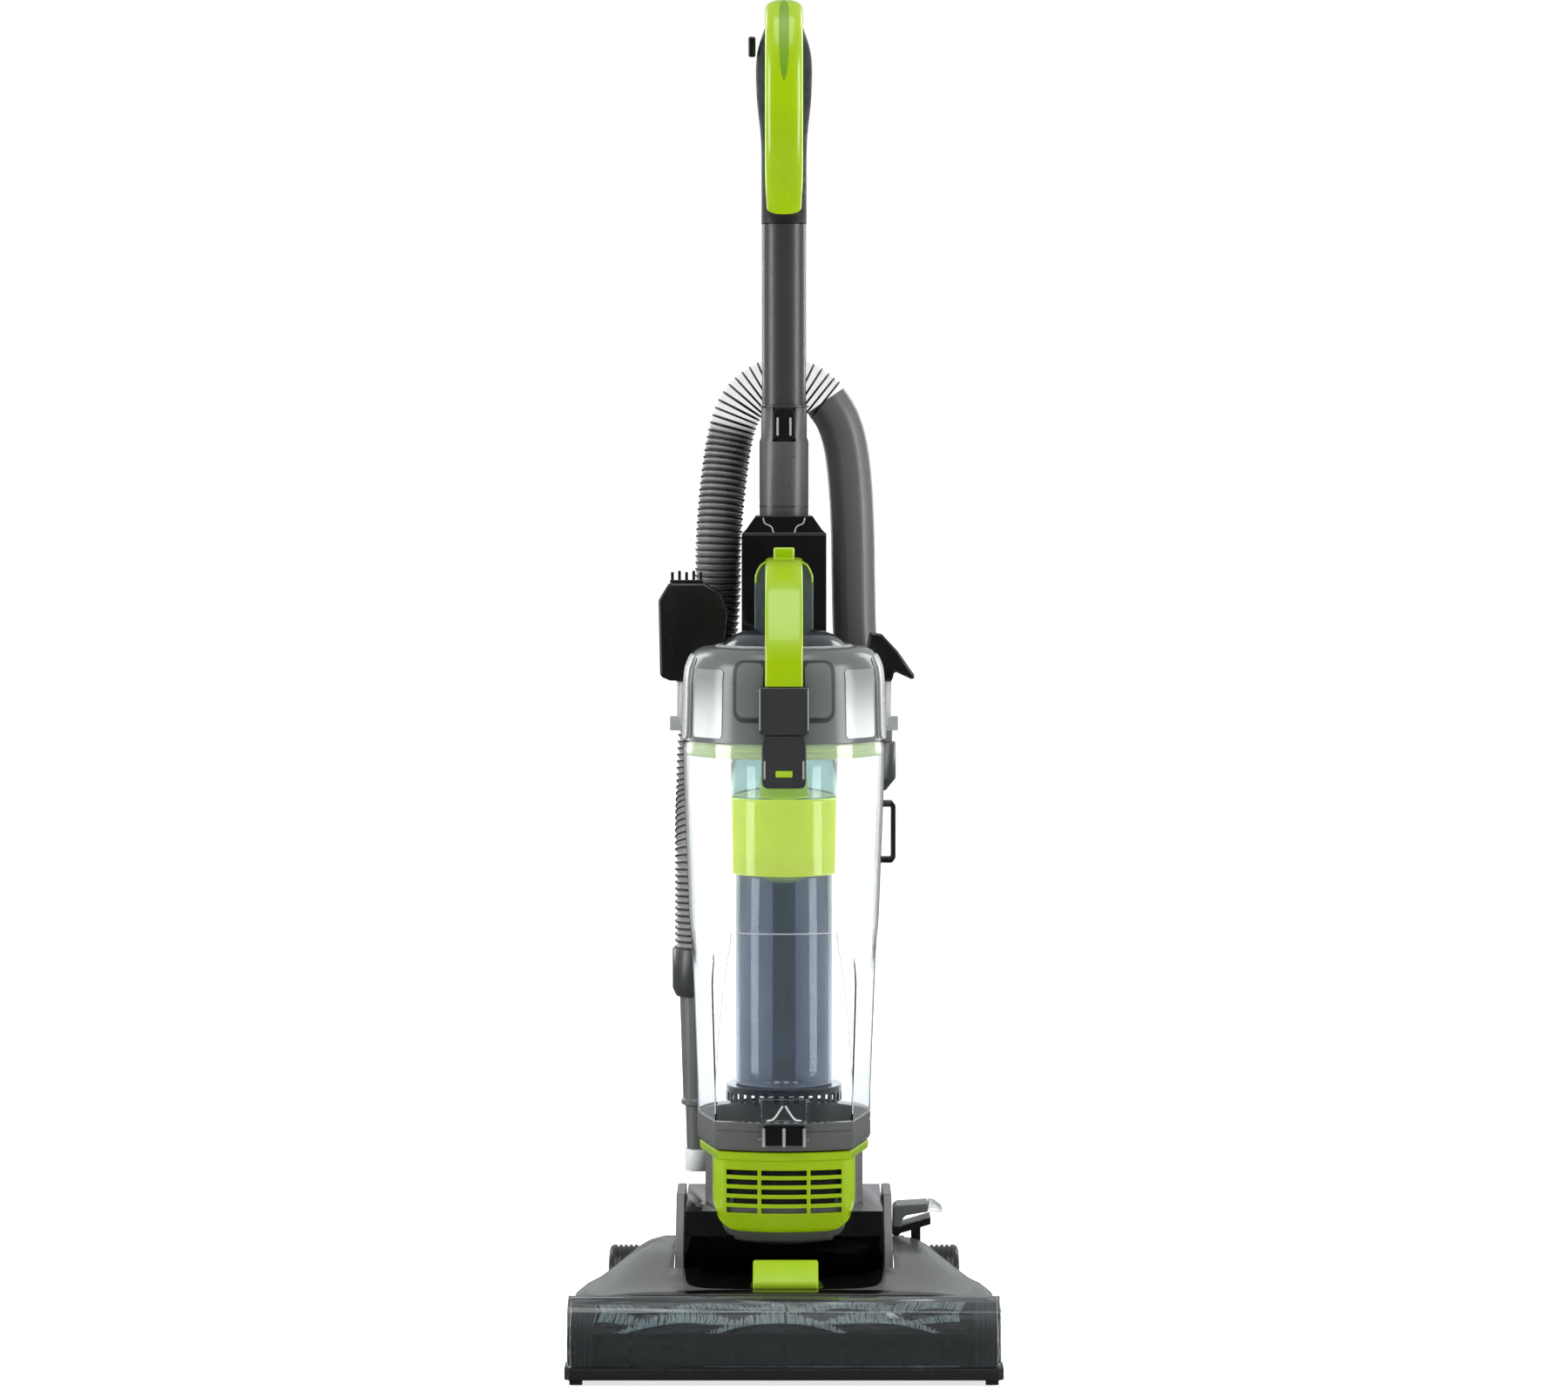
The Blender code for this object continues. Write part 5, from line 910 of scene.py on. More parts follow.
for name, side in SIDES:
    points = [(side * 1.0 * MM, buckle_front + 1.2 * MM, buckle_high.z - 7 * MM),
              (side * 8.0 * MM, buckle_front + 1.2 * MM, DOOR_TOP + 5 * MM),
              (side * 13.5 * MM, buckle_front + 1.2 * MM, DOOR_TOP + 3.5 * MM)]
    rib = swept("buckle_v_" + name, spline(points, 4), [oval(0.7 * MM, 0.7 * MM, 8)] * 9,
                (0, 1, 0))
    placed(rib, "door_buckle", WHITE_ABS, slot="white")
block = lozenge(17.0 * MM, DOOR_BASE + 6.0 * MM, DOOR_TOP - 1.0 * MM, 3 * MM)
placed(plate("catch_block", block, DOOR_FACE - 3.2 * MM, DOOR_FACE + 1.0 * MM), "bin_door",
       BLACK_ABS, slot="black")
CATCH_RIB_SPACING = 16.1 * MM
for k in range(3):
    outline = lozenge(1.2 * MM, DOOR_BASE + 5.0 * MM, DOOR_TOP - 3.0 * MM, 0.8 * MM, 3,
                      (k - 1) * CATCH_RIB_SPACING)
    rib = plate("catch_rib_%d" % k, outline, DOOR_FACE - 3.9 * MM, DOOR_FACE - 2.0 * MM,
                soft=0.2 * MM)
    placed(rib, "bin_door", SILVER_ABS, slot="grey")
HINGE_HALF = 11.8 * MM
hinge = plate("door_hinge_eye", [(-HINGE_HALF, DOOR_TOP - 9.8 * MM),
                                 (HINGE_HALF, DOOR_TOP - 9.8 * MM),
                                 (HINGE_HALF, DOOR_TOP), (-HINGE_HALF, DOOR_TOP)],
              DOOR_RADIUS - 1.8 * MM, DOOR_RADIUS + 4.3 * MM, soft=1 * MM)
placed(hinge, "bin_door", GREY_ABS, "bin_door", slot="grey")
print("door height in mm:", round((DOOR_TOP - DOOR_BASE) / MM, 1))

# %% [markdown]
# ## Cyclone
#
# Dirty air enters at the smoky cap, spins inside the lime band, and clean air goes up the
# neck again. The long tube below is tinted blue-grey and has a dark foam core.

# %% Cyclone cap, band and tube
CAP_LOW = BIN_TOP - 46 * MM
BAND_LOW = CAP_LOW - 61 * MM
CAP_RADIUS = BIN_RADIUS * 0.543
BAND_RADIUS = BIN_RADIUS * 0.555
TUBE_BODY = BIN_RADIUS * 0.484
TUBE_LOW = BIN_BASE + 24 * MM


def translucent(name, colour, core, roughness, transmission, streak, seed=0.0):
    """Tinted plastic whose colour drifts between a pale and a deep tone in long streaks."""
    material, tree, shader = blank_material(name)
    coordinates = add(tree, "ShaderNodeTexCoord")
    place = add(tree, "ShaderNodeMapping", {"Vector": coordinates.outputs["Object"],
                "Location": (seed, seed, seed), "Scale": (1.0, 1.0, streak)})
    cloud = add(tree, "ShaderNodeTexNoise", {"Vector": place.outputs["Vector"], "Scale": 55.0,
                "Detail": 3.0, "Roughness": 0.55})
    tone = add(tree, "ShaderNodeMix", {"Factor": cloud.outputs["Fac"], "A": hex_colour(colour),
               "B": hex_colour(core)}, data_type="RGBA")
    gloss = add(tree, "ShaderNodeMapRange", {"Value": cloud.outputs["Fac"], "To Min": roughness,
                "To Max": roughness * 1.8})
    tree.links.new(tone.outputs["Result"], shader.inputs["Base Color"])
    tree.links.new(gloss.outputs["Result"], shader.inputs["Roughness"])
    shader.inputs["Transmission Weight"].default_value = transmission
    shader.inputs["IOR"].default_value = 1.49
    shader.inputs["Coat Weight"].default_value = 0.3
    shader.inputs["Coat Roughness"].default_value = 0.05
    return material


LIME_GLASS = lit_inside(translucent("translucent_lime_styrene", "DCEB6E", "C6DC3C", 0.12, 0.30,
                                    0.3, 0.2), "DCEC7A", 0.38)
PALE_LIME = lit_inside(translucent("pale_lime_styrene", "D3EB8E", "C3E070", 0.15, 0.45, 0.3, 0.6),
                       "D8F09A", 0.45)
SMOKE_TUBE = lit_inside(translucent("smoke_blue_styrene", "A6AEBA", "7F8997", 0.06, 0.80, 0.12,
                                    1.0), "8D98A8", 0.10)
DARK_SMOKE = translucent("dark_smoke_styrene", "3F4750", "2B3138", 0.12, 0.45, 0.2, 1.4)
NAVY_FOAM = moulded("navy_filter_foam", "1F2740", "141A2E", 0.8, 1.0, seed=2.4)

top = BIN_TOP - 0.3 * MM
cap = [(flange - 5.6 * MM, top), (flange - 5.6 * MM, top - 2 * MM),
       (CAP_RADIUS - 1 * MM, top - 2.4 * MM), (CAP_RADIUS, top - 4 * MM),
       (CAP_RADIUS, CAP_LOW + 1.4 * MM), (CAP_RADIUS - 1.0 * MM, CAP_LOW + 0.4 * MM),
       (CAP_RADIUS - 3.0 * MM, CAP_LOW + 0.4 * MM), (CAP_RADIUS - 3.0 * MM, top - 4.4 * MM),
       (15 * MM, top - 4.4 * MM), (15 * MM, top)]
placed(turned("cyclone_cap_moulding", cap, 128), "dust_bin", TEAL_PC, "cyclone_cap",
       slot="teal_smoke")
collar = [(15.2 * MM, CAP_LOW + 0.5 * MM), (19.4 * MM, CAP_LOW + 0.5 * MM),
          (19.4 * MM, CAP_LOW + 13 * MM), (18.4 * MM, CAP_LOW + 14 * MM),
          (15.2 * MM, CAP_LOW + 14 * MM)]
placed(turned("cyclone_collar", collar, 96), "dust_bin", LIME_GLASS, slot="lime")

BAND_WALL = 2.4 * MM
GROOVE_PITCH = 7.4 * MM
band = [(15.5 * MM, CAP_LOW), (BAND_RADIUS - 1.2 * MM, CAP_LOW),
        (BAND_RADIUS, CAP_LOW - 1.2 * MM)]
for step in range(1, 8):
    z = CAP_LOW - step * GROOVE_PITCH
    band += [(BAND_RADIUS, z + 0.5 * MM), (BAND_RADIUS, z - 0.5 * MM)]
band += [(BAND_RADIUS, BAND_LOW + 1.2 * MM), (BAND_RADIUS - 1.0 * MM, BAND_LOW + 0.2 * MM),
         (TUBE_BODY + 0.8 * MM, BAND_LOW + 0.2 * MM), (TUBE_BODY + 0.8 * MM, BAND_LOW + 2 * MM),
         (BAND_RADIUS - BAND_WALL, BAND_LOW + 4 * MM), (BAND_RADIUS - BAND_WALL, CAP_LOW - 3 * MM),
         (15.5 * MM, CAP_LOW - 3 * MM)]
placed(turned("cyclone_lime_band", band, 128), "dust_bin", LIME_GLASS, "cyclone_band",
       slot="lime")
tube = [(TUBE_BODY - 2.6 * MM, BAND_LOW + 9.6 * MM), (TUBE_BODY - 0.4 * MM, BAND_LOW + 9.6 * MM),
        (TUBE_BODY, BAND_LOW + 9.0 * MM), (TUBE_BODY, TUBE_LOW + 1.0 * MM),
        (TUBE_BODY - 1.0 * MM, TUBE_LOW + 0.2 * MM), (20.2 * MM, TUBE_LOW + 0.2 * MM),
        (20.2 * MM, TUBE_LOW + 1.8 * MM), (TUBE_BODY - 2.6 * MM, TUBE_LOW + 1.8 * MM)]
placed(turned("cyclone_smoke_tube", tube, 128), "dust_bin", SMOKE_TUBE, "cyclone_tube",
       slot="smoke")
neck_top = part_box("cyclone_pipe")[1].z
NECK = 19.4 * MM
neck_end = BAND_LOW - 8.5 * MM
pale_neck = [(0.1 * MM, neck_top - 0.4 * MM), (NECK - 0.8 * MM, neck_top - 0.4 * MM),
             (NECK, neck_top - 1.2 * MM), (NECK, neck_end + 2 * MM), (NECK - 2 * MM, neck_end),
             (9.4 * MM, neck_end - 3 * MM), (0.1 * MM, neck_end - 3 * MM)]
placed(turned("cyclone_neck", pale_neck, 96), "dust_bin", PALE_LIME, slot="lime")
CORE_REACH = 9.3 * MM
core = [(0.1 * MM, neck_end - 3.2 * MM), (CORE_REACH, neck_end - 3.2 * MM),
        (CORE_REACH, TUBE_LOW + 3 * MM), (0.1 * MM, TUBE_LOW + 3 * MM)]
placed(turned("cyclone_core", core, 64), "dust_bin", NAVY_FOAM, "cyclone_pipe", slot="foam")
print("cyclone tube height in mm:", round((BAND_LOW - TUBE_LOW) / MM, 1))

# %% [markdown]
# A castellated ring closes the bottom of the tube. Its teeth let the air turn back up.

# %% Castellated ring, tube marks
skirt_top = TUBE_LOW - 0.3 * MM
skirt_out = TUBE_BODY + 7.8 * MM
profile = [(25 * MM, skirt_top), (skirt_out - 0.6 * MM, skirt_top),
           (skirt_out, skirt_top - 0.6 * MM),
           (skirt_out, skirt_top - 5.2 * MM), (skirt_out - 2 * MM, skirt_top - 5.2 * MM),
           (skirt_out - 2 * MM, skirt_top - 2 * MM), (25 * MM, skirt_top - 2 * MM)]
placed(turned("skirt_ring", profile, 128), "dust_bin", DARK_SMOKE, "cyclone_skirt", slot="smoke")
TEETH = 36
teeth_vertices, teeth_faces = [], []
for k in range(TEETH):
    a = 2 * math.pi * k / TEETH
    b = a + math.pi / TEETH
    start = len(teeth_vertices)
    for z in (skirt_top - 5.0 * MM, skirt_top - 12.8 * MM):
        for radius, turn in ((skirt_out - 1.9 * MM, a), (skirt_out - 0.1 * MM, a),
                             (skirt_out - 0.1 * MM, b), (skirt_out - 1.9 * MM, b)):
            teeth_vertices.append((radius * math.cos(turn), radius * math.sin(turn), z))
    for face in ((0, 1, 2, 3), (4, 7, 6, 5), (0, 4, 5, 1), (1, 5, 6, 2), (2, 6, 7, 3),
                 (3, 7, 4, 0)):
        teeth_faces.append(tuple(start + i for i in face))
teeth = piece_from("skirt_teeth", teeth_vertices, teeth_faces, smooth=False)
placed(teeth, "dust_bin", DARK_SMOKE, slot="smoke")
for k, (half_width, low, high, depth) in enumerate(((7.6, 22, 45, 0.5), (0.4, 48, 105, 0.35))):
    mark = plate("tube_mark_%d" % k, lozenge(half_width * MM, TUBE_LOW + low * MM,
                 TUBE_LOW + high * MM, half_width * 0.98 * MM, 8),
                 -TUBE_BODY - depth * MM, -TUBE_BODY + 1.4 * MM, soft=0.15 * MM)
    placed(mark, "dust_bin", SMOKE_TUBE, slot="smoke")
print("skirt teeth:", TEETH)

# %% [markdown]
# Where the two corners of the front face fade out, white frosted strips down each side and a
# fine line across are painted highlights along the facet corners. A thin sheet behind the cyclone
# glows as painted light and stands for the light that the thick clear wall scatters back.

# %% Frosted edges and liner
# Painted highlight: white frosted strips stand for the highlights along the facet corners and across their
# top.
FACET_HIGHLIGHT = polished_clear("painted_facet_highlight", "FFFFFF", 0.45, 0.35, seed=2.2)
FACET_TOP = 151 * MM
FACET_STEPS = 24
# Painted glow: a white sheet glows behind the cyclone and stands for light scattered back by the clear
# wall.
REAR_GLOW = lit_inside(polished_clear("painted_rear_glow", "FFFFFF", 0.55, 0.45, seed=2.6),
                          "F6FAFF", 0.62)


def wall_point(turn, height, lift=0.0):
    """A point on the clear wall, at an angle from the front."""
    angle = math.radians(turn) - math.pi / 2
    reach = (wall_radius(height) + lift) * faced_section(angle, height)
    return (reach * math.cos(angle), reach * math.sin(angle), height)


def two_layers(name, layers, rows, columns):
    """Close a thin sheet: two grids of points, row by row, joined round their border."""
    wide = columns + 1
    layer = wide * (rows + 1)
    faces = []
    for i in range(rows):
        for j in range(columns):
            a = i * wide + j
            faces.append((a, a + 1, a + 1 + wide, a + wide))
            faces.append((layer + a, layer + a + wide, layer + a + 1 + wide, layer + a + 1))
    border = list(range(columns)) + [i * wide + columns for i in range(rows)]
    border += [rows * wide + j for j in range(columns, 0, -1)]
    border += [i * wide for i in range(rows, 0, -1)]
    for k, a in enumerate(border):
        b = border[(k + 1) % len(border)]
        faces.append((a, b, layer + b, layer + a))
    return piece_from(name, layers, faces)


for name, side in SIDES:
    path, outlines = [], []
    for k in range(FACET_STEPS + 1):
        share = k / FACET_STEPS
        path.append(wall_point(side * (45 - 12 * share ** 1.5),
                               BIN_BASE + 6 * MM + (FACET_TOP - 6 * MM) * share, -0.1 * MM))
        outlines.append(oval((1.1 + 2.4 * ease(share, 0.86, 0.97)) * MM, 0.45 * MM, 12))
    edge = swept("facet_highlight_" + name, path, outlines, (0, 1, 0))
    placed(edge, "dust_bin", FACET_HIGHLIGHT, slot="clear")
level = [wall_point(turn, BIN_BASE + FACET_TOP, -0.1 * MM) for turn in range(-32, 33, 2)]
placed(swept("facet_top_highlight", level, [oval(0.35 * MM, 0.3 * MM, 8)] * len(level), (0, 0, 1)),
       "dust_bin", FACET_HIGHLIGHT, slot="clear")
rear_rows, rear_columns = 24, 72
LINER_START, LINER_SWEEP = 100, 160      # degrees round from the front
liner = []
for offset in (WALL + 0.5 * MM, WALL + 1.7 * MM):
    for i in range(rear_rows + 1):
        height = BIN_BASE + 3 * MM + (BIN_TOP - BIN_BASE - 18 * MM) * i / rear_rows
        for j in range(rear_columns + 1):
            liner.append(wall_point(LINER_START + LINER_SWEEP * j / rear_columns, height, -offset))
liner_piece = two_layers("painted_glow_liner", liner, rear_rows, rear_columns)
placed(liner_piece, "dust_bin", REAR_GLOW, slot="white")
print("liner faces:", len(liner_piece.data.polygons))


# %% [markdown]
# ## Handle
#
# The loop is two mouldings: a lime bar that curves forward and a black rubber grip behind
# it. Both follow a path in the side view, and each row says how wide and deep they are.

# %% Loop, grip and its inlay
LOOP_BASE = upper_tube_high.z
LOOP_HEIGHT = 180 * MM
LOOP_DEPTH = 76 * MM


def loop_rows(rows, steps):
    """Turn (depth, height, half width, half depth) rows into centres and outlines."""
    fine = spline([(TUBE_Y + y, LOOP_BASE + z * LOOP_HEIGHT, w, d) for y, z, w, d in rows], steps)
    centres = [Vector((0.0, row[0], row[1])) for row in fine]
    outlines = [oval(row[2] * 0.99, row[3] * 0.985, 40, 2.5) for row in fine]
    return centres, outlines


REAR_ROWS = [(0.0, 0.002, 0.0185, 0.0180), (0.0010, 0.16, 0.0185, 0.0165),
             (0.0100, 0.38, 0.0190, 0.0140), (0.0170, 0.58, 0.0225, 0.0140),
             (0.0160, 0.76, 0.0225, 0.0135), (0.0040, 0.88, 0.0160, 0.0095)]
D = LOOP_DEPTH
FRONT_ROWS = [(0.0060, 0.900, 0.0155, 0.0098), (-0.0140, 0.945, 0.0155, 0.0098),
              (-0.35 * D, 0.93, 0.0155, 0.0100), (-0.60 * D, 0.82, 0.0155, 0.0100),
              (-0.72 * D, 0.62, 0.0155, 0.0100), (-0.68 * D, 0.40, 0.0155, 0.0100),
              (-0.48 * D, 0.20, 0.0155, 0.0105), (-0.22 * D, 0.08, 0.0145, 0.0105)]
centres, outlines = loop_rows(REAR_ROWS, 8)
placed(swept("rubber_grip", centres, outlines, (1, 0, 0), 50), "handle", GRIP_RUBBER,
       "handle_grip", slot="black")
centres, outlines = loop_rows(FRONT_ROWS, 8)
placed(swept("lime_loop_bar", centres, outlines, (1, 0, 0), 50), "handle", LIME_ABS,
       "handle_front", slot="lime")
inlay_rows = centres[13:33]        # the part of the bar that the palm presses
inlay_outlines = []
for i in range(len(inlay_rows)):
    share = abs(2 * i / (len(inlay_rows) - 1) - 1)
    inlay_outlines.append(oval(8.6 * MM * math.sqrt(max(1 - share ** 4, 0.03)), 10.1 * MM, 24, 3))
DEEP_LIME = moulded("deep_lime_soft_inlay", "7AA60A", "6B9606", 0.40, 0.5, seed=2.8)
placed(swept("loop_inlay", inlay_rows, inlay_outlines, (1, 0, 0), 50), "handle", DEEP_LIME,
       slot="lime")
print("loop rows:", len(centres))

# %% [markdown]
# The tubes are drawn plastic: a smooth outer face with a shallow seam at each joint.

# %% Tubes, latch and collar
UPPER_RADIUS = 18 * MM


def tube_profile(radius, low, high, wall=3 * MM, soft=0.8 * MM):
    """Profile of a plain tube with rounded rims."""
    return [(radius - wall, low), (radius - soft, low), (radius, low + soft),
            (radius, high - soft), (radius - soft, high), (radius - wall, high)]


for name, radius, low, high, sides in (
        ("upper_tube_skin", UPPER_RADIUS, LOWER_TUBE_TOP + 0.4 * MM, LOOP_BASE, 96),
        ("spigot_skin", UPPER_RADIUS - 2 * MM, LOWER_TUBE_TOP - 60 * MM,
         LOWER_TUBE_TOP - 31 * MM, 64)):
    skin = turned(name, tube_profile(radius, low, high), sides, (0.0, TUBE_Y))
    placed(skin, "handle", TUBE_ABS, slot="dark_grey")
lower_radius = (lower_tube_high.x - lower_tube_low.x) / 2
latch_low, latch_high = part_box("tube_latch")
button = plate("latch_button", lozenge(latch_high.x, latch_low.z, latch_high.z, 2.4 * MM),
               latch_low.y + 0.6 * MM, latch_high.y, soft=0.7 * MM)
placed(button, "tube_latch", BLACK_ABS, "tube_latch", slot="black")
for name, side in SIDES:
    bar = plate("latch_bar_" + name,
                lozenge(0.9 * MM, latch_low.z + 4 * MM, latch_high.z - 7 * MM, 0.8 * MM, 3,
                        side * 5.2 * MM), latch_low.y + 0.05 * MM, latch_low.y + 1.6 * MM,
                soft=0.2 * MM)
    placed(bar, "tube_latch", SILVER_ABS, slot="grey")
for k, z in enumerate((LOWER_TUBE_TOP - 0.6 * MM, LOWER_TUBE_TOP - 82 * MM)):
    ring = [(lower_radius - 1 * MM, z - 1.2 * MM), (lower_radius + 0.25 * MM, z - 1.0 * MM),
            (lower_radius + 0.25 * MM, z + 0.1 * MM), (lower_radius - 1 * MM, z + 0.3 * MM)]
    placed(turned("tube_ring_%d" % k, ring, 96, (0.0, TUBE_Y)), "main_body", DARK_ABS,
           slot="dark_grey")
for node, width in (("tube_lower", 0.9), ("spine_shell", 1.6), ("handle_stand", 1.0),
                    ("bin_button", 0.8)):
    refined(node, width * MM)
stand_low, stand_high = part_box("handle_stand")
SHELL_FRONT = spine_low.y
top_z = spine_high.z
for name, side in SIDES:
    points = [(side * x * MM, SHELL_FRONT - 0.1 * MM, top_z + z * MM)
              for x, z in ((17.0, -1.5), (15.5, -6.0), (10.5, -8.5), (8.5, -13.5))]
    collar_line = swept("collar_line_" + name, spline(points, 4),
                        [oval(0.7 * MM, 0.6 * MM, 10)] * 13, (0, 1, 0))
    placed(collar_line, "main_body", SILVER_ABS, slot="grey")
band_z = top_z - 16 * MM
BAND_HALF = 34.2 * MM
spine_band = plate("spine_band", [(-BAND_HALF, band_z), (BAND_HALF, band_z),
                                  (BAND_HALF, band_z + 2.6 * MM), (-BAND_HALF, band_z + 2.6 * MM)],
                   SHELL_FRONT - 0.7 * MM, SHELL_FRONT + 0.8 * MM, soft=0.4 * MM)
placed(spine_band, "main_body", DARK_ABS, slot="dark_grey")
print("lower tube radius in mm:", round(lower_radius / MM, 1))

# %% [markdown]
# ## Carry handle
#
# A lime strap starts at the grey stand behind the lid, arches forward and ends at the
# dark arm that hooks the lid to the clear wall.

# %% Strap, stand rim and button
HANDLE_TOP = stand_high.z
STAND_FRONT = stand_low.y
ARM_TOP = BIN_TOP + 46 * MM
strap_rows = [(STAND_FRONT - 4.6 * MM, HANDLE_TOP - 30 * MM),
              (STAND_FRONT - 5.0 * MM, HANDLE_TOP - 15 * MM),
              (STAND_FRONT - 11 * MM, HANDLE_TOP - 4.5 * MM), (8 * MM, HANDLE_TOP - 3.5 * MM),
              (-20 * MM, HANDLE_TOP - 8 * MM), (-45 * MM, HANDLE_TOP - 24 * MM),
              (-BIN_RADIUS + 13 * MM, HANDLE_TOP - 48 * MM),
              (-BIN_RADIUS - 1 * MM, HANDLE_TOP - 72 * MM),
              (-BIN_RADIUS - 4.8 * MM, ARM_TOP + 10 * MM),
              (-BIN_RADIUS - 5.0 * MM, ARM_TOP + 0.6 * MM)]
strap_line = spline([(0.0, y, z) for y, z in strap_rows], 8)
placed(swept("lime_strap", strap_line, [oval(14.8 * MM, 4.1 * MM, 40, 5.0)] * len(strap_line),
             (1, 0, 0), 40), "dust_bin", LIME_ABS, "carry_handle", slot="lime")
rim_points = [(-22.6 * MM, -20 * MM), (-22.0 * MM, -13 * MM), (-18.0 * MM, -5.6 * MM),
              (-10.2 * MM, -1.2 * MM)]
for name, side in SIDES:
    points = [(-side * x, STAND_FRONT - 0.1 * MM, HANDLE_TOP + z) for x, z in rim_points]
    rim_line = spline(points, 5)
    rim_bar = swept("stand_rim_" + name, rim_line,
                    [oval(1.1 * MM, 0.9 * MM, 12)] * len(rim_line), (0, 1, 0))
    placed(rim_bar, "dust_bin", LIME_ABS, slot="lime")
print("strap points:", len(strap_line))

# %% [markdown]
# ## Lid and latch arm
#
# Thin curved plates that lie on a turned face make the shoulder frame, the recesses beside
# the arm and the raised panels.

# %% Curved plates on the lid
def patch(name, radius_at, middle, half_width, low, high, corner, lift, rows=16, columns=14):
    """A thin curved plate with round corners that lies on a turned surface."""
    grid = []
    for offset in (-0.9 * MM, lift):
        for i in range(rows + 1):
            share = (1 - math.cos(math.pi * i / rows)) / 2
            z = low + (high - low) * share
            edge = min(z - low, high - z)
            width = half_width
            if edge < corner:
                width -= corner - math.sqrt(max(corner ** 2 - (corner - edge) ** 2, 0.0))
            radius = radius_at(z) + offset
            for j in range(columns + 1):
                angle = middle + (2 * j / columns - 1) * width / radius
                grid.append((radius * math.cos(angle), radius * math.sin(angle), z))
    return sharpen(two_layers(name, grid, rows, columns), 40)


LID_BASE = BIN_TOP + 0.3 * MM
LID_TOP = BIN_TOP + 74.5 * MM
DOME_RADIUS = BIN_RADIUS * 0.645
LID_PROFILE = [(BIN_RADIUS - 0.4 * MM, LID_BASE), (BIN_RADIUS, LID_BASE + 0.4 * MM),
               (BIN_RADIUS - 0.5 * MM, LID_BASE + 8 * MM),
               (BIN_RADIUS - 1.1 * MM, LID_BASE + 30 * MM),
               (BIN_RADIUS - 1.5 * MM, LID_BASE + 50 * MM),
               (BIN_RADIUS - 3.0 * MM, LID_BASE + 59 * MM),
               (BIN_RADIUS - 6 * MM, LID_TOP - 8 * MM), (BIN_RADIUS - 10 * MM, LID_TOP - 3.4 * MM),
               (BIN_RADIUS - 15 * MM, LID_TOP - 1 * MM), (BIN_RADIUS - 22.5 * MM, LID_TOP)]


def lid_radius(height):
    """Radius of the lid's outer face at a height."""
    for (r0, z0), (r1, z1) in zip(LID_PROFILE, LID_PROFILE[1:]):
        if z0 <= height <= z1:
            return r0 + (r1 - r0) * (height - z0) / (z1 - z0)
    return LID_PROFILE[-1][0]


underside = [(DOME_RADIUS + 0.6 * MM, LID_TOP - 3 * MM),
             (DOME_RADIUS + 0.6 * MM, LID_TOP - 7 * MM),
             (DOME_RADIUS - 4 * MM, LID_TOP - 7 * MM), (DOME_RADIUS - 4 * MM, LID_TOP - 10 * MM),
             (BIN_RADIUS - 16 * MM, LID_TOP - 6 * MM), (BIN_RADIUS - 9.5 * MM, LID_TOP - 12 * MM),
             (BIN_RADIUS - 5 * MM, LID_BASE + 49 * MM), (BIN_RADIUS - 9 * MM, LID_BASE)]
placed(turned("lid_moulding", LID_PROFILE + underside, 128), "dust_bin", SHOULDER_ABS, "bin_lid",
       slot="light_grey")
print("lid height in mm:", round((LID_TOP - LID_BASE) / MM, 1))


# %% Raised panels
FRONT = -math.pi / 2               # the angle that faces the front


def panel_highlight_finish():
    """Glossy lid panel with a painted highlight: near white at its foot, deepening to grey towards the
    dome.
    """
    material, tree, shader = blank_material("pearl_grey_abs_painted_highlight")
    coordinates = add(tree, "ShaderNodeTexCoord").outputs["Object"]
    axes = add(tree, "ShaderNodeSeparateXYZ", {"Vector": coordinates})
    climb = add(tree, "ShaderNodeMapRange", {"Value": axes.outputs["Z"], "From Min": LID_BASE,
                "From Max": LID_TOP - 8 * MM}, interpolation_type="SMOOTHSTEP")
    cloud = add(tree, "ShaderNodeTexNoise", {"Vector": coordinates, "Scale": 14.0, "Detail": 2.0})
    blend = add(tree, "ShaderNodeMath", {0: cloud.outputs["Fac"], 1: 0.25,
                2: climb.outputs["Result"]}, operation="MULTIPLY_ADD")
    # Painted highlight: near white low on the panel, fading to grey higher up, stands for the soft boxes'
    # reflection.
    tone = add(tree, "ShaderNodeMix", {"Factor": blend.outputs["Value"], "A": hex_colour("F2F4F4"),
               "B": hex_colour("8C908F")}, data_type="RGBA")
    tree.links.new(tone.outputs["Result"], shader.inputs["Base Color"])
    shader.inputs["Roughness"].default_value = 0.18
    shader.inputs["IOR"].default_value = ABS_IOR
    return material


PANEL_HIGHLIGHT_ABS = panel_highlight_finish()
LID_PLATES = [  # name, degrees from the front, half width, low, high, corner, lift, finish
    ("recess", 0.0, 42.0, 17, 66, 9.0, 0.3, DARK_ABS),
    ("recess_floor_left", -20.0, 11.0, 21, 64, 6.0, 0.6, SHOULDER_ABS),
    ("recess_floor_right", 20.0, 11.0, 21, 64, 6.0, 0.6, SHOULDER_ABS),
    ("panel_left", -50.0, 17.5, 4, 58, 3.0, 0.8, PANEL_HIGHLIGHT_ABS),
    ("panel_right", 50.0, 17.5, 4, 58, 3.0, 0.8, PANEL_HIGHLIGHT_ABS),
    ("shoulder_left", -86.0, 20.0, 1, 68, 5.0, 1.4, SILVER_ABS),
    ("shoulder_right", 86.0, 20.0, 1, 68, 5.0, 1.4, SILVER_ABS),
    ("seam_left", -68.0, 1.8, 2, 66, 1.6, 0.5, BLACK_ABS),
    ("seam_right", 68.0, 1.8, 2, 66, 1.6, 0.5, BLACK_ABS),
]
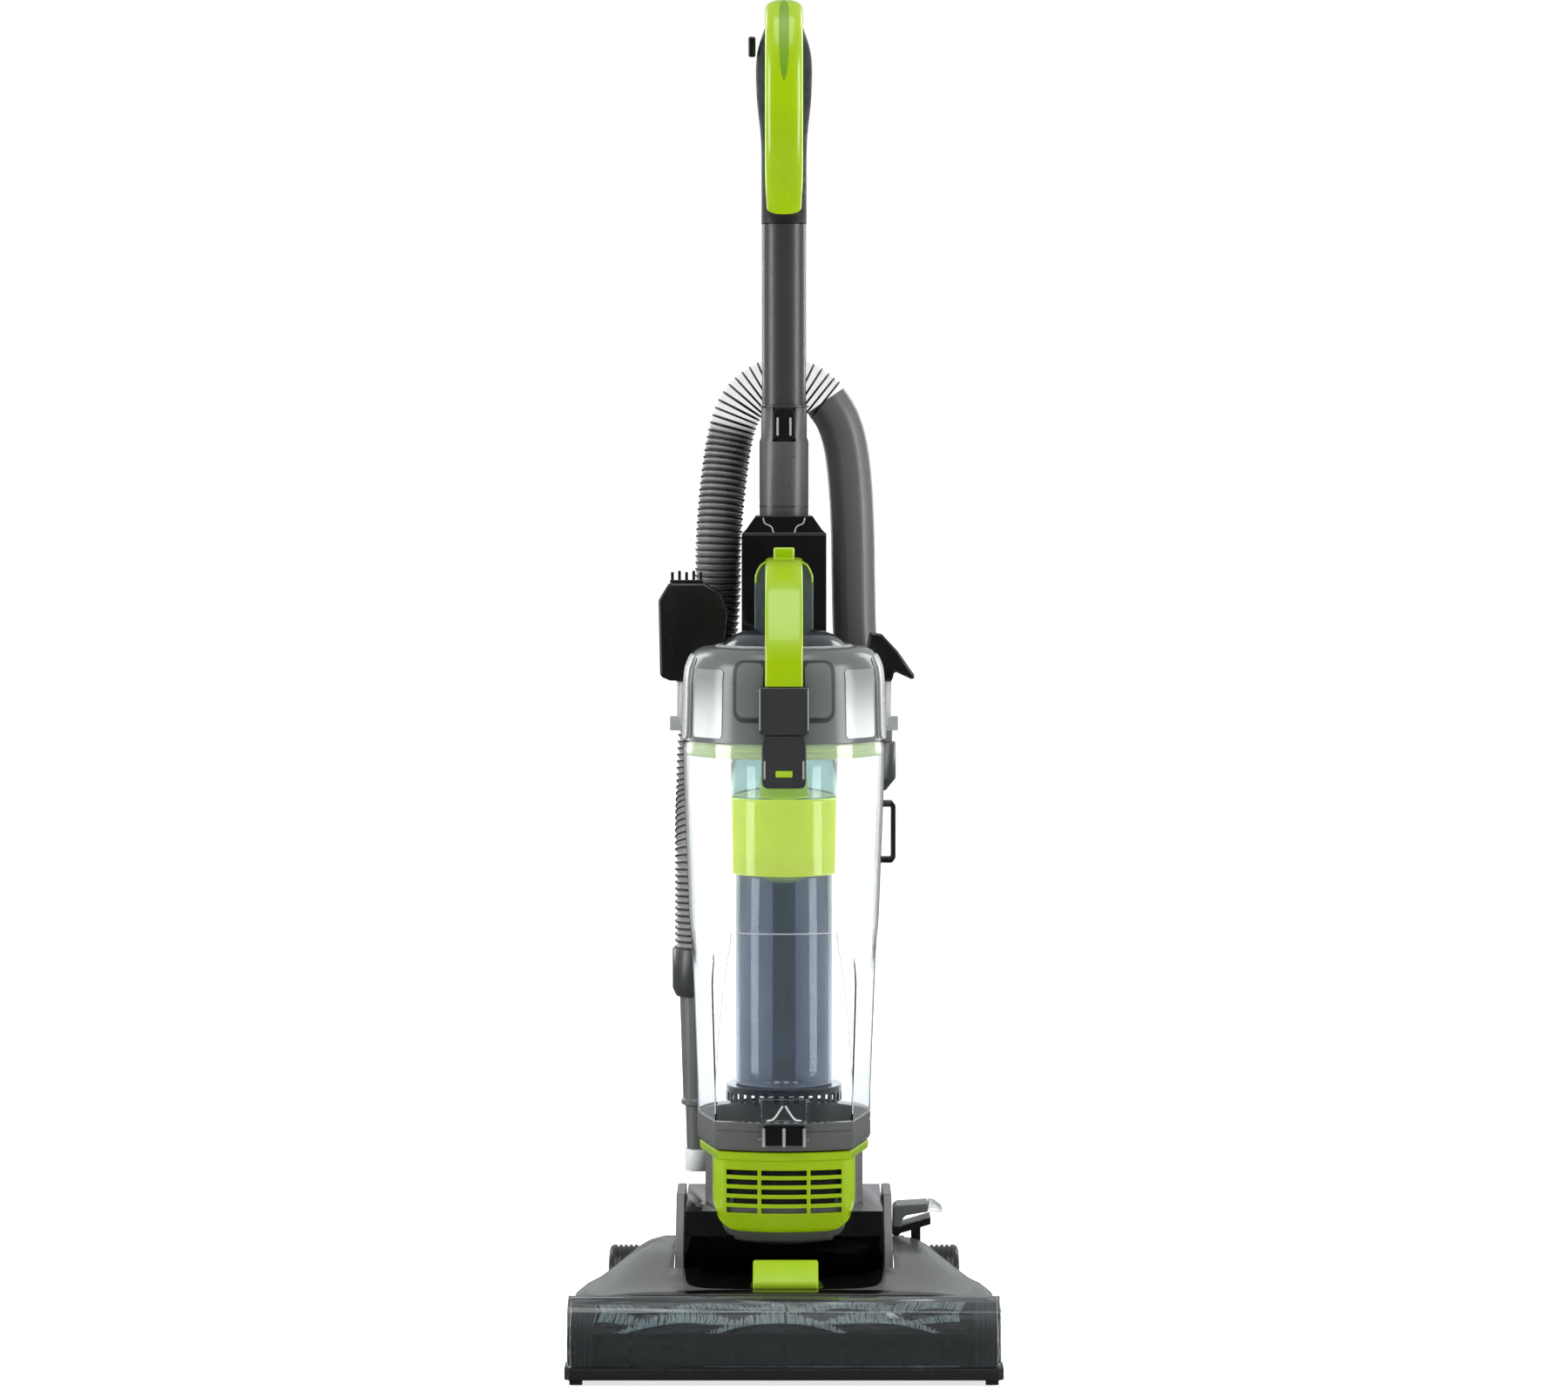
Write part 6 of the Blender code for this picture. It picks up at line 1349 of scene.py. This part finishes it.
for name, degrees, half_width, low, high, corner, lift, finish in LID_PLATES:
    piece = patch("lid_" + name, lid_radius, FRONT + math.radians(degrees), half_width * MM,
                  LID_BASE + low * MM, LID_BASE + high * MM, corner * MM, lift * MM)
    placed(piece, "dust_bin", finish, slot="light_grey" if finish is not BLACK_ABS else "black")
print("lid plates:", len(LID_PLATES))

# %% [markdown]
# A smoked dome closes the lid. It is one turned profile, with a bright rim round its foot.

# %% Dome and its rim
dome_low, dome_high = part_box("lid_dome")
low = dome_low.z + 0.2 * MM
dome = [(0.1 * MM, low), (DOME_RADIUS - 0.5 * MM, low), (DOME_RADIUS, low + 0.6 * MM),
        (DOME_RADIUS, low + 2 * MM), (DOME_RADIUS - 0.8 * MM, low + 4.2 * MM),
        *((DOME_RADIUS - inward * MM, dome_high.z - drop * MM) for inward, drop in
          ((4, 12.5), (7, 9.6), (12, 6), (18, 3.9), (27, 1.6), (36, 0.5))),
        (0.1 * MM, dome_high.z - 0.1 * MM)]
placed(turned("smoked_dome", dome, 128, crease=50), "dust_bin", DARK_SMOKE, "lid_dome",
       slot="smoke")
rim = [(DOME_RADIUS - 0.2 * MM, LID_TOP - 3 * MM), (DOME_RADIUS + 2.8 * MM, LID_TOP - 1.6 * MM),
       (DOME_RADIUS + 2.8 * MM, LID_TOP + 0.6 * MM), (DOME_RADIUS + 0.6 * MM, LID_TOP + 1.6 * MM),
       (DOME_RADIUS - 0.2 * MM, LID_TOP - 0.6 * MM)]
placed(turned("dome_rim", rim, 128), "dust_bin", SILVER_ABS, slot="grey")
print("dome radius in mm:", round(DOME_RADIUS / MM, 1))

# %% [markdown]
# The arm that hooks the lid to the wall is two dark plates, with a small lime window and
# silver-grey strips down its corners that are painted highlights.

# %% Latch arm
arm_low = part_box("latch_arm")[0]
front, back = arm_low.y, -BIN_RADIUS + 2.5 * MM
placed(plate("arm_upper", [(-20 * MM, ARM_TOP), (-20 * MM, BIN_TOP + 11 * MM),
                           (-17.5 * MM, BIN_TOP + 8.2 * MM), (17.5 * MM, BIN_TOP + 8.2 * MM),
                           (20 * MM, BIN_TOP + 11 * MM), (20 * MM, ARM_TOP)],
             front, back, soft=1.6 * MM), "dust_bin", DARK_ABS, slot="dark_grey")
lower = lozenge(17.5 * MM, arm_low.z, BIN_TOP + 8.0 * MM, 5 * MM, 6)
placed(plate("arm_lower", lower, front + 0.9 * MM, back, soft=1.4 * MM), "dust_bin", DARK_ABS,
       "latch_arm", slot="dark_grey")
placed(plate("arm_window", lozenge(6.6 * MM, arm_low.z + 9 * MM, arm_low.z + 14 * MM, 1 * MM),
             front + 0.5 * MM, front + 2 * MM, soft=0.2 * MM), "dust_bin", LIME_PAD, slot="lime")
# Painted highlights: silver-grey strips down the arm's corners stand for light caught on its edges.
for name, side in SIDES:
    placed(plate("arm_window_highlight_" + name,
                 lozenge(0.7 * MM, arm_low.z + 7.5 * MM, arm_low.z + 22 * MM, 0.6 * MM, 3,
                         side * 15.2 * MM), front + 0.55 * MM, front + 2 * MM, soft=0.15 * MM),
           "dust_bin", SILVER_ABS, slot="grey")
    placed(plate("arm_edge_highlight_" + name,
                 lozenge(0.45 * MM, BIN_TOP + 12 * MM, ARM_TOP - 1 * MM, 0.4 * MM, 3,
                         side * 18.8 * MM), front, front + 1.2 * MM, soft=0.1 * MM),
           "dust_bin", SILVER_ABS, slot="grey")
print("arm height in mm:", round((ARM_TOP - arm_low.z) / MM, 1))


# %% [markdown]
# ## Floor head
#
# The grey cover has a polished black insert round the foot pad. The insert is drawn by the
# cover's own finish, with a fine groove along its edge, so the cover stays one moulding.

# %% Two-tone cover finish
INSERT_HALF = 79.0 * MM
INSERT_BACK = -60.0 * MM
INSERT_FRONT = -103.0 * MM
SQUARENESS = 5.0       # power of the insert's outline: 2 is an ellipse, more is squarer
LIP_CURVE = 1.05       # how fast the dark nose of the cover runs forward, per metre squared
EDGE_SHARPNESS = 60.0  # how fast the two tones meet


def worked_out(tree, given, sums):
    """Work down a list of sums. Each row names its result, its operation and its inputs."""
    found = dict(given)
    for name, operation, *values in sums:
        inputs = {k: found.get(value, value) for k, value in enumerate(values)}
        made = add(tree, "ShaderNodeMath", inputs, operation=operation)
        made.use_clamp = name in ("insert", "nose", "edge")
        found[name] = made.outputs["Value"]
    return found


def cover_finish():
    """Satin grey, with a glossy black insert and nose and a groove where they meet."""
    material, tree, shader = blank_material("two_tone_head_cover_abs")
    coordinates = add(tree, "ShaderNodeTexCoord").outputs["Object"]
    axes = add(tree, "ShaderNodeSeparateXYZ", {"Vector": coordinates})
    spark = add(tree, "ShaderNodeTexNoise", {"Vector": coordinates, "Scale": 1000 / GRAIN_MM,
                "Detail": 2.0})
    found = worked_out(tree, {"x": axes.outputs["X"], "y": axes.outputs["Y"],
                              "spark": spark.outputs["Fac"]}, [
        ("side", "ABSOLUTE", "x"),
        ("across", "DIVIDE", "side", INSERT_HALF),
        ("from_back", "ADD", "y", -INSERT_BACK),
        ("forward", "DIVIDE", "from_back", INSERT_FRONT - INSERT_BACK),
        ("ahead_only", "MAXIMUM", "forward", 0.0),
        ("across_power", "POWER", "across", SQUARENESS),
        ("forward_power", "POWER", "ahead_only", SQUARENESS),
        ("power", "ADD", "across_power", "forward_power"),
        ("reach", "POWER", "power", 1 / SQUARENESS),
        ("insert", "MULTIPLY_ADD", "reach", -EDGE_SHARPNESS, EDGE_SHARPNESS + 0.5),
        ("wide", "MULTIPLY", "x", "x"),
        ("lip", "MULTIPLY_ADD", "wide", LIP_CURVE, -INSERT_FRONT),
        ("front", "MULTIPLY", "y", -1.0),
        ("past_lip", "SUBTRACT", "front", "lip"),
        ("nose", "MULTIPLY_ADD", "past_lip", 1200.0, 0.5),
        ("inside", "MAXIMUM", "insert", "nose"),
        ("off_edge", "SUBTRACT", "reach", 1.0),
        ("distance", "ABSOLUTE", "off_edge"),
        ("fade", "MULTIPLY", "distance", 70.0),
        ("edge", "SUBTRACT", 1.0, "fade"),
        ("gloss", "MULTIPLY_ADD", "inside", -0.08, 0.24),
        ("grain", "MULTIPLY", "spark", 0.15),
        ("height", "SUBTRACT", "grain", "edge"),
    ])
    flow = add(tree, "ShaderNodeTexNoise", {"Vector": coordinates, "Scale": 1000 / FLOW_MM,
               "Detail": 3.0, "Roughness": 0.5})
    grey = add(tree, "ShaderNodeMix", {"Factor": flow.outputs["Fac"], "A": hex_colour("656765"),
               "B": hex_colour("585A58")}, data_type="RGBA")
    tone = add(tree, "ShaderNodeMix", {"Factor": found["inside"], "A": grey.outputs["Result"],
               "B": hex_colour("0D0D0E")}, data_type="RGBA")
    bump = add(tree, "ShaderNodeBump", {"Height": found["height"], "Strength": 0.6,
               "Distance": 0.35 * MM})
    tree.links.new(tone.outputs["Result"], shader.inputs["Base Color"])
    tree.links.new(found["gloss"], shader.inputs["Roughness"])
    tree.links.new(bump.outputs["Normal"], shader.inputs["Normal"])
    shader.inputs["IOR"].default_value = ABS_IOR
    return material


PART_FINISHES["head_cover"] = cover_finish()
PART_FINISHES["brush_window"] = polished_clear("smoked_window_polycarbonate", "B4BABC", 0.03,
                                               0.96, seed=0.9)
for node, width in (("head_cover", 1.4), ("brush_window", 1.0), ("front_bumper", 1.0),
                    ("pivot_cradle", 1.6), ("motor_housing", 1.2), ("foot_pad", 0.6),
                    ("pedal_lever", 0.8), ("dusting_brush", 1.2), ("brush_tufts", 0.4),
                    ("hose_socket", 0.8), ("back_panel", 1.0), ("head_base", 0.8)):
    refined(node, width * MM)
print("cover insert width in mm:", round(2 * INSERT_HALF / MM))

# %% [markdown]
# Light-grey cheeks stand either side of the black cradle and carry its pivot.

# %% Cheek covers and their pivot caps
PIVOT_Y, PIVOT_Z = 55 * MM, 80 * MM
CRADLE_TOP = 118 * MM
cheek = [(-57.2 * MM, 12 * MM), (-57.2 * MM, 60.4 * MM), (-35.2 * MM, 75.4 * MM),
         (PIVOT_Y - 45.2 * MM, CRADLE_TOP - 9.6 * MM), (PIVOT_Y - 34.2 * MM, CRADLE_TOP + 3.3 * MM),
         (PIVOT_Y + 26.2 * MM, CRADLE_TOP + 3.3 * MM), (PIVOT_Y + 33.3 * MM, CRADLE_TOP - 7.8 * MM),
         (88 * MM, 12 * MM)]
for name, side in SIDES:
    x0, x1 = sorted((side * 79.7 * MM, side * 86.9 * MM))
    placed(plate("cheek_" + name, cheek, x0, x1, "X", 1.2 * MM), "floor_head", SHOULDER_ABS,
           slot="light_grey")
    ring = [(PIVOT_Y + 9.4 * MM * math.cos(a), PIVOT_Z + 9.4 * MM * math.sin(a))
            for a in [2 * math.pi * k / 40 for k in range(40)]]
    x0, x1 = sorted((side * 86.5 * MM, side * 87.7 * MM))
    placed(plate("pivot_cap_" + name, ring, x0, x1, "X", 0.4 * MM), "floor_head", BLACK_ABS,
           slot="black")
print("pivot height in mm:", round(PIVOT_Z / MM))

# %% [markdown]
# ## Brush roll
#
# Four rows of nylon tufts wind round the core, half a turn from each end to the middle.
# Geometry Nodes sets one strand at each point of the row, turned outwards and tilted by a
# fixed seed. Real nylon is about 0.2 mm thick; it is drawn thicker so that it shows.

# %% Bristles
brush_low, brush_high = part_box("brush_core")
strip_low, strip_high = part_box("bristle_strip_a")
BRUSH_Y = (brush_low.y + brush_high.y) / 2
BRUSH_Z = (brush_low.z + brush_high.z) / 2
CORE_RADIUS = 15 * MM
BRUSH_RADIUS = 26 * MM
ROLL_START = strip_low.x
ROLL_STOP = strip_high.x
ROWS = 4
BRISTLES_PER_ROW = 440


def bristle_tree():
    """Strands on a row of points, each turned away from the roll's axis."""
    tree = bpy.data.node_groups.new("wound_bristles", "GeometryNodeTree")
    given = named_inputs(tree, Geometry=["Row"], Int=["Count"], Float=["Length", "Thickness",
                         "Axis Y", "Axis Z"], Material=["Nylon"])
    tree.interface.new_socket("Bristles", in_out="OUTPUT", socket_type="NodeSocketGeometry")
    points = add(tree, "GeometryNodeCurveToPoints", {"Curve": given["Row"],
                 "Count": given["Count"]}, mode="COUNT")
    jitter = add(tree, "FunctionNodeRandomValue", {0: (-1.6 * MM, -0.5 * MM, -0.5 * MM),
                 1: (1.6 * MM, 0.5 * MM, 0.5 * MM), "Seed": 7}, data_type="FLOAT_VECTOR")
    moved = add(tree, "GeometryNodeSetPosition", {"Geometry": points.outputs["Points"],
                "Offset": jitter.outputs["Value"]})
    place = add(tree, "GeometryNodeInputPosition")
    axes = add(tree, "ShaderNodeSeparateXYZ", {"Vector": place.outputs["Position"]})
    tilt = add(tree, "FunctionNodeRandomValue", {2: -3.2 * MM, 3: 3.2 * MM, "Seed": 11},
               data_type="FLOAT")
    out = worked_out(tree, {"y": axes.outputs["Y"], "z": axes.outputs["Z"],
                            "axis_y": given["Axis Y"], "axis_z": given["Axis Z"]},
                     [("out_y", "SUBTRACT", "y", "axis_y"), ("out_z", "SUBTRACT", "z", "axis_z")])
    outward = add(tree, "ShaderNodeCombineXYZ", {"X": tilt.outputs[1], "Y": out["out_y"],
                  "Z": out["out_z"]})
    turn = add(tree, "FunctionNodeAlignRotationToVector", {"Vector": outward.outputs["Vector"]},
               axis="Z")
    strand = add(tree, "GeometryNodeMeshCone", {"Vertices": 5, "Radius Top": given["Thickness"],
                 "Radius Bottom": given["Thickness"], "Depth": given["Length"]})
    scale = add(tree, "FunctionNodeRandomValue", {2: 0.82, 3: 1.0, "Seed": 3}, data_type="FLOAT")
    hairs = add(tree, "GeometryNodeInstanceOnPoints", {"Points": moved.outputs["Geometry"],
                "Instance": strand.outputs["Mesh"], "Rotation": turn.outputs["Rotation"],
                "Scale": scale.outputs[1]})
    real = add(tree, "GeometryNodeRealizeInstances", {"Geometry": hairs.outputs["Instances"]})
    nylon = add(tree, "GeometryNodeSetMaterial", {"Geometry": real.outputs["Geometry"],
                "Material": given["Nylon"]})
    add(tree, "NodeGroupOutput", {"Bristles": nylon.outputs["Geometry"]})
    return tree


def wound_row(phase, radius, steps=120):
    """Points along one row, which winds half a turn each way from the middle."""
    points = []
    for i in range(steps + 1):
        share = i / steps
        angle = phase + 2 * math.pi * abs(share - 0.5)
        points.append((ROLL_START + (ROLL_STOP - ROLL_START) * share,
                       BRUSH_Y + radius * math.cos(angle), BRUSH_Z + radius * math.sin(angle)))
    return points


BRISTLES = bristle_tree()
for index in range(ROWS):
    phase = 2 * math.pi * index / ROWS
    stands_for = [] if index % 2 else ["bristle_strip_" + "ab"[index // 2]]
    name = "bristles_" + "abcd"[index]
    tufts = grown(line(name, wound_row(phase, CORE_RADIUS + 0.6 * MM)), BRISTLES, {
        "Count": BRISTLES_PER_ROW, "Length": BRUSH_RADIUS - CORE_RADIUS - 1.2 * MM, "Thickness": 0.48 * MM,
        "Axis Y": BRUSH_Y, "Axis Z": BRUSH_Z, "Nylon": BRISTLE})
    placed(tufts, "brush_roll", None, *stands_for, slot="bristle")
    ridge_line = wound_row(phase, CORE_RADIUS + 0.4 * MM, 90)
    ridge = swept("bristle_ridge_" + "abcd"[index], ridge_line,
                  [oval(2.2 * MM, 1.3 * MM, 10)] * len(ridge_line), (0, 1, 0))
    placed(ridge, "brush_roll", BLACK_ABS, slot="black")
print("bristle faces:", len(tufts.data.polygons))

# %% [markdown]
# The window has grey end caps and a dark lip where the cover meets it.

# %% Window caps and lip
window_low, window_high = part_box("brush_window")
COVER_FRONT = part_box("head_cover")[0].y
CAP_RIBS = 4
for name, side in SIDES:
    outline = [(COVER_FRONT + 2 * MM, 14 * MM), (COVER_FRONT + 2 * MM, 60 * MM),
               (COVER_FRONT - 10 * MM, 59 * MM), (window_low.y + 9 * MM, 50 * MM),
               (window_low.y + 4.6 * MM, 42 * MM), (window_low.y + 3.0 * MM, 30 * MM),
               (window_low.y + 3.0 * MM, 14 * MM)]
    x0, x1 = sorted((side * (window_high.x - 2.7 * MM), side * (window_high.x - 20 * MM)))
    placed(plate("window_cap_" + name, outline, x0, x1, "X", 0.8 * MM), "floor_head", GREY_ABS,
           slot="grey")
    for k in range(CAP_RIBS):
        x = side * (window_high.x - (5.0 + 3.6 * k) * MM)
        ribs = [(COVER_FRONT - 2 * MM, 55 * MM), (COVER_FRONT - 10 * MM, 59.6 * MM),
                (window_low.y + 8.4 * MM, 50.4 * MM), (window_low.y + 4.0 * MM, 42.2 * MM),
                (window_low.y + 2.6 * MM, 30 * MM), (window_low.y + 2.6 * MM, 16 * MM),
                (window_low.y + 8 * MM, 16 * MM)]
        placed(plate("cap_rib_%s_%d" % (name, k), ribs, x - 0.4 * MM, x + 0.4 * MM, "X", 0),
               "floor_head", DARK_ABS, slot="dark_grey")
lip_points = []
LIP_STEPS = 40
for k in range(LIP_STEPS + 1):
    x = (k / LIP_STEPS * 2 - 1) * (window_high.x - 3.5 * MM)
    drop = 4.0 * MM * ease(abs(x), 110 * MM, 168 * MM)
    lip_points.append((x, COVER_FRONT - 0.4 * MM, 65.2 * MM - drop))
lip_bar = swept("cover_lip", lip_points, [oval(0.8 * MM, 0.9 * MM, 10)] * len(lip_points),
                (0, 1, 0))
placed(lip_bar, "floor_head", BLACK_ABS, slot="black")
base_strip = plate("window_base", lozenge(window_high.x - 8 * MM, 14.5 * MM, 40.0 * MM, 2 * MM),
                   window_low.y + 4.6 * MM, window_low.y + 6.2 * MM, soft=0.5 * MM)
placed(base_strip, "floor_head", BLACK_ABS, slot="black")
print("window width in mm:", round((window_high.x - window_low.x) / MM))

# %% [markdown]
# ## Wheels
#
# The rear tyres have four grooves and a dished hub with five ribs.

# %% Wheels and rollers
def turned_x(name, profile, y, z, sides=72, crease=35):
    """A closed profile of (radius, x) carried round a crosswise axis."""
    rings = []
    for i in range(sides):
        angle = 2 * math.pi * i / sides
        rings.append([(x, y + r * math.cos(angle), z + r * math.sin(angle)) for r, x in profile])
    return sharpen(skinned(name, rings, closed=True), crease)


WHEEL_IN = 118 * MM
WHEEL_RADIUS = 33 * MM
WHEEL_Y = 105 * MM
GROOVES, GROOVE_SPACING = 4, 4.2
HUB_RIBS = 5
centre = Vector((0, WHEEL_Y, WHEEL_RADIUS))
for name, side in SIDES:
    rows = [(4.4, 0.2), (28.0, 0.2), (31.5, 1.2), (33.0, 3.6)]
    for k in range(GROOVES):
        x = 6.0 + GROOVE_SPACING * k
        rows += [(33.0, x - 1.0), (31.6, x - 0.6), (31.6, x + 0.6), (33.0, x + 1.0)]
    rows += [(33.0, 22.4), (31.5, 24.8), (28.0, 25.8), (25.5, 25.8), (24.5, 22.5), (15.0, 21.0),
             (13.5, 22.3), (4.4, 22.3)]
    profile = [(r * MM, side * (WHEEL_IN + x * MM)) for r, x in rows]
    tyre = turned_x("wheel_%s_tyre" % name, profile, WHEEL_Y, WHEEL_RADIUS)
    placed(tyre, "rear_wheel_" + name, BLACK_ABS, "rear_wheel_" + name, slot="black")
    for k in range(HUB_RIBS):
        a = 2 * math.pi * k / HUB_RIBS
        radial = Vector((0, math.cos(a), math.sin(a)))
        path = []
        for r in (12.5, 18.0, 25.0):
            point = centre + radial * r * MM
            path.append((side * (WHEEL_IN + 22.6 * MM), point.y, point.z))
        rib = swept("wheel_%s_rib_%d" % (name, k), path, [oval(2.0 * MM, 1.6 * MM, 12)] * 3,
                    (1, 0, 0))
        placed(rib, "rear_wheel_" + name, DARK_ABS, slot="dark_grey")
print("tyre faces:", len(tyre.data.polygons))

# %% [markdown]
# ## Exhaust grill
#
# The lime shield is one curved sheet with fifteen slots. It is laid out as a grid of
# cells: solid cells get an outer and an inner face, and a wall wherever they meet a slot.

# %% Grill
HOUSING_TOP = 160 * MM
HOUSING_RADIUS = 64.4
HOUSING_PROFILE = [(39.4, 90.0), (53.4, 95.0), (61.4, 105.0), (HOUSING_RADIUS, 120.0),
                   (HOUSING_RADIUS, 160.6)]       # pairs of a radius and a height in mm
SHIELD_LOW = 103.5 * MM
SLOT_PITCH = 7.5 * MM
SLOT_HEIGHT = 4.3 * MM
SLOT_TOP = 153 * MM
SLOT_ROWS = 5
RIM_SLOT = 45.5 * MM
BAR_IN, BAR_OUT = 18.0 * MM, 21.0 * MM     # the two upright bars between the slots
HALVINGS = 40


def housing_point(x, height, lift):
    """The point of the housing's front face at a sideways place and a height."""
    for (r0, z0), (r1, z1) in zip(HOUSING_PROFILE, HOUSING_PROFILE[1:]):
        if height <= z1 * MM or (r1, z1) == HOUSING_PROFILE[-1]:
            radius = (r0 + (r1 - r0) * (height / MM - z0) / (z1 - z0)) * MM + lift
            break
    low, high = math.radians(-85), math.radians(85)
    for _ in range(HALVINGS):
        turn = (low + high) / 2
        reach = radius * faced_section(turn - math.pi / 2, height)
        if reach * math.sin(turn) < x:
            low = turn
        else:
            high = turn
    return (x, -reach * math.cos(turn), height)


def shield_half(height):
    """Half width of the shield, which rounds in towards its bottom edge."""
    corner = 24 * MM
    edge = min((height - SHIELD_LOW) / corner, 1.0)
    rounding = 1 - math.sqrt(max(1 - (1 - edge) ** 2, 0))
    return 57 * MM - 2 * MM * (1 - edge) - 20 * MM * rounding


def sliced(edges, counts):
    """Cut each span between the edges into equal parts; also say which span each is in."""
    values, spans = [], []
    for index, count in enumerate(counts):
        for k in range(count):
            values.append(edges[index] + (edges[index + 1] - edges[index]) * k / count)
            spans.append(index)
    return values + [edges[-1]], spans


rows = [SHIELD_LOW]
for row in reversed(range(SLOT_ROWS)):
    high = SLOT_TOP - SLOT_PITCH * row
    rows += [high - SLOT_HEIGHT, high]
rows.append(HOUSING_TOP + 4 * MM)
heights, row_spans = sliced(rows, [8] + [1] * (len(rows) - 2))
shares, column_spans = sliced(list(range(8)), [3, 5, 2, 8, 2, 5, 3])


def sideways(share, height):
    """Sideways place of a column line at a height."""
    half = shield_half(height)
    slot = min(RIM_SLOT, half - 4 * MM)
    edges = [-half, -slot, -BAR_OUT, -BAR_IN, BAR_IN, BAR_OUT, slot, half]
    index = min(int(share), 6)
    return edges[index] + (edges[index + 1] - edges[index]) * (share - index)


def grill_sheet(name, lift_in, lift_out):
    """The slotted sheet between two distances from the housing."""
    columns, levels = len(shares), len(heights)
    vertices = []
    for lift in (lift_in, lift_out):
        for height in heights:
            for share in shares:
                vertices.append(housing_point(sideways(share, height), height, lift))

    def solid(i, j):
        """Whether a cell of the grid is plastic; slots and the outside are not."""
        if not (0 <= i < len(column_spans) and 0 <= j < len(row_spans)):
            return False
        return not (column_spans[i] in (1, 3, 5) and row_spans[j] % 2 == 1)

    layer = columns * levels
    faces = []
    for j in range(len(row_spans)):
        for i in range(len(column_spans)):
            if not solid(i, j):
                continue
            corners = [j * columns + i, j * columns + i + 1, (j + 1) * columns + i + 1,
                       (j + 1) * columns + i]
            faces.append(tuple(corners))
            faces.append(tuple(layer + c for c in reversed(corners)))
            for k, (di, dj) in enumerate(((0, -1), (1, 0), (0, 1), (-1, 0))):
                if not solid(i + di, j + dj):
                    a, b = corners[k], corners[(k + 1) % 4]
                    faces.append((a, layer + a, layer + b, b))
    return sharpen(piece_from(name, vertices, faces), 40)


shield = rounded(grill_sheet("lime_grill_shield", 0.4 * MM, 3.2 * MM), 0.7 * MM, 2, 50)
placed(shield, "main_body", LIME_ABS, "front_grill", slot="lime")
print("shield faces:", len(shield.data.polygons))

# %% [markdown]
# A lime band runs round the top of the housing, and dark foam lies behind the slots.

# %% Trim band and foam
trim_radius = HOUSING_RADIUS * MM + 0.3 * MM
trim = [(trim_radius + out * MM, HOUSING_TOP + up * MM) for out, up in
        ((-4, 0.4), (3.0, 0.4), (3.8, 1.4), (4, 6.8), (3.4, 7.4), (-4, 7.4))]
placed(turned("lime_trim_band", trim, 160, section=faced_section), "main_body", LIME_ABS,
       slot="lime")
FOAM_COLUMNS = 24
backing = []
for lift in (-1.0 * MM, 0.25 * MM):
    for height in (SLOT_TOP - 36 * MM, SLOT_TOP - 12 * MM, SLOT_TOP + 1 * MM):
        half = min(47.0 * MM, shield_half(height) - 3 * MM)
        for k in range(FOAM_COLUMNS + 1):
            backing.append(housing_point((2 * k / FOAM_COLUMNS - 1) * half, height, lift))
placed(two_layers("grill_backing", backing, 2, FOAM_COLUMNS), "main_body", FOAM, slot="foam")
print("foam columns:", FOAM_COLUMNS)

# %% [markdown]
# ## Recline pedal
#
# The pedal is a bent grey plate with a clear tip, on a black post.

# %% Pedal
PEDAL_HALF = 14.6 * MM
tread = [(88.4, 84.0), (88.4, 106.0), (91.5, 109.0), (117.0, 110.6), (117.0, 103.6),
         (99.0, 100.6), (96.4, 98.0), (94.4, 86.0)]
tread = [(x * MM, z * MM) for x, z in tread]
placed(plate("pedal_tread", tread, PIVOT_Y - PEDAL_HALF, PIVOT_Y + PEDAL_HALF, soft=1.2 * MM),
       "recline_pedal", SHOULDER_ABS, slot="light_grey")
tip = [(x * MM, z * MM) for x, z in ((117.3, 103.8), (117.3, 110.5), (122.0, 110.0), (128.6, 105.0),
                                    (128.6, 102.6))]
placed(plate("pedal_clear_tip", tip, PIVOT_Y - PEDAL_HALF, PIVOT_Y + PEDAL_HALF, soft=0.8 * MM),
       "recline_pedal", CLEAR_PC, "pedal_tip", slot="clear")
print("pedal width in mm:", round(2 * PEDAL_HALF / MM, 1))
